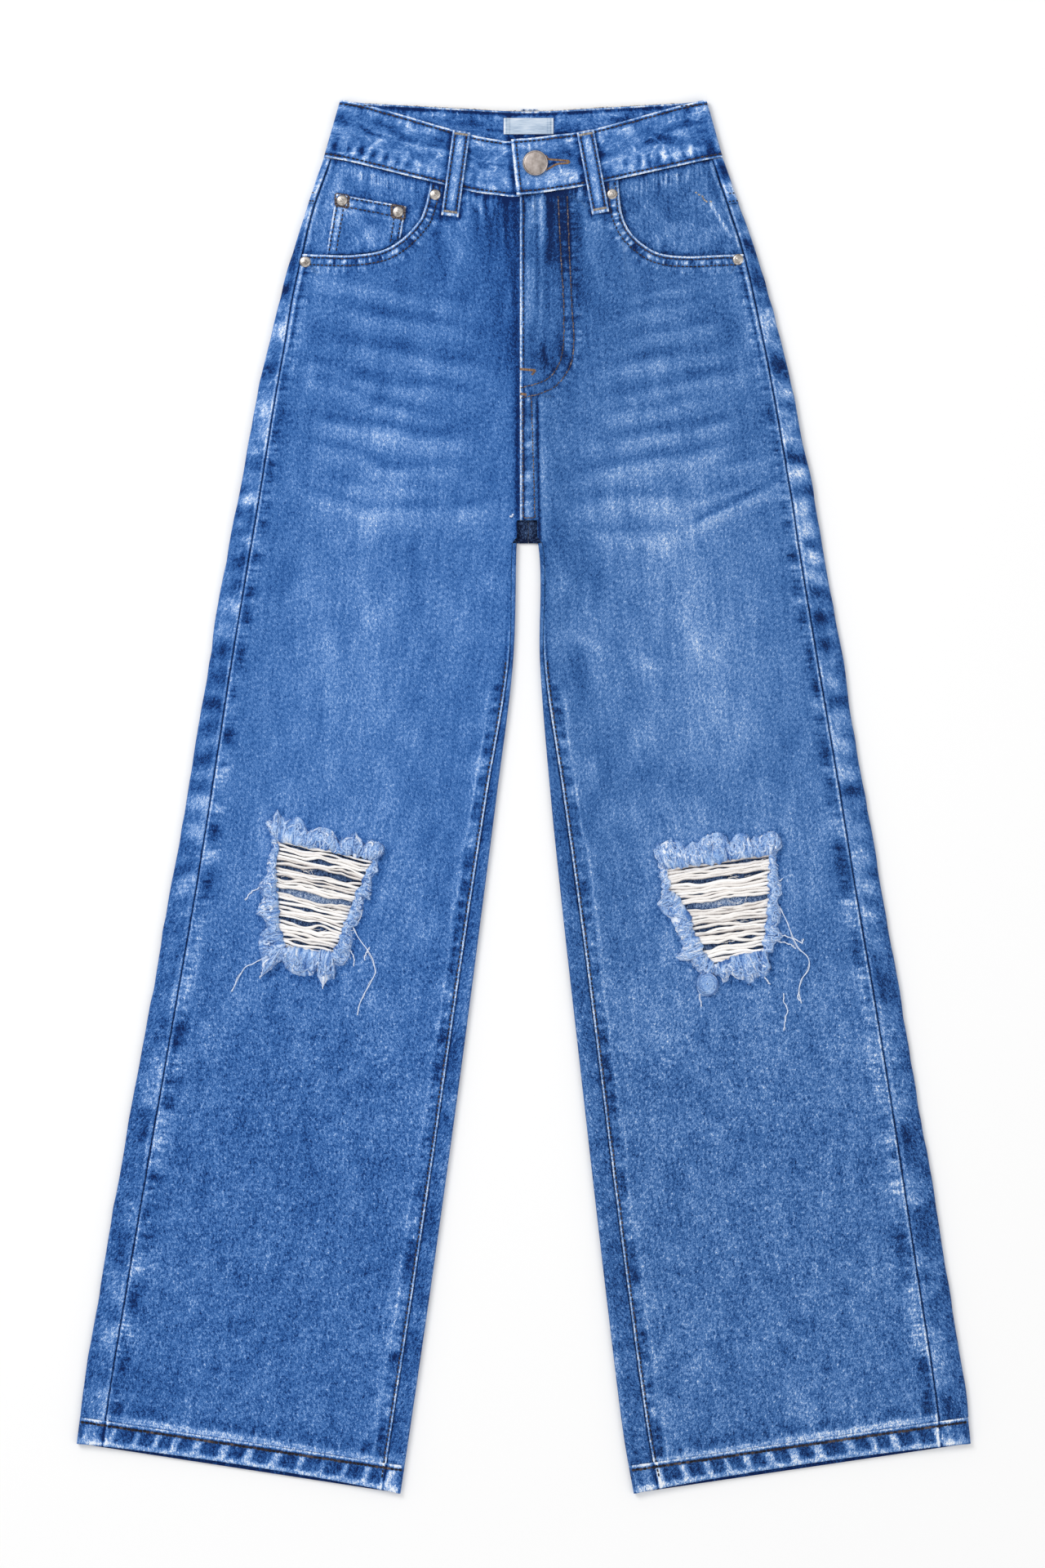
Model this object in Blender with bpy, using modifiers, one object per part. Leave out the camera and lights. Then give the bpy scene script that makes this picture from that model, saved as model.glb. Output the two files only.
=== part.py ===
"""High-rise, wide-leg ripped jeans, laid flat on their back on a surface, one solid for each piece.

Frame, in metres: +X towards the wearer's left, +Y from the hems to the waist, +Z up from the surface.
Right and left are the wearer's. The tables are in millimetres and MM turns them into metres.
The back panels wrap round the side folds and the inner leg folds to the seams on the upper side.
"""

import math
from collections import namedtuple

import bmesh
import bpy
from mathutils import Vector

MM = 0.001

# Cloth
WALL = 1.0
SEAM_GAP = 0.3
HEM_WALL = 2.2
BAND_WALL = 2.2
LOOP_WALL = 1.2
LOOP_WIDTH = 13.0
LAP_RAISE = WALL + SEAM_GAP
LAP_SETTLES = 30.0       # the left front comes down to the right one's level this far from the lap

# Heights of the lying garment above the surface
BACK_LIFT = 1.5          # the seat rides this high on the back pockets and back belt loops
LIFT_STARTS = 165.0
LIFT_ENDS = 235.0
LEG_DEPTH = 5.0          # outside to outside at a leg's folds
SEAT_DEPTH = 4.2
LEG_GAP = 0.6            # between front and back cloth in the middle of a leg
SEAT_GAP = 2.2
SEAT_GAP_ENDS = 300.0
HEM_GAP = 2.0
HEM_GAP_STARTS = -400.0
HEM_GAP_ENDS = -460.0
SINK = 45.0              # the front sinks from a seam to the middle of the leg over this width
FACING_HEIGHT = 3.4
ON_FACING = FACING_HEIGHT + WALL + SEAM_GAP
SEAT_FRONT = BACK_LIFT + SEAT_DEPTH

# Places down the section table, counted in rows
MOUTH_PLACE = 2.0
YOKE_PLACE = 0.9
PLAIN_PLACE = 5.0
LAP_PLACE = 7.3
CROTCH_PLACE = 8.0
HEM_PLACE = 15.52
LAST_PLACE = 16.0

CENTRE_BACK = 3.5
YOKE_CENTRE_TOP = 470.3
YOKE_CENTRE_LOW = 406.0
CROTCH_HEIGHT = 189.7
LAP_END_HEIGHT = 206.8
CROTCH_LINE = {"right": -5.0, "left": 10.2}
LAP_EDGE = {"right": 9.0, "left": -2.9}
SIGN = {"right": -1.0, "left": 1.0}

# Each row is one section of a half: the outer edge, the centre line or inner leg edge, and how
# far in from them the outseam and inseam lie. The first nine rows run from waist to crotch.
Row = namedtuple("Row", "out_x out_y in_x in_y outseam inseam")
SECTIONS = {
    "right": (
        Row(-149.5, 477.6, -5.2, 448.4, 5.5, 0.0),
        Row(-162.0, 439.8, -3.4, 418.5, 4.6, 0.0),
        Row(-173.5, 406.3, -3.4, 391.0, 8.0, 0.0),
        Row(-183.0, 369.7, -3.4, 360.5, 9.5, 0.0),
        Row(-192.0, 333.0, -3.5, 327.0, 12.5, 0.0),
        Row(-199.3, 296.5, -4.3, 293.4, 13.3, 0.0),
        Row(-207.4, 253.8, -3.5, 252.5, 14.6, 0.0),
        Row(-215.2, 214.0, -3.5, 214.0, 16.0, 0.0),
        Row(-219.9, 189.7, -5.2, 189.7, 16.5, 3.2),
        Row(-234.5, 107.4, -7.9, 101.3, 17.2, 3.2),
        Row(-249.4, 15.9, -19.8, 3.7, 17.9, 7.0),
        Row(-265.0, -75.6, -32.4, -93.9, 18.8, 9.5),
        Row(-281.5, -167.1, -45.0, -190.3, 19.2, 11.0),
        Row(-298.0, -258.6, -58.2, -286.7, 19.6, 11.8),
        Row(-313.7, -350.1, -71.8, -383.0, 19.6, 12.8),
        Row(-328.8, -441.6, -85.6, -477.0, 19.5, 13.6),
        Row(-334.3, -483.1, -92.2, -520.5, 19.5, 13.4),
    ),
    "left": (
        Row(148.8, 477.6, -5.2, 449.4, 8.0, 0.0),
        Row(162.3, 439.8, -3.4, 418.5, 8.5, 0.0),
        Row(173.6, 406.3, -3.4, 391.0, 9.2, 0.0),
        Row(184.4, 369.7, -3.4, 360.5, 11.4, 0.0),
        Row(194.3, 333.0, -3.5, 327.0, 13.6, 0.0),
        Row(202.4, 296.5, -4.3, 293.4, 14.8, 0.0),
        Row(210.9, 253.8, -3.5, 252.5, 15.9, 0.0),
        Row(218.9, 214.0, -3.5, 214.0, 17.2, 0.0),
        Row(223.3, 189.7, 10.7, 189.7, 18.1, 3.2),
        Row(237.6, 107.4, 12.1, 101.3, 18.8, 3.2),
        Row(252.8, 15.9, 19.8, 3.7, 18.4, 9.2),
        Row(268.2, -75.6, 29.9, -93.9, 18.8, 12.8),
        Row(284.4, -167.1, 40.8, -190.3, 19.3, 14.2),
        Row(300.2, -258.6, 51.7, -286.7, 20.6, 15.4),
        Row(315.1, -350.1, 62.9, -383.0, 21.6, 16.8),
        Row(329.6, -441.6, 74.6, -477.0, 22.0, 18.2),
        Row(334.3, -483.1, 82.2, -520.5, 22.2, 18.8),
    ),
}

# The free edge of each front pocket mouth, from the side towards the waistband.
POCKET_MOUTH = {
    "right": (
        (-147.0, 404.9), (-128.2, 404.7), (-106.4, 408.0), (-91.2, 416.6),
        (-78.6, 429.8), (-74.0, 440.0), (-70.5, 453.8), (-69.4, 459.6),
    ),
    "left": (
        (142.0, 404.6), (122.3, 403.8), (102.8, 405.8), (89.7, 412.4),
        (78.8, 423.3), (73.2, 436.6), (71.1, 453.8), (70.6, 461.2),
    ),
}
POCKET_CENTRE = {"right": (-126.0, 470.0), "left": (126.0, 470.0)}
FACING_REACH = 1.24      # how far the facing runs on under the front, as a share from the pocket's centre
FACING_PLACES = (0.06, 0.6, 1.2, 1.8, 2.4)

# Waistband stations, low edge and top edge, from each front end out to the side and along the back.
Station = namedtuple("Station", "low_x low_y top_x top_y")
UNDERLAP = Station(22.0, 452.2, 21.0, 493.4)
BAND_FRONT = {
    "right": (
        Station(-5.2, 448.4, -9.5, 489.8),
        Station(-20.0, 449.6, -20.0, 491.0),
        Station(-36.9, 451.8, -33.5, 493.4),
        Station(-62.8, 458.0, -55.0, 499.0),
        Station(-84.6, 463.4, -74.8, 504.8),
        Station(-106.4, 468.9, -95.0, 510.8),
        Station(-130.0, 474.6, -117.6, 517.0),
    ),
    "left": (
        Station(-5.2, 449.4, -9.5, 490.8),
        Station(10.0, 450.6, 8.0, 492.2),
        Station(24.0, 452.6, 21.0, 493.9),
        Station(46.0, 456.6, 41.0, 496.7),
        Station(68.0, 460.9, 60.0, 500.8),
        Station(111.3, 470.4, 98.0, 511.4),
        Station(130.0, 474.6, 118.4, 517.0),
    ),
}
BAND_SIDE = {
    "right": Station(-149.5, 477.9, -137.3, 520.5),
    "left": Station(148.8, 477.9, 136.8, 520.5),
}
BAND_BACK = (
    Station(-128.0, 476.9, -119.0, 518.7),
    Station(-62.0, 473.6, -60.0, 515.4),
    Station(CENTRE_BACK, 470.6, CENTRE_BACK, 512.6),
    Station(66.0, 473.8, 64.0, 515.6),
    Station(128.0, 476.9, 119.0, 518.7),
)
BAND_BACK_HEIGHT = BACK_LIFT + BAND_WALL / 2
BAND_FRONT_HEIGHT = BAND_BACK_HEIGHT + 2.6
BAND_LAP_HEIGHT = BAND_FRONT_HEIGHT + 2.6
LAP_RAMP_STARTS = 38.0   # the left end of the band climbs onto the right end between these X
LAP_RAMP_ENDS = 24.5

# Broad soft folds across the fronts: middle, length, turn from +X, half width and height.
Fold = namedtuple("Fold", "x y length turn width height")
FRONT_FOLDS = {
    "right": (
        Fold(-110.0, 352.0, 120.0, 6.0, 13.0, 0.7),
        Fold(-118.0, 300.0, 140.0, 4.0, 13.0, 0.8),
        Fold(-112.0, 244.0, 150.0, -4.0, 12.0, 0.9),
        Fold(-172.0, 90.0, 150.0, 84.0, 18.0, 0.8),
        Fold(-150.0, -300.0, 220.0, 76.0, 20.0, 0.7),
    ),
    "left": (
        Fold(112.0, 356.0, 110.0, -5.0, 13.0, 0.7),
        Fold(122.0, 306.0, 130.0, -3.0, 13.0, 0.8),
        Fold(108.0, 250.0, 150.0, 5.0, 12.0, 0.9),
        Fold(160.0, 219.0, 90.0, -27.0, 10.0, 1.2),
        Fold(170.0, 85.0, 150.0, 98.0, 18.0, 0.8),
        Fold(190.0, -310.0, 210.0, 104.0, 20.0, 0.7),
    ),
}

# Ripped knees: the hole's corners, and the open slits between the bared weft yarns.
KNEE_HOLE = {
    "right": (
        (-185.0, -30.0), (-146.0, -38.0), (-110.3, -45.0), (-129.0, -83.6), (-133.7, -102.3),
        (-143.0, -118.6), (-181.5, -113.0), (-185.0, -87.0), (-186.4, -53.0),
    ),
    "left": (
        (186.7, -39.7), (146.0, -46.0), (107.3, -52.5), (119.0, -81.7), (124.7, -98.2),
        (133.0, -119.0), (141.0, -126.0), (180.9, -114.5), (184.3, -78.0),
    ),
}
Slit = namedtuple("Slit", "x y length width")
YARN_SLITS = {
    "right": (
        Slit(-158.0, -44.5, 36.0, 3.2),
        Slit(-150.0, -60.0, 50.0, 3.6),
        Slit(-159.0, -76.0, 44.0, 4.6),
        Slit(-160.0, -92.0, 34.0, 3.0),
        Slit(-161.0, -106.0, 26.0, 2.8),
    ),
    "left": (
        Slit(146.0, -57.0, 52.0, 3.2),
        Slit(150.0, -67.0, 48.0, 3.0),
        Slit(152.0, -79.0, 54.0, 5.0),
        Slit(156.0, -93.0, 36.0, 3.0),
        Slit(160.0, -107.0, 28.0, 3.4),
    ),
}
YARN_WALL = 0.8
FRAY_INSIDE = 3.0
FRAY_SIDE = 7.5
FRAY_END = 11.5
FRAY_HEIGHT = 2.8
FRAY_TUFT = 9.5

# Pocket pieces, loops, label and hardware
COIN_POCKET = (
    (-140.0, 450.5), (-87.8, 441.0), (-91.9, 418.2), (-106.2, 408.9), (-128.2, 405.6), (-147.6, 405.8),
)
BACK_POCKET = ((-64.0, 71.0), (64.0, 71.0), (57.0, -60.0), (0.0, -76.0), (-57.0, -60.0))
BACK_POCKET_AT = {"right": (-92.0, 316.0), "left": (97.0, 316.0)}
BACK_POCKET_WALL = 1.2

Loop = namedtuple("Loop", "top_x top_y low_x low_y")
FRONT_LOOPS = {
    "right": Loop(-46.4, 496.9, -55.2, 433.7),
    "left": Loop(46.0, 496.9, 57.5, 435.9),
}
BACK_LOOPS = {
    "right": Loop(-92.0, 517.2, -96.0, 455.0),
    "left": Loop(98.0, 517.2, 102.0, 455.0),
    "centre": Loop(4.3, 514.6, 3.5, 452.0),
}
LOOP_ARCH = 0.9

LABEL_CORNERS = ((-15.0, 495.2), (22.3, 495.2), (22.3, 507.4), (-15.0, 507.4))
BUTTON_AT = (8.7, 472.8)
BUTTON_RADIUS = 9.5
SHANK_RADIUS = 2.4
BUTTONHOLE_WIDTH = 1.8
BUTTONHOLE_EYE = SHANK_RADIUS + 2 * SEAM_GAP
EYE_OPENS = math.radians(30)
BUTTONHOLE_ENDS = 33.0
BUTTONHOLE_TILT = -12.7
RIVET_RADIUS = 4.25
RIVETS = {
    "rivet_pocket_right_inner": (-66.2, 449.8),
    "rivet_pocket_right_outer": (-163.2, 399.7),
    "rivet_pocket_left_inner": (66.2, 450.2),
    "rivet_pocket_left_outer": (160.1, 401.4),
    "rivet_coin_outer": (-135.7, 445.5),
    "rivet_coin_inner": (-93.9, 437.0),
}

# Mesh fineness
UPPER_ROWS = 6
SEAT_PLACES = (5.0, 5.4, 5.75, 6.1, 6.45, 6.75, LAP_PLACE, CROTCH_PLACE)
LEG_ROWS = 15
FOLD_STEPS = 4
BACK_COLUMNS = 7
WAIST_COLUMNS = (60.0, 48.0, 34.0, 22.0)   # distances from the centre front along the waist seam
ROUND_STEPS = 24
EYE_STEPS = 12
FRAY_STEPS = 44

Finish = namedtuple("Finish", "red green blue roughness metallic")
DENIM = Finish(0.065, 0.165, 0.42, 0.9, 0.0)
PALE_DENIM = Finish(0.28, 0.40, 0.62, 0.95, 0.0)
YARN = Finish(0.80, 0.77, 0.70, 0.9, 0.0)
LABEL_CLOTH = Finish(0.44, 0.50, 0.61, 0.8, 0.0)
NICKEL = Finish(0.45, 0.40, 0.36, 0.35, 1.0)


def smooth(value):
    """0 to 1 with a soft start and end."""
    value = min(max(value, 0.0), 1.0)
    return value * value * (3.0 - 2.0 * value)


def mix(start, end, share):
    return start + (end - start) * share


def flat(pair):
    return Vector((pair[0], pair[1]))


def raised(point, height):
    return Vector((point[0], point[1], height))


def turned(pair, degrees):
    angle = math.radians(degrees)
    return Vector((
        pair[0] * math.cos(angle) - pair[1] * math.sin(angle),
        pair[0] * math.sin(angle) + pair[1] * math.cos(angle),
    ))


# Sections of the garment


def section(side, place):
    """The section at a place counted in rows, on a smooth curve through the table."""
    rows = SECTIONS[side]
    first = min(int(place), len(rows) - 2)
    share = place - first

    def slope(index, column):
        low = max(index - 1, 0)
        high = min(index + 1, len(rows) - 1)
        return (rows[high][column] - rows[low][column]) / (rows[high].out_y - rows[low].out_y)

    start, end = rows[first], rows[first + 1]
    step = end.out_y - start.out_y
    values = []
    for column in range(len(Row._fields)):
        leave = slope(first, column) * step
        arrive = slope(first + 1, column) * step
        rise = end[column] - start[column]
        values.append(
            start[column]
            + leave * share
            + (3.0 * rise - 2.0 * leave - arrive) * share**2
            + (leave + arrive - 2.0 * rise) * share**3
        )
    return Row(*values)


def ends_of(side, place):
    """Outer edge, inner edge and the unit vector from one to the other."""
    row = section(side, place)
    outer = Vector((row.out_x, row.out_y))
    inner = Vector((row.in_x, row.in_y))
    return outer, inner, (inner - outer).normalized()


def outseam(side, place, clear=0.0):
    """A point on the outseam, moved towards the front panel by clear."""
    outer, _, inward = ends_of(side, place)
    return outer + inward * (section(side, place).outseam + clear)


def inseam(side, place, clear=0.0):
    """A point on the inseam, moved towards the front panel by clear."""
    _, inner, inward = ends_of(side, place)
    return inner - inward * (section(side, place).inseam + clear)


def lift(y):
    """Height of the back cloth's underside."""
    return BACK_LIFT * smooth((y - LIFT_STARTS) / (LIFT_ENDS - LIFT_STARTS))


def depth(y):
    """Outside to outside at the side folds."""
    return mix(LEG_DEPTH, SEAT_DEPTH, smooth((y - LIFT_STARTS) / (LIFT_ENDS - LIFT_STARTS)))


def inner_gap(y):
    """Room between back and front cloth away from the folds."""
    seat = (SEAT_GAP - LEG_GAP) * smooth((y - LIFT_STARTS) / (SEAT_GAP_ENDS - LIFT_STARTS))
    hem = (HEM_GAP - LEG_GAP) * smooth((HEM_GAP_STARTS - y) / (HEM_GAP_STARTS - HEM_GAP_ENDS))
    return LEG_GAP + seat + hem


def fold_height(side, point):
    """How much the soft folds raise the front here."""
    total = 0.0
    for fold in FRONT_FOLDS[side]:
        away = turned((point.x - fold.x, point.y - fold.y), -fold.turn)
        ends = 1.0 - smooth((abs(away.x) - fold.length * 0.25) / (fold.length * 0.25))
        total += fold.height * ends * math.exp(-((away.y / fold.width) ** 2))
    return total


def front_height(side, point, from_outseam, from_inseam):
    """Middle of the front cloth's wall: level with the seams beside them, sunk between them."""
    low = lift(point.y) + WALL + inner_gap(point.y)
    high = lift(point.y) + depth(point.y) - WALL
    beside_inner = smooth((215.0 - point.y) / (215.0 - CROTCH_HEIGHT))
    near = max(
        1.0 - smooth(from_outseam / SINK),
        (1.0 - smooth(from_inseam / SINK)) * beside_inner,
    )
    near_edge = min(from_outseam, from_inseam) / SINK
    return mix(low, high, near) + fold_height(side, point) * smooth(near_edge) + WALL / 2


# Objects


def material_of(name, finish):
    material = bpy.data.materials.new(name + "_material")
    material.use_nodes = True
    shader = material.node_tree.nodes["Principled BSDF"]
    shader.inputs["Base Color"].default_value = (finish.red, finish.green, finish.blue, 1.0)
    shader.inputs["Roughness"].default_value = finish.roughness
    shader.inputs["Metallic"].default_value = finish.metallic
    return material


def object_of(name, form, collection, finish=None):
    """Turns a bmesh in millimetres into an object in metres."""
    bmesh.ops.scale(form, vec=(MM, MM, MM), verts=form.verts)
    mesh = bpy.data.meshes.new(name)
    form.to_mesh(mesh)
    form.free()
    made = bpy.data.objects.new(name, mesh)
    collection.objects.link(made)
    if finish:
        mesh.materials.append(material_of(name, finish))
    else:
        made.hide_render = True
        made.display_type = "WIRE"
    return made


def solidify(made, wall, offset=0.0):
    modifier = made.modifiers.new("wall", "SOLIDIFY")
    modifier.thickness = wall * MM
    modifier.offset = offset
    modifier.use_even_offset = True


def cut(made, cutter):
    modifier = made.modifiers.new("cut_" + cutter.name, "BOOLEAN")
    modifier.operation = "DIFFERENCE"
    modifier.solver = "EXACT"
    modifier.object = cutter


def cloth(name, blocks, wall, collection, finish=DENIM, closed=False):
    """A wall of cloth on its middle surface: each block is a grid of points, and blocks share edges."""
    form = bmesh.new()
    for rows in blocks:
        grid = [[form.verts.new(point) for point in row] for row in rows]
        for upper, lower in zip(grid, grid[1:]):
            pairs = list(zip(upper, lower))
            if closed:
                pairs.append(pairs[0])
            for (a, b), (c, d) in zip(pairs, pairs[1:]):
                form.faces.new((a, b, d, c))
    bmesh.ops.remove_doubles(form, verts=form.verts, dist=0.01)
    bmesh.ops.recalc_face_normals(form, faces=form.faces)
    made = object_of(name, form, collection, finish)
    solidify(made, wall)
    made.data.shade_smooth()
    made.data.set_sharp_from_angle(angle=math.radians(50))
    return made


def plate(name, outline, low, high, collection, finish=DENIM):
    """A flat piece: its outline as one face, solidified upwards."""
    form = bmesh.new()
    face = form.faces.new([form.verts.new(raised(point, low)) for point in outline])
    face.normal_update()
    if face.normal.z < 0:
        face.normal_flip()
    made = object_of(name, form, collection, finish)
    solidify(made, high - low, offset=1.0)
    return made


def prism(name, outlines, low, high, collection):
    """A cutter: upright prisms on one or more outlines."""
    form = bmesh.new()
    for outline in outlines:
        face = form.faces.new([form.verts.new(raised(point, low)) for point in outline])
        walls = bmesh.ops.extrude_face_region(form, geom=[face])
        tops = [item for item in walls["geom"] if isinstance(item, bmesh.types.BMVert)]
        bmesh.ops.translate(form, vec=(0, 0, high - low), verts=tops)
    bmesh.ops.recalc_face_normals(form, faces=form.faces)
    return object_of(name, form, collection)


def turned_piece(name, profile, place, height, collection, finish, steps):
    """A profile of radius and height, top to bottom, turned about a vertical axis."""
    form = bmesh.new()
    points = [form.verts.new((radius, 0.0, z)) for radius, z in profile]
    for pair in zip(points, points[1:]):
        form.edges.new(pair)
    made = object_of(name, form, collection, finish)
    made.location = (place[0] * MM, place[1] * MM, height * MM)
    screw = made.modifiers.new("turn", "SCREW")
    screw.axis = "Z"
    screw.steps = steps
    screw.render_steps = steps
    screw.use_merge_vertices = True
    screw.merge_threshold = 1e-6
    return made


# Fronts


def waist_low(x):
    """Height along +Y of the waistband's low edge at the front."""
    points = [(s.low_x, s.low_y) for s in BAND_FRONT["right"][::-1] + BAND_FRONT["left"][1:]]
    points = [(BAND_SIDE["right"].low_x, BAND_SIDE["right"].low_y)] + points
    points.append((BAND_SIDE["left"].low_x, BAND_SIDE["left"].low_y))
    for (x0, y0), (x1, y1) in zip(points, points[1:]):
        if x <= x1:
            return mix(y0, y1, (x - x0) / (x1 - x0))
    return points[-1][1]


def front_top(side):
    """The front panel's top edge, a point for each column: pocket mouth, then waistband seam."""
    sign = SIGN[side]
    points = [outseam(side, MOUTH_PLACE, SEAM_GAP / 2)]
    points += [flat(pair) for pair in POCKET_MOUTH[side][:-1]]
    corner = flat(POCKET_MOUTH[side][-1])
    for x in (corner.x, *(sign * distance for distance in WAIST_COLUMNS), CROTCH_LINE[side]):
        points.append(Vector((x, waist_low(x) - SEAM_GAP)))
    return points


def front_shares(side):
    """Where each column crosses the lower sections, from 0 at the outseam to 1 at the inner edge."""
    top = front_top(side)
    last = len(top) - 1
    span = top[last].x - top[0].x
    return [(point.x - top[0].x) / span * 0.4 + index / last * 0.6 for index, point in enumerate(top)]


def front_ends(side, place):
    """Both ends of the front panel's section below the pocket."""
    start = outseam(side, place, SEAM_GAP / 2)
    if place >= CROTCH_PLACE:
        return start, inseam(side, place, SEAM_GAP / 2)
    return start, Vector((CROTCH_LINE[side], section(side, place).in_y))


def front_rows(side):
    """Rows of plan points from the top edge to the hem seam, with each row's place."""
    shares = front_shares(side)
    top = front_top(side)

    def plain(place):
        start, end = front_ends(side, place)
        return [mix(start, end, share) for share in shares]

    rows = []
    below = plain(PLAIN_PLACE)
    for step in range(UPPER_ROWS):
        down = step / UPPER_ROWS
        place = mix(MOUTH_PLACE, PLAIN_PLACE, down)
        bow = outseam(side, place, SEAM_GAP / 2) - mix(top[0], below[0], down)
        row = [mix(a, b, down) + bow * (1 - t) for a, b, t in zip(top, below, shares)]
        rows.append((place, row))
    for place in SEAT_PLACES:
        rows.append((place, plain(place)))
    for step in range(1, LEG_ROWS + 1):
        place = mix(CROTCH_PLACE, HEM_PLACE, step / LEG_ROWS)
        row = plain(place)
        if step == LEG_ROWS:
            row = [point + Vector((0, SEAM_GAP)) for point in row]
        rows.append((place, row))
    return rows


def front_panel(side, collection, cutters):
    body = []
    lap = []
    for place, row in front_rows(side):
        points = []
        for point in row:
            from_out = (point - row[0]).length
            from_in = (point - row[-1]).length
            rise = 0.0
            if side == "left":
                rise = LAP_RAISE * (1.0 - smooth(from_in / LAP_SETTLES))
                rise *= smooth((row[-1].y - CROTCH_HEIGHT) / (LAP_END_HEIGHT - CROTCH_HEIGHT))
            points.append(raised(point, front_height(side, point, from_out, from_in) + rise))
        body.append(points)
        if place <= LAP_PLACE:
            inner = points[-1]
            edge = Vector((LAP_EDGE[side], row[-1].y, inner.z))
            if place == MOUTH_PLACE:
                edge.y = waist_low(LAP_EDGE[side]) - SEAM_GAP
            lap.append([inner, mix(inner, edge, 0.5), edge])
    made = cloth("front_panel_" + side, (body, lap), WALL, collection)
    hole = prism("knee_hole_" + side, [KNEE_HOLE[side]], -1.0, 8.0, cutters)
    hole.location.z = (WALL + LEG_GAP / 2 + 1.0) * MM
    cut(made, hole)


# Backs and yokes


def round_fold(edge, inward, seam, steps=FOLD_STEPS):
    """Points on the back cloth from its seam on the upper side, round the fold, to the underside."""
    size = depth(edge.y)
    floor = lift(edge.y)
    radius = (size - WALL) / 2
    centre = edge + inward * (size / 2)
    points = [raised(seam, floor + size - WALL / 2)]
    for step in range(steps + 1):
        angle = math.pi * step / steps
        out = centre - inward * (radius * math.sin(angle))
        points.append(raised(out, floor + size / 2 + radius * math.cos(angle)))
    return points


def back_centre(place):
    """Height along +Y where a back section meets the centre-back seam."""
    if place <= YOKE_PLACE:
        return mix(YOKE_CENTRE_TOP, YOKE_CENTRE_LOW, place / YOKE_PLACE)
    return mix(YOKE_CENTRE_LOW, CROTCH_HEIGHT, (place - YOKE_PLACE) / (CROTCH_PLACE - YOKE_PLACE))


def back_row(side, place):
    """One section of the back: the part common to seat and leg, then its seat or leg end."""
    outer, inner, _ = ends_of(side, place)
    seam = outseam(side, place, -SEAM_GAP / 2)
    common = round_fold(outer, (seam - outer).normalized(), seam)
    fork = section(side, CROTCH_PLACE).in_x + SIGN[side] * depth(CROTCH_HEIGHT) / 2
    if place < CROTCH_PLACE:
        end = Vector((fork, back_centre(place)))
    else:
        seam = inseam(side, place, -SEAM_GAP / 2)
        wrap = round_fold(inner, (seam - inner).normalized(), seam)[::-1]
        end = flat(wrap[0])
    start = flat(common[-1])
    for step in range(1, BACK_COLUMNS + 1):
        point = mix(start, end, step / BACK_COLUMNS)
        common.append(raised(point, lift(point.y) + WALL / 2))
    centre = Vector((CENTRE_BACK + SIGN[side] * SEAM_GAP / 2, back_centre(min(place, CROTCH_PLACE))))
    seat_end = [common[-1], raised(centre, lift(centre.y) + WALL / 2)]
    if place < CROTCH_PLACE:
        return common, seat_end, None
    if place > CROTCH_PLACE:
        return common, None, [common[-1]] + wrap[1:]
    return common, seat_end, [common[-1]] + wrap[1:]


def shifted(rows, y):
    return [point + Vector((0, y, 0)) for point in rows]


def yoke(side, collection):
    main, centre = [], []
    for place in (0.0, YOKE_PLACE / 2, YOKE_PLACE):
        common, seat_end, _ = back_row(side, place)
        gap = SEAM_GAP / 2 if place == YOKE_PLACE else 0.0
        main.append(shifted(common, gap))
        centre.append(shifted(seat_end, gap))
    cloth("yoke_" + side, (main, centre), WALL, collection)


def back_places():
    places = [YOKE_PLACE, mix(YOKE_PLACE, MOUTH_PLACE, 0.5)]
    places += [mix(MOUTH_PLACE, PLAIN_PLACE, step / UPPER_ROWS) for step in range(UPPER_ROWS)]
    places += SEAT_PLACES
    places += [mix(CROTCH_PLACE, HEM_PLACE, step / LEG_ROWS) for step in range(1, LEG_ROWS + 1)]
    return places


def back_panel(side, collection):
    main, seat, leg = [], [], []
    for place in back_places():
        common, seat_end, wrap = back_row(side, place)
        move = {YOKE_PLACE: -SEAM_GAP / 2, HEM_PLACE: SEAM_GAP}.get(place, 0.0)
        main.append(shifted(common, move))
        if seat_end:
            seat.append(shifted(seat_end, move))
        if wrap:
            leg.append(shifted(wrap, move))
    cloth("back_panel_" + side, (main, seat, leg), WALL, collection)


# Hems


def hem_row(side, place, raise_front):
    """One loop of the hem's middle surface, upper side first, then round to the underside."""
    outer, inner, inward = ends_of(side, place)
    up = (ends_of(side, HEM_PLACE)[0] - ends_of(side, LAST_PLACE)[0]).normalized()
    radius = (LEG_DEPTH - HEM_WALL) / 2
    start = outer + inward * (LEG_DEPTH / 2)
    end = inner - inward * (LEG_DEPTH / 2)
    points = []
    columns = BACK_COLUMNS + 3
    for step in range(columns + 1):
        share = step / columns
        high = raise_front * math.sin(math.pi * share) ** 0.7
        points.append(raised(mix(start, end, share) + up * high, LEG_DEPTH - HEM_WALL / 2))
    for step in range(1, FOLD_STEPS):
        angle = math.pi * step / FOLD_STEPS
        points.append(raised(end + inward * radius * math.sin(angle),
                             LEG_DEPTH / 2 + radius * math.cos(angle)))
    for step in range(columns + 1):
        points.append(raised(mix(end, start, step / columns), HEM_WALL / 2))
    for step in range(1, FOLD_STEPS):
        angle = math.pi * (1 - step / FOLD_STEPS)
        points.append(raised(start - inward * radius * math.sin(angle),
                             LEG_DEPTH / 2 + radius * math.cos(angle)))
    return points


def hem(side, collection):
    places = (HEM_PLACE, mix(HEM_PLACE, LAST_PLACE, 0.5), LAST_PLACE)
    rows = [hem_row(side, place, 3.0 * (place - HEM_PLACE) / (LAST_PLACE - HEM_PLACE)) for place in places]
    cloth("hem_" + side, (rows,), HEM_WALL, collection, closed=True)


# Waistband


def band_point(station, share, height):
    return Vector((
        mix(station.low_x, station.top_x, share),
        mix(station.low_y, station.top_y, share),
        height,
    ))


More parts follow.
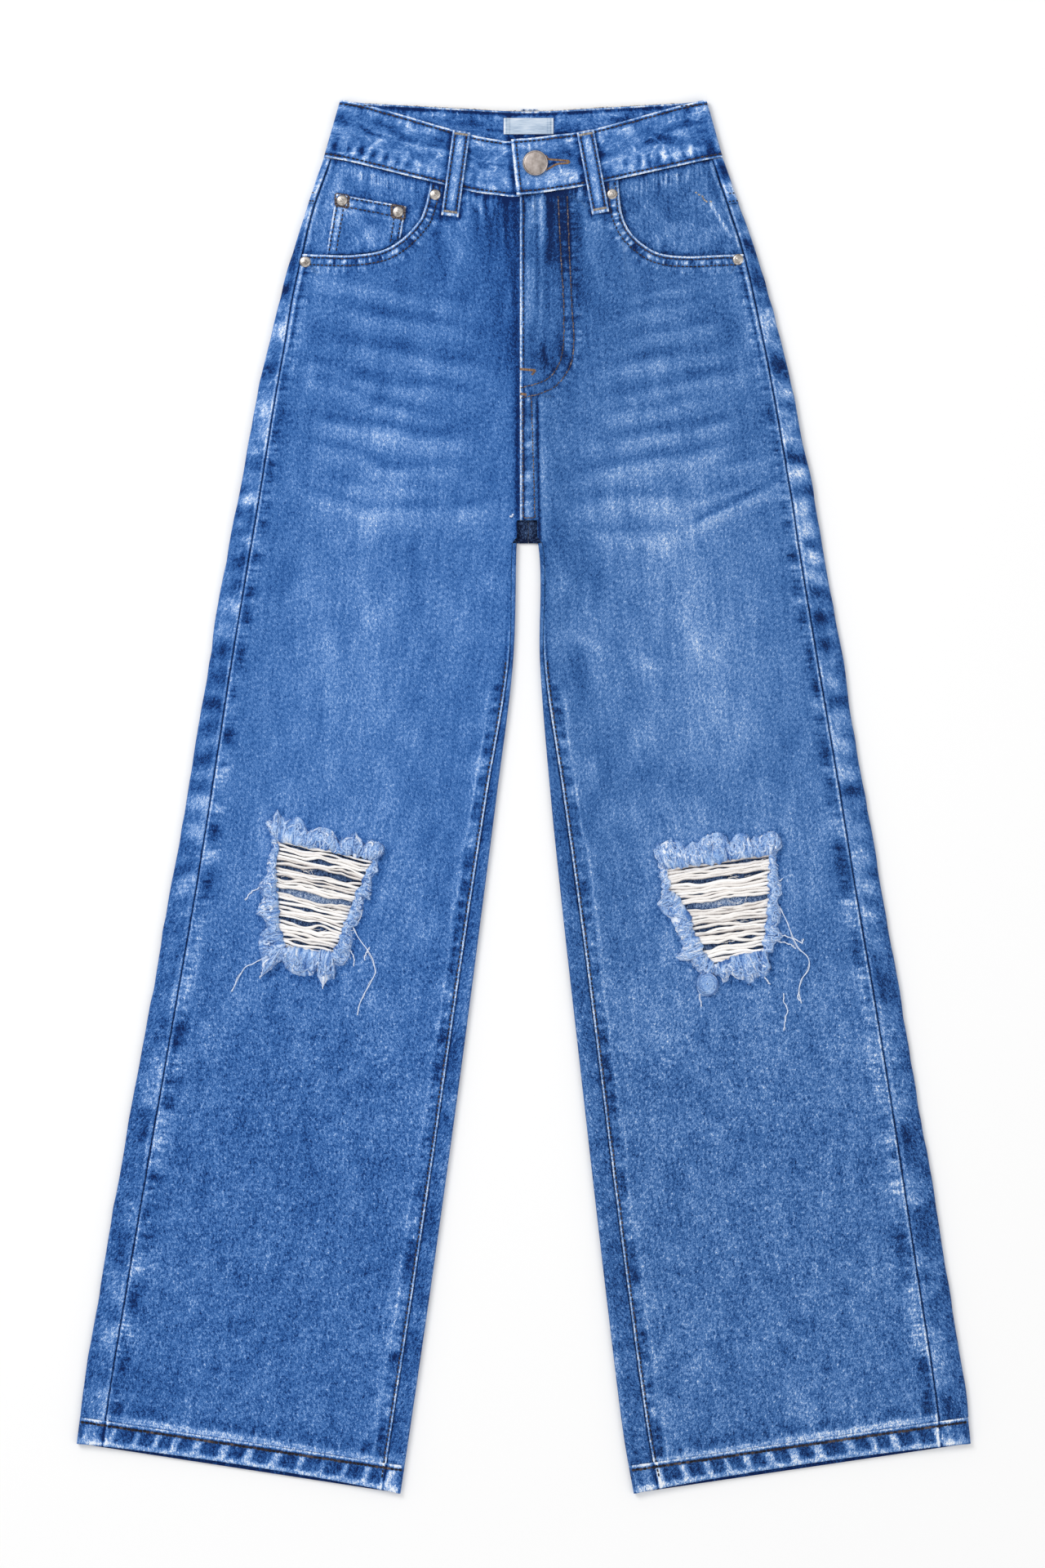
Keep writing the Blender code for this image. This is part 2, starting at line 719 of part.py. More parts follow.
def band_row(share):
    """The band's middle surface at one height of the band, from its right end round the back."""
    points = [band_point(UNDERLAP, share, BAND_FRONT_HEIGHT)]
    points += [band_point(station, share, BAND_FRONT_HEIGHT) for station in BAND_FRONT["right"]]
    radius = (BAND_FRONT_HEIGHT - BAND_BACK_HEIGHT) / 2
    middle = (BAND_FRONT_HEIGHT + BAND_BACK_HEIGHT) / 2
    for side, turn in (("right", 1), ("left", -1)):
        edge = band_point(BAND_SIDE[side], share, middle)
        centre = edge - Vector((SIGN[side] * (radius + BAND_WALL / 2), 0, 0))
        for step in range(FOLD_STEPS + 1):
            angle = math.pi * step / FOLD_STEPS
            out = Vector((SIGN[side] * math.sin(angle), 0, turn * math.cos(angle)))
            points.append(centre + out * radius)
        if side == "right":
            points += [band_point(station, share, BAND_BACK_HEIGHT) for station in BAND_BACK]
    for station in BAND_FRONT["left"][::-1]:
        point = band_point(station, share, BAND_FRONT_HEIGHT)
        climb = smooth((LAP_RAMP_STARTS - point.x) / (LAP_RAMP_STARTS - LAP_RAMP_ENDS))
        point.z = mix(BAND_FRONT_HEIGHT, BAND_LAP_HEIGHT, climb)
        points.append(point)
    return points


def buttonhole_outline():
    """A keyhole: a round eye at the shank and a slit towards the side."""
    length = (BUTTONHOLE_ENDS - BUTTON_AT[0]) / math.cos(math.radians(BUTTONHOLE_TILT))
    half = BUTTONHOLE_WIDTH / 2
    outline = []
    for step in range(EYE_STEPS + 1):
        angle = mix(EYE_OPENS, 2 * math.pi - EYE_OPENS, step / EYE_STEPS)
        outline.append((BUTTONHOLE_EYE * math.cos(angle), BUTTONHOLE_EYE * math.sin(angle)))
    outline += [(length, -half), (length, half)]
    return [flat(BUTTON_AT) + turned(pair, BUTTONHOLE_TILT) for pair in outline]


def waistband(collection, cutters):
    made = cloth("waistband", ([band_row(share) for share in (0.0, 0.5, 1.0)],), BAND_WALL, collection)
    low = BAND_LAP_HEIGHT - BAND_WALL / 2 - SEAM_GAP / 2
    cut(made, prism("buttonhole", [buttonhole_outline()], low, low + BAND_WALL + 2.0, cutters))


# Pockets


def facing(side, collection):
    centre = flat(POCKET_CENTRE[side])
    sign = SIGN[side]
    inner_x = flat(POCKET_MOUTH[side][-1]).x - sign * 12.0
    side_edge = [outseam(side, place, SEAM_GAP / 2) for place in FACING_PLACES]
    side_edge[0].y = waist_low(side_edge[0].x) - SEAM_GAP
    tops = [Vector((x, waist_low(x) - SEAM_GAP)) for x in (sign * 130.0, sign * 106.0, sign * 84.0, inner_x)]
    low = [centre + (flat(pair) - centre) * FACING_REACH for pair in POCKET_MOUTH[side][1:-1]][::-1]
    outline = tops + low + side_edge[::-1]
    plate("pocket_facing_" + side, outline, FACING_HEIGHT, FACING_HEIGHT + WALL, collection)


def pockets(collection):
    for side in SIGN:
        facing(side, collection)
        centre = flat(BACK_POCKET_AT[side])
        outline = [centre + turned(pair, SIGN[side] * 3.0) for pair in BACK_POCKET]
        plate("back_pocket_" + side, outline, 0.0, BACK_POCKET_WALL, collection)
    plate("coin_pocket", COIN_POCKET, ON_FACING, ON_FACING + WALL, collection)


# Belt loops


def loop_rows(loop, heights):
    top = Vector((loop.top_x, loop.top_y))
    low = Vector((loop.low_x, loop.low_y))
    across = (low - top).normalized().orthogonal() * (LOOP_WIDTH / 2)
    rows = []
    for index, height in enumerate(heights):
        middle = mix(top, low, index / (len(heights) - 1))
        rows.append([raised(middle + across * share, height) for share in (-1.0, 0.0, 1.0)])
    return rows


def belt_loops(collection):
    half = LOOP_WALL / 2
    on_band = BAND_FRONT_HEIGHT + BAND_WALL / 2 + SEAM_GAP + half
    on_front = SEAT_FRONT + SEAM_GAP + half
    heights = (on_band, on_band + LOOP_ARCH / 2, on_band + LOOP_ARCH, on_band + LOOP_ARCH,
               on_band + LOOP_ARCH / 2, mix(on_band, on_front, 0.3), on_front, on_front)
    for side, loop in FRONT_LOOPS.items():
        cloth("belt_loop_front_" + side, (loop_rows(loop, heights),), LOOP_WALL, collection)
    for side, loop in BACK_LOOPS.items():
        cloth("belt_loop_back_" + side, (loop_rows(loop, (half, half)),), LOOP_WALL, collection)


# Knees


def inset(outline, distance):
    """The outline moved inwards by a distance, whichever way it runs."""
    points = [flat(pair) for pair in outline]
    area = sum(a.cross(b) for a, b in zip(points, points[1:] + points[:1]))
    way = math.copysign(1.0, area)
    moved = []
    for before, here, after in zip(points[-1:] + points[:-1], points, points[1:] + points[:1]):
        first = (here - before).normalized()
        second = (after - here).normalized()
        across = Vector((-first.y - second.y, first.x + second.x)) * way
        moved.append(here + across * (2.0 * distance / across.length_squared))
    return moved


def knee_yarns(side, collection, cutters):
    low = WALL + LEG_GAP + (WALL - YARN_WALL) / 2
    outline = inset(KNEE_HOLE[side], SEAM_GAP)
    made = plate("knee_yarns_" + side, outline, low, low + YARN_WALL, collection, YARN)
    lenses = []
    for slit in YARN_SLITS[side]:
        lens = []
        for step in range(12):
            angle = 2 * math.pi * step / 12
            lens.append((slit.x + math.cos(angle) * slit.length / 2,
                         slit.y + math.sin(angle) * slit.width / 2))
        lenses.append(lens)
    cut(made, prism("yarn_slits_" + side, lenses, low - 1.0, low + 2.0, cutters))


def around(outline, share):
    """A point and the outward direction at a share of the way round an outline."""
    points = [flat(pair) for pair in outline]
    closed = points + points[:1]
    lengths = [(b - a).length for a, b in zip(closed, closed[1:])]
    left = share * sum(lengths)
    for a, b, length in zip(closed, closed[1:], lengths):
        if left <= length:
            break
        left -= length
    return mix(a, b, left / length)


def fray(side, collection):
    """The reach of the frayed edge: a low rounded ring on the front, wavy outside."""
    hole = KNEE_HOLE[side]
    inside = inset(hole, FRAY_INSIDE)
    middle = sum((flat(pair) for pair in hole), Vector((0, 0))) / len(hole)
    length = sum((flat(a) - flat(b)).length for a, b in zip(hole, hole[1:] + hole[:1]))
    tufts = round(length / FRAY_TUFT)
    floor = WALL + LEG_GAP + WALL + SEAM_GAP
    form = bmesh.new()
    rings = []
    for step in range(FRAY_STEPS):
        share = step / FRAY_STEPS
        near = around(inside, share)
        edge = around(hole, share)
        out = (edge - middle).normalized()
        reach = mix(FRAY_SIDE, FRAY_END, abs(out.y)) + 1.6 * math.cos(2 * math.pi * tufts * share)
        far = edge + out * reach
        crest = mix(near, far, 0.5)
        profile = ((near, 0.0), (near, 0.9), (crest, FRAY_HEIGHT), (far, 0.9), (far, 0.0))
        rings.append([form.verts.new(raised(point, floor + high)) for point, high in profile])
    for ring, after in zip(rings, rings[1:] + rings[:1]):
        for index in range(len(ring)):
            other = (index + 1) % len(ring)
            form.faces.new((ring[index], ring[other], after[other], after[index]))
    bmesh.ops.recalc_face_normals(form, faces=form.faces)
    object_of("fray_" + side, form, collection, PALE_DENIM)


# Hardware


def hardware(collection):
    crown = BUTTON_RADIUS
    above_band = BAND_LAP_HEIGHT + BAND_WALL / 2 + SEAM_GAP
    below = above_band - (BAND_FRONT_HEIGHT + BAND_WALL / 2 + SEAM_GAP)
    profile = ((0.0, 2.5), (crown * 0.66, 2.5), (crown * 0.82, 2.9), (crown * 0.95, 2.6), (crown, 1.8),
               (crown, 1.0), (crown * 0.92, 0.2), (crown * 0.75, 0.0), (SHANK_RADIUS, 0.0),
               (SHANK_RADIUS, -below), (0.0, -below))
    turned_piece("button", profile, BUTTON_AT, above_band, collection, NICKEL, ROUND_STEPS)
    on_cloth = SEAT_FRONT + SEAM_GAP
    size = RIVET_RADIUS
    dome = ((0.0, 1.9), (size * 0.2, 1.8), (size * 0.3, 1.3), (size * 0.7, 1.1), (size * 0.93, 0.6),
            (size, 0.0), (0.0, 0.0))
    for name, place in RIVETS.items():
        turned_piece(name, dome, place, on_cloth, collection, NICKEL, ROUND_STEPS // 2)


def label(collection):
    low = BAND_BACK_HEIGHT + BAND_WALL / 2 + SEAM_GAP
    plate("waist_label", LABEL_CORNERS, low, low + 1.0, collection, LABEL_CLOTH)


def main():
    for old in list(bpy.data.objects):
        bpy.data.objects.remove(old, do_unlink=True)
    parts = bpy.data.collections.new("ripped_jeans")
    cutters = bpy.data.collections.new("cutters")
    for collection in (parts, cutters):
        bpy.context.scene.collection.children.link(collection)
    for side in SIGN:
        front_panel(side, parts, cutters)
        back_panel(side, parts)
        yoke(side, parts)
        hem(side, parts)
        knee_yarns(side, parts, cutters)
        fray(side, parts)
    waistband(parts, cutters)
    pockets(parts)
    belt_loops(parts)
    label(parts)
    hardware(parts)


main()
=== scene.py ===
"""Looks for the ripped jeans: denim shells with fades and creases, stitching, frayed knees and hardware.

The tables repeat the garment's sections in millimetres, as part.py has them; MM turns them into metres.
Right and left are the wearer's. +X is the wearer's left, +Y the waist, +Z up from the surface.
"""

import math
from collections import namedtuple

import bpy
import numpy as np
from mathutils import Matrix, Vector
from mathutils.bvhtree import BVHTree

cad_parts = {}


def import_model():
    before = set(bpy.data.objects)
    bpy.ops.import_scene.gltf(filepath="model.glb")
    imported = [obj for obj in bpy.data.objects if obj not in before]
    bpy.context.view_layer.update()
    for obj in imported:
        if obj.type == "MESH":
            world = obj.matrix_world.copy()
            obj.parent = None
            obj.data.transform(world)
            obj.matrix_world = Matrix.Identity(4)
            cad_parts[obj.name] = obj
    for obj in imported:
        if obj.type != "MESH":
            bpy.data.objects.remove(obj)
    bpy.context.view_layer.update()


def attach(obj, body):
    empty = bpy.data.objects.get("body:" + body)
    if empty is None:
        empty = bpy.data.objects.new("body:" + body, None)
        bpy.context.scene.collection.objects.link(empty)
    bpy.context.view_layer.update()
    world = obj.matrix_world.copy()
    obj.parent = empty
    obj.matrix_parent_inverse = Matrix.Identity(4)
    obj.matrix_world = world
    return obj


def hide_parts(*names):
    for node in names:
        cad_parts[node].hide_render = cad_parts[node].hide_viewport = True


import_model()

TURN = 2 * math.pi
MM = 0.001
SIDES = ("right", "left")
SIGN = {"right": -1.0, "left": 1.0}

# Cloth and heights, as in part.py
WALL, SEAM_GAP, HEM_WALL, BAND_WALL, LOOP_WALL, LOOP_WIDTH = 1.0, 0.3, 2.2, 2.2, 1.2, 13.0
BACK_LIFT, LIFT_STARTS, LIFT_ENDS = 1.5, 165.0, 235.0
LEG_DEPTH, SEAT_DEPTH, LEG_GAP, SEAT_GAP, SEAT_GAP_ENDS = 5.0, 4.2, 0.6, 2.2, 300.0
HEM_GAP, HEM_GAP_STARTS, HEM_GAP_ENDS, SINK = 2.0, -400.0, -460.0, 45.0
FACING_HEIGHT = 3.4
ON_FACING = FACING_HEIGHT + WALL + SEAM_GAP
SEAT_FRONT = BACK_LIFT + SEAT_DEPTH
LAP_RAISE, LAP_SETTLES = WALL + SEAM_GAP, 30.0
MOUTH_PLACE, YOKE_PLACE, PLAIN_PLACE, LAP_PLACE, CROTCH_PLACE = 2.0, 0.9, 5.0, 7.3, 8.0
HEM_WIDTH, BAND_WIDTH, END_PLACE_GAP, ROUNDING = 20.6, 42.0, 0.0015, 1e-6
HEM_PLACE, LAST_PLACE = 15.52, 16.0
CENTRE_BACK, YOKE_CENTRE_TOP, YOKE_CENTRE_LOW = 3.5, 470.3, 406.0
CROTCH_HEIGHT, LAP_END_HEIGHT = 189.7, 206.8
CROTCH_LINE = {"right": -5.0, "left": 10.2}
LAP_EDGE = {"right": 9.0, "left": -2.9}

# One section of a half: outer edge, centre line or inner leg edge, and how far in the seams lie.
ROW_FIELDS = ("out_x", "out_y", "in_x", "in_y", "outseam", "inseam")
SECTIONS = {
    "right": np.array((
        (-149.5, 477.6, -5.2, 448.4, 5.5, 0.0),
        (-162.0, 439.8, -3.4, 418.5, 4.6, 0.0),
        (-173.5, 406.3, -3.4, 391.0, 8.0, 0.0),
        (-183.0, 369.7, -3.4, 360.5, 9.5, 0.0),
        (-192.0, 333.0, -3.5, 327.0, 12.5, 0.0),
        (-199.3, 296.5, -4.3, 293.4, 13.3, 0.0),
        (-207.4, 253.8, -3.5, 252.5, 14.6, 0.0),
        (-215.2, 214.0, -3.5, 214.0, 16.0, 0.0),
        (-219.9, 189.7, -5.2, 189.7, 16.5, 3.2),
        (-234.5, 107.4, -7.9, 101.3, 17.2, 3.2),
        (-249.4, 15.9, -19.8, 3.7, 17.9, 7.0),
        (-265.0, -75.6, -32.4, -93.9, 18.8, 9.5),
        (-281.5, -167.1, -45.0, -190.3, 19.2, 11.0),
        (-298.0, -258.6, -58.2, -286.7, 19.6, 11.8),
        (-313.7, -350.1, -71.8, -383.0, 19.6, 12.8),
        (-328.8, -441.6, -85.6, -477.0, 19.5, 13.6),
        (-334.3, -483.1, -92.2, -520.5, 19.5, 13.4),
    )),
    "left": np.array((
        (148.8, 477.6, -5.2, 449.4, 8.0, 0.0),
        (162.3, 439.8, -3.4, 418.5, 8.5, 0.0),
        (173.6, 406.3, -3.4, 391.0, 9.2, 0.0),
        (184.4, 369.7, -3.4, 360.5, 11.4, 0.0),
        (194.3, 333.0, -3.5, 327.0, 13.6, 0.0),
        (202.4, 296.5, -4.3, 293.4, 14.8, 0.0),
        (210.9, 253.8, -3.5, 252.5, 15.9, 0.0),
        (218.9, 214.0, -3.5, 214.0, 17.2, 0.0),
        (223.3, 189.7, 10.7, 189.7, 18.1, 3.2),
        (237.6, 107.4, 12.1, 101.3, 18.8, 3.2),
        (252.8, 15.9, 19.8, 3.7, 18.4, 9.2),
        (268.2, -75.6, 29.9, -93.9, 18.8, 12.8),
        (284.4, -167.1, 40.8, -190.3, 19.3, 14.2),
        (300.2, -258.6, 51.7, -286.7, 20.6, 15.4),
        (315.1, -350.1, 62.9, -383.0, 21.6, 16.8),
        (329.6, -441.6, 74.6, -477.0, 22.0, 18.2),
        (334.3, -483.1, 82.2, -520.5, 22.2, 18.8),
    )),
}

POCKET_MOUTH = {
    "right": (
        (-147.0, 404.9), (-128.2, 404.7), (-106.4, 408.0), (-91.2, 416.6), (-78.6, 429.8), (-74.0, 440.0),
        (-70.5, 453.8), (-69.4, 459.6),
    ),
    "left": (
        (142.0, 404.6), (122.3, 403.8), (102.8, 405.8), (89.7, 412.4), (78.8, 423.3), (73.2, 436.6),
        (71.1, 453.8), (70.6, 461.2),
    ),
}
POCKET_CENTRE = {"right": (-126.0, 470.0), "left": (126.0, 470.0)}

# Waistband stations: low edge x, y and top edge x, y
UNDERLAP = (22.0, 452.2, 21.0, 493.4)
BAND_FRONT = {
    "right": (
        (-5.2, 448.4, -9.5, 489.8), (-20.0, 449.6, -20.0, 491.0), (-36.9, 451.8, -33.5, 493.4),
        (-62.8, 458.0, -55.0, 499.0), (-84.6, 463.4, -74.8, 504.8), (-106.4, 468.9, -95.0, 510.8),
        (-130.0, 474.6, -117.6, 517.0),
    ),
    "left": (
        (-5.2, 449.4, -9.5, 490.8), (10.0, 450.6, 8.0, 492.2), (24.0, 452.6, 21.0, 493.9),
        (46.0, 456.6, 41.0, 496.7), (68.0, 460.9, 60.0, 500.8), (111.3, 470.4, 98.0, 511.4),
        (130.0, 474.6, 118.4, 517.0),
    ),
}
BAND_SIDE = {"right": (-149.5, 477.9, -137.3, 520.5), "left": (148.8, 477.9, 136.8, 520.5)}
BAND_BACK = (
    (-128.0, 476.9, -119.0, 518.7), (-62.0, 473.6, -60.0, 515.4), (3.5, 470.6, 3.5, 512.6),
    (66.0, 473.8, 64.0, 515.6), (128.0, 476.9, 119.0, 518.7),
)
BAND_BACK_HEIGHT = BACK_LIFT + BAND_WALL / 2
BAND_FRONT_HEIGHT = BAND_BACK_HEIGHT + 2.6
BAND_LAP_HEIGHT = BAND_FRONT_HEIGHT + 2.6
LAP_RAMP_STARTS, LAP_RAMP_ENDS = 38.0, 24.5

KNEE_HOLE = {
    "right": (
        (-185.0, -30.0), (-146.0, -38.0), (-110.3, -45.0), (-129.0, -83.6), (-133.7, -102.3),
        (-143.0, -118.6), (-181.5, -113.0), (-185.0, -87.0), (-186.4, -53.0),
    ),
    "left": (
        (186.7, -39.7), (146.0, -46.0), (105.0, -52.0), (107.5, -70.0), (119.0, -82.5), (124.7, -98.2),
        (133.0, -119.0), (141.0, -126.0), (180.9, -115.5), (184.3, -78.0),
    ),
}
# Lens-shaped gaps between the bared weft yarns: middle, length, width
Gap = namedtuple("Gap", "x y length width")
YARN_GAPS = {
    "right": (
        Gap(-169.0, -38.8, 24.0, 1.8), Gap(-150.0, -48.6, 16.0, 3.2), Gap(-131.0, -45.4, 24.0, 1.8),
        Gap(-159.0, -55.6, 30.0, 5.0), Gap(-138.0, -61.2, 24.0, 4.0), Gap(-179.5, -58.6, 11.0, 2.0),
        Gap(-157.0, -75.4, 64.0, 6.6), Gap(-149.0, -68.0, 18.0, 1.2), Gap(-163.0, -84.6, 16.0, 2.0),
        Gap(-141.0, -84.2, 12.0, 1.6), Gap(-168.0, -94.0, 34.0, 3.6), Gap(-152.0, -99.6, 14.0, 3.4),
        Gap(-170.0, -108.0, 13.0, 3.0), Gap(-178.0, -103.0, 12.0, 1.4), Gap(-118.0, -55.6, 12.0, 1.4),
    ),
    "left": (
        Gap(118.0, -49.2, 16.0, 2.4), Gap(145.0, -43.8, 18.0, 2.6), Gap(165.0, -47.6, 14.0, 2.6),
        Gap(179.0, -46.6, 14.0, 1.6), Gap(131.0, -63.6, 32.0, 4.6), Gap(160.0, -59.6, 20.0, 3.6),
        Gap(176.0, -55.8, 18.0, 1.6), Gap(152.0, -79.2, 70.0, 7.2), Gap(140.0, -97.2, 26.0, 2.8),
        Gap(167.0, -92.2, 34.0, 1.8), Gap(136.0, -112.0, 18.0, 5.0), Gap(155.0, -108.0, 12.0, 3.0),
        Gap(171.0, -104.8, 12.0, 1.4), Gap(172.0, -112.6, 12.0, 1.4), Gap(126.0, -89.6, 12.0, 1.2),
    ),
}
# The ragged outline of the ruffle of fibres round each torn edge
RUFFLE = {
    "right": (
        (-189, -29), (-191, -24), (-192.5, -19), (-190, -16.5), (-188, -18.5), (-186.5, -13), (-184, -9),
        (-182, -14), (-179, -15), (-176, -15.5), (-173, -16.5), (-170, -14.5), (-167, -15.5), (-165, -17.5),
        (-163, -21), (-161.5, -26), (-158, -24.5), (-153, -22.5), (-148, -22.5), (-144, -24), (-141, -27.5),
        (-139.5, -33), (-136, -32.5), (-133, -30.5), (-130, -30), (-127.5, -29.5), (-125.5, -25.5),
        (-124, -29.5), (-121, -32), (-119.5, -37), (-117, -33.5), (-113, -32.5), (-109, -33.5), (-106, -36),
        (-104, -39), (-106, -43), (-109.5, -43), (-108.5, -48), (-109, -55), (-113.5, -60), (-114, -66),
        (-115.5, -76.5), (-119.5, -74), (-120.5, -80), (-121.5, -87), (-125, -95), (-129, -98),
        (-127, -106), (-129, -112), (-130.5, -120), (-135, -125), (-139, -126), (-141.5, -125),
        (-141.5, -136), (-147, -137), (-150, -141.5), (-152, -137.5), (-154.5, -134), (-154, -128),
        (-158, -133), (-164, -134), (-170, -133), (-175, -130.5), (-178.5, -127), (-180, -121.5),
        (-184, -124), (-188, -128), (-192, -131), (-196.5, -134.5), (-195, -128), (-196, -121),
        (-198, -113), (-198, -106), (-196, -101), (-191.5, -97.5), (-193, -93), (-196, -89.5),
        (-200.5, -87.5), (-199, -83), (-196, -79), (-193.5, -76), (-197, -72), (-197.5, -66), (-195, -62),
        (-191.5, -57), (-191, -48), (-189.5, -40), (-188.5, -33),
    ),
    "left": (
        (97.5, -39), (99.5, -33), (102, -35.5), (105, -33.5), (109, -31.5), (114, -31.5), (118, -33.5),
        (120.5, -38.5), (122.5, -35.5), (126, -33), (130, -34), (132.5, -30.5), (137, -28), (142, -26.5),
        (147, -26), (151, -28.5), (153, -34.5), (155.5, -31.5), (158.5, -28), (163, -26), (167, -28),
        (169.5, -32.5), (172, -29), (175, -30), (178, -28.5), (181.5, -26), (187, -25.5), (191, -28.5),
        (193, -33), (191.5, -37.5), (188.5, -40.5), (188.5, -50), (190, -58), (192.5, -66), (193, -72),
        (189.5, -77.5), (192, -83), (192.5, -89), (189.5, -95), (191.5, -100), (194.5, -104.5), (190, -107),
        (187.5, -110), (186.5, -116), (183, -115.5), (182.5, -122), (184.5, -128), (183, -133),
        (179.5, -135), (175, -133.5), (172, -137.5), (168, -140), (165.5, -137), (160, -136),
        (154.5, -132.5), (152, -137.5), (149, -139), (147, -134.5), (143, -131), (138, -134), (133, -132),
        (128.5, -129), (126, -125), (124.5, -121), (121, -122.5), (117, -122), (113.5, -119.5),
        (117, -116.5), (119, -112), (117, -107), (115, -101), (112, -96), (110, -91), (105, -87.5),
        (101, -83), (100, -80), (103, -76.5), (104, -72.5), (103.5, -66), (102, -60), (102, -54),
        (101.5, -47.5), (98.5, -44),
    ),
}
YARN_FLOOR = WALL + LEG_GAP

# Whiskers and drag lines on the fronts: middle, length, turn from +X, half width, height, paleness
Crease = namedtuple("Crease", "x y length turn width height pale")
FRONT_CREASES = {
    "right": (
        Crease(-92.0, 354.5, 138.0, -10.0, 5.5, 0.5, 0.13),
        Crease(-88.0, 326.5, 130.0, -11.0, 6.0, 0.7, 0.16),
        Crease(-75.0, 371.0, 80.0, -8.0, 5.0, 0.4, 0.11),
        Crease(-142.0, 318.0, 60.0, -11.0, 4.5, 0.4, 0.10),
        Crease(-142.0, 304.0, 56.0, -18.0, 4.0, 0.4, 0.14),
        Crease(-92.0, 304.0, 132.0, -7.0, 5.0, 0.6, 0.15),
        Crease(-92.0, 287.0, 70.0, -13.0, 5.0, 0.5, 0.14),
        Crease(-104.0, 269.5, 140.0, -7.0, 6.0, 0.7, 0.17),
        Crease(-128.0, 252.0, 90.0, -14.0, 4.5, 0.4, 0.12),
        Crease(-84.0, 243.0, 90.0, 4.0, 5.0, 0.5, 0.10),
        Crease(-70.0, 212.5, 130.0, 2.0, 6.5, 0.6, 0.12),
        Crease(-138.0, 217.0, 70.0, -20.0, 4.5, 0.4, 0.12),
        Crease(-100.0, 228.5, 110.0, -6.0, 4.5, 0.4, 0.09),
        Crease(-120.0, 381.0, 70.0, -5.0, 4.0, 0.3, 0.07),
    ),
    "left": (
        Crease(98.0, 376.0, 60.0, 9.0, 4.0, 0.3, 0.08),
        Crease(98.0, 361.0, 80.0, 12.0, 5.0, 0.5, 0.13),
        Crease(118.0, 348.0, 80.0, 10.0, 4.5, 0.4, 0.10),
        Crease(100.0, 323.5, 110.0, 9.0, 5.5, 0.6, 0.14),
        Crease(114.0, 304.0, 120.0, 13.0, 6.0, 0.7, 0.17),
        Crease(102.0, 288.0, 110.0, 9.0, 5.0, 0.5, 0.14),
        Crease(106.0, 269.5, 120.0, 8.0, 5.5, 0.6, 0.15),
        Crease(98.0, 247.0, 130.0, 11.0, 6.0, 0.7, 0.16),
        Crease(80.0, 218.0, 110.0, 5.0, 6.0, 0.5, 0.13),
        Crease(157.0, 217.5, 80.0, 27.0, 3.6, 1.1, 0.24),
        Crease(166.0, 249.5, 60.0, 14.0, 4.0, 0.5, 0.10),
        Crease(84.0, 192.0, 80.0, -5.0, 6.0, 0.4, 0.12),
        Crease(146.0, 226.0, 60.0, 16.0, 2.6, 0.3, 0.11),
    ),
}
BACK_CREASES = {
    side: tuple(
        Crease(SIGN[side] * x, y, length, SIGN[side] * turn, width, height, pale)
        for x, y, length, turn, width, height, pale in (
            (90.0, 214.0, 120.0, -14.0, 5.0, 0.5, 0.14), (84.0, 196.0, 110.0, -18.0, 5.0, 0.5, 0.12),
            (130.0, 176.0, 90.0, -10.0, 5.0, 0.0, 0.10), (150.0, -52.0, 110.0, 8.0, 6.0, 0.0, 0.10),
            (156.0, -72.0, 130.0, 4.0, 6.0, 0.0, 0.12), (150.0, -94.0, 120.0, -4.0, 6.0, 0.0, 0.11),
            (160.0, -116.0, 100.0, -9.0, 6.0, 0.0, 0.09), (140.0, 30.0, 60.0, 12.0, 7.0, 0.0, 0.06),
        )
    )
    for side in SIDES
}

# Worn areas on the fronts: middle, half widths across and up, paleness
Area = namedtuple("Area", "x y across up pale")
WORN_AREAS = {
    "right": (Area(-101.0, 222.0, 28.0, 24.0, 0.09),),
    "left": (
        Area(103.0, 212.0, 40.0, 26.0, 0.08), Area(112.0, 120.0, 34.0, 60.0, 0.06),
        Area(88.0, 30.0, 22.0, 40.0, 0.07),
    ),
}

# Worn and dark streaks on the fronts: a line, half width, paleness
Wear = namedtuple("Wear", "line width pale")
FRONT_WEAR = {
    "right": (
        Wear(((-124.0, 204.0), (-119.0, 130.0), (-111.0, 62.0)), 10.0, 0.10),
        Wear(((-89.0, 200.0), (-88.0, 165.0)), 13.0, -0.08),
        Wear(((-186.0, 205.0), (-196.0, 100.0)), 12.0, -0.06),
        Wear(((-152.0, 150.0), (-150.0, 120.0)), 14.0, 0.05),
        Wear(((-152.0, 388.0), (-116.0, 379.0)), 11.0, 0.09),
        Wear(((-178.0, 384.0), (-186.0, 330.0)), 11.0, 0.06),
        Wear(((-24.0, 430.0), (-20.0, 350.0)), 10.0, -0.07),
    ),
    "left": (
        Wear(((112.0, 185.0), (135.0, 120.0), (152.0, 55.0)), 26.0, 0.09),
        Wear(((103.0, 194.0), (118.0, 150.0), (134.0, 90.0)), 4.5, 0.06),
        Wear(((33.0, 122.0), (60.0, 108.0), (118.0, 92.0)), 4.5, 0.09),
        Wear(((24.0, 188.0), (44.0, 172.0), (62.0, 150.0)), 16.0, -0.11),
        Wear(((36.0, 100.0), (50.0, 60.0), (70.0, 4.0)), 11.0, -0.12),
        Wear(((48.0, 24.0), (50.0, 12.0)), 7.0, 0.14),
        Wear(((190.0, 185.0), (206.0, 60.0)), 13.0, -0.06),
        Wear(((95.0, 18.0), (195.0, 10.0)), 14.0, -0.06),
        Wear(((142.0, 388.0), (160.0, 350.0), (172.0, 318.0)), 11.0, 0.08),
        Wear(((52.0, 430.0), (60.0, 360.0)), 13.0, -0.06),
    ),
}

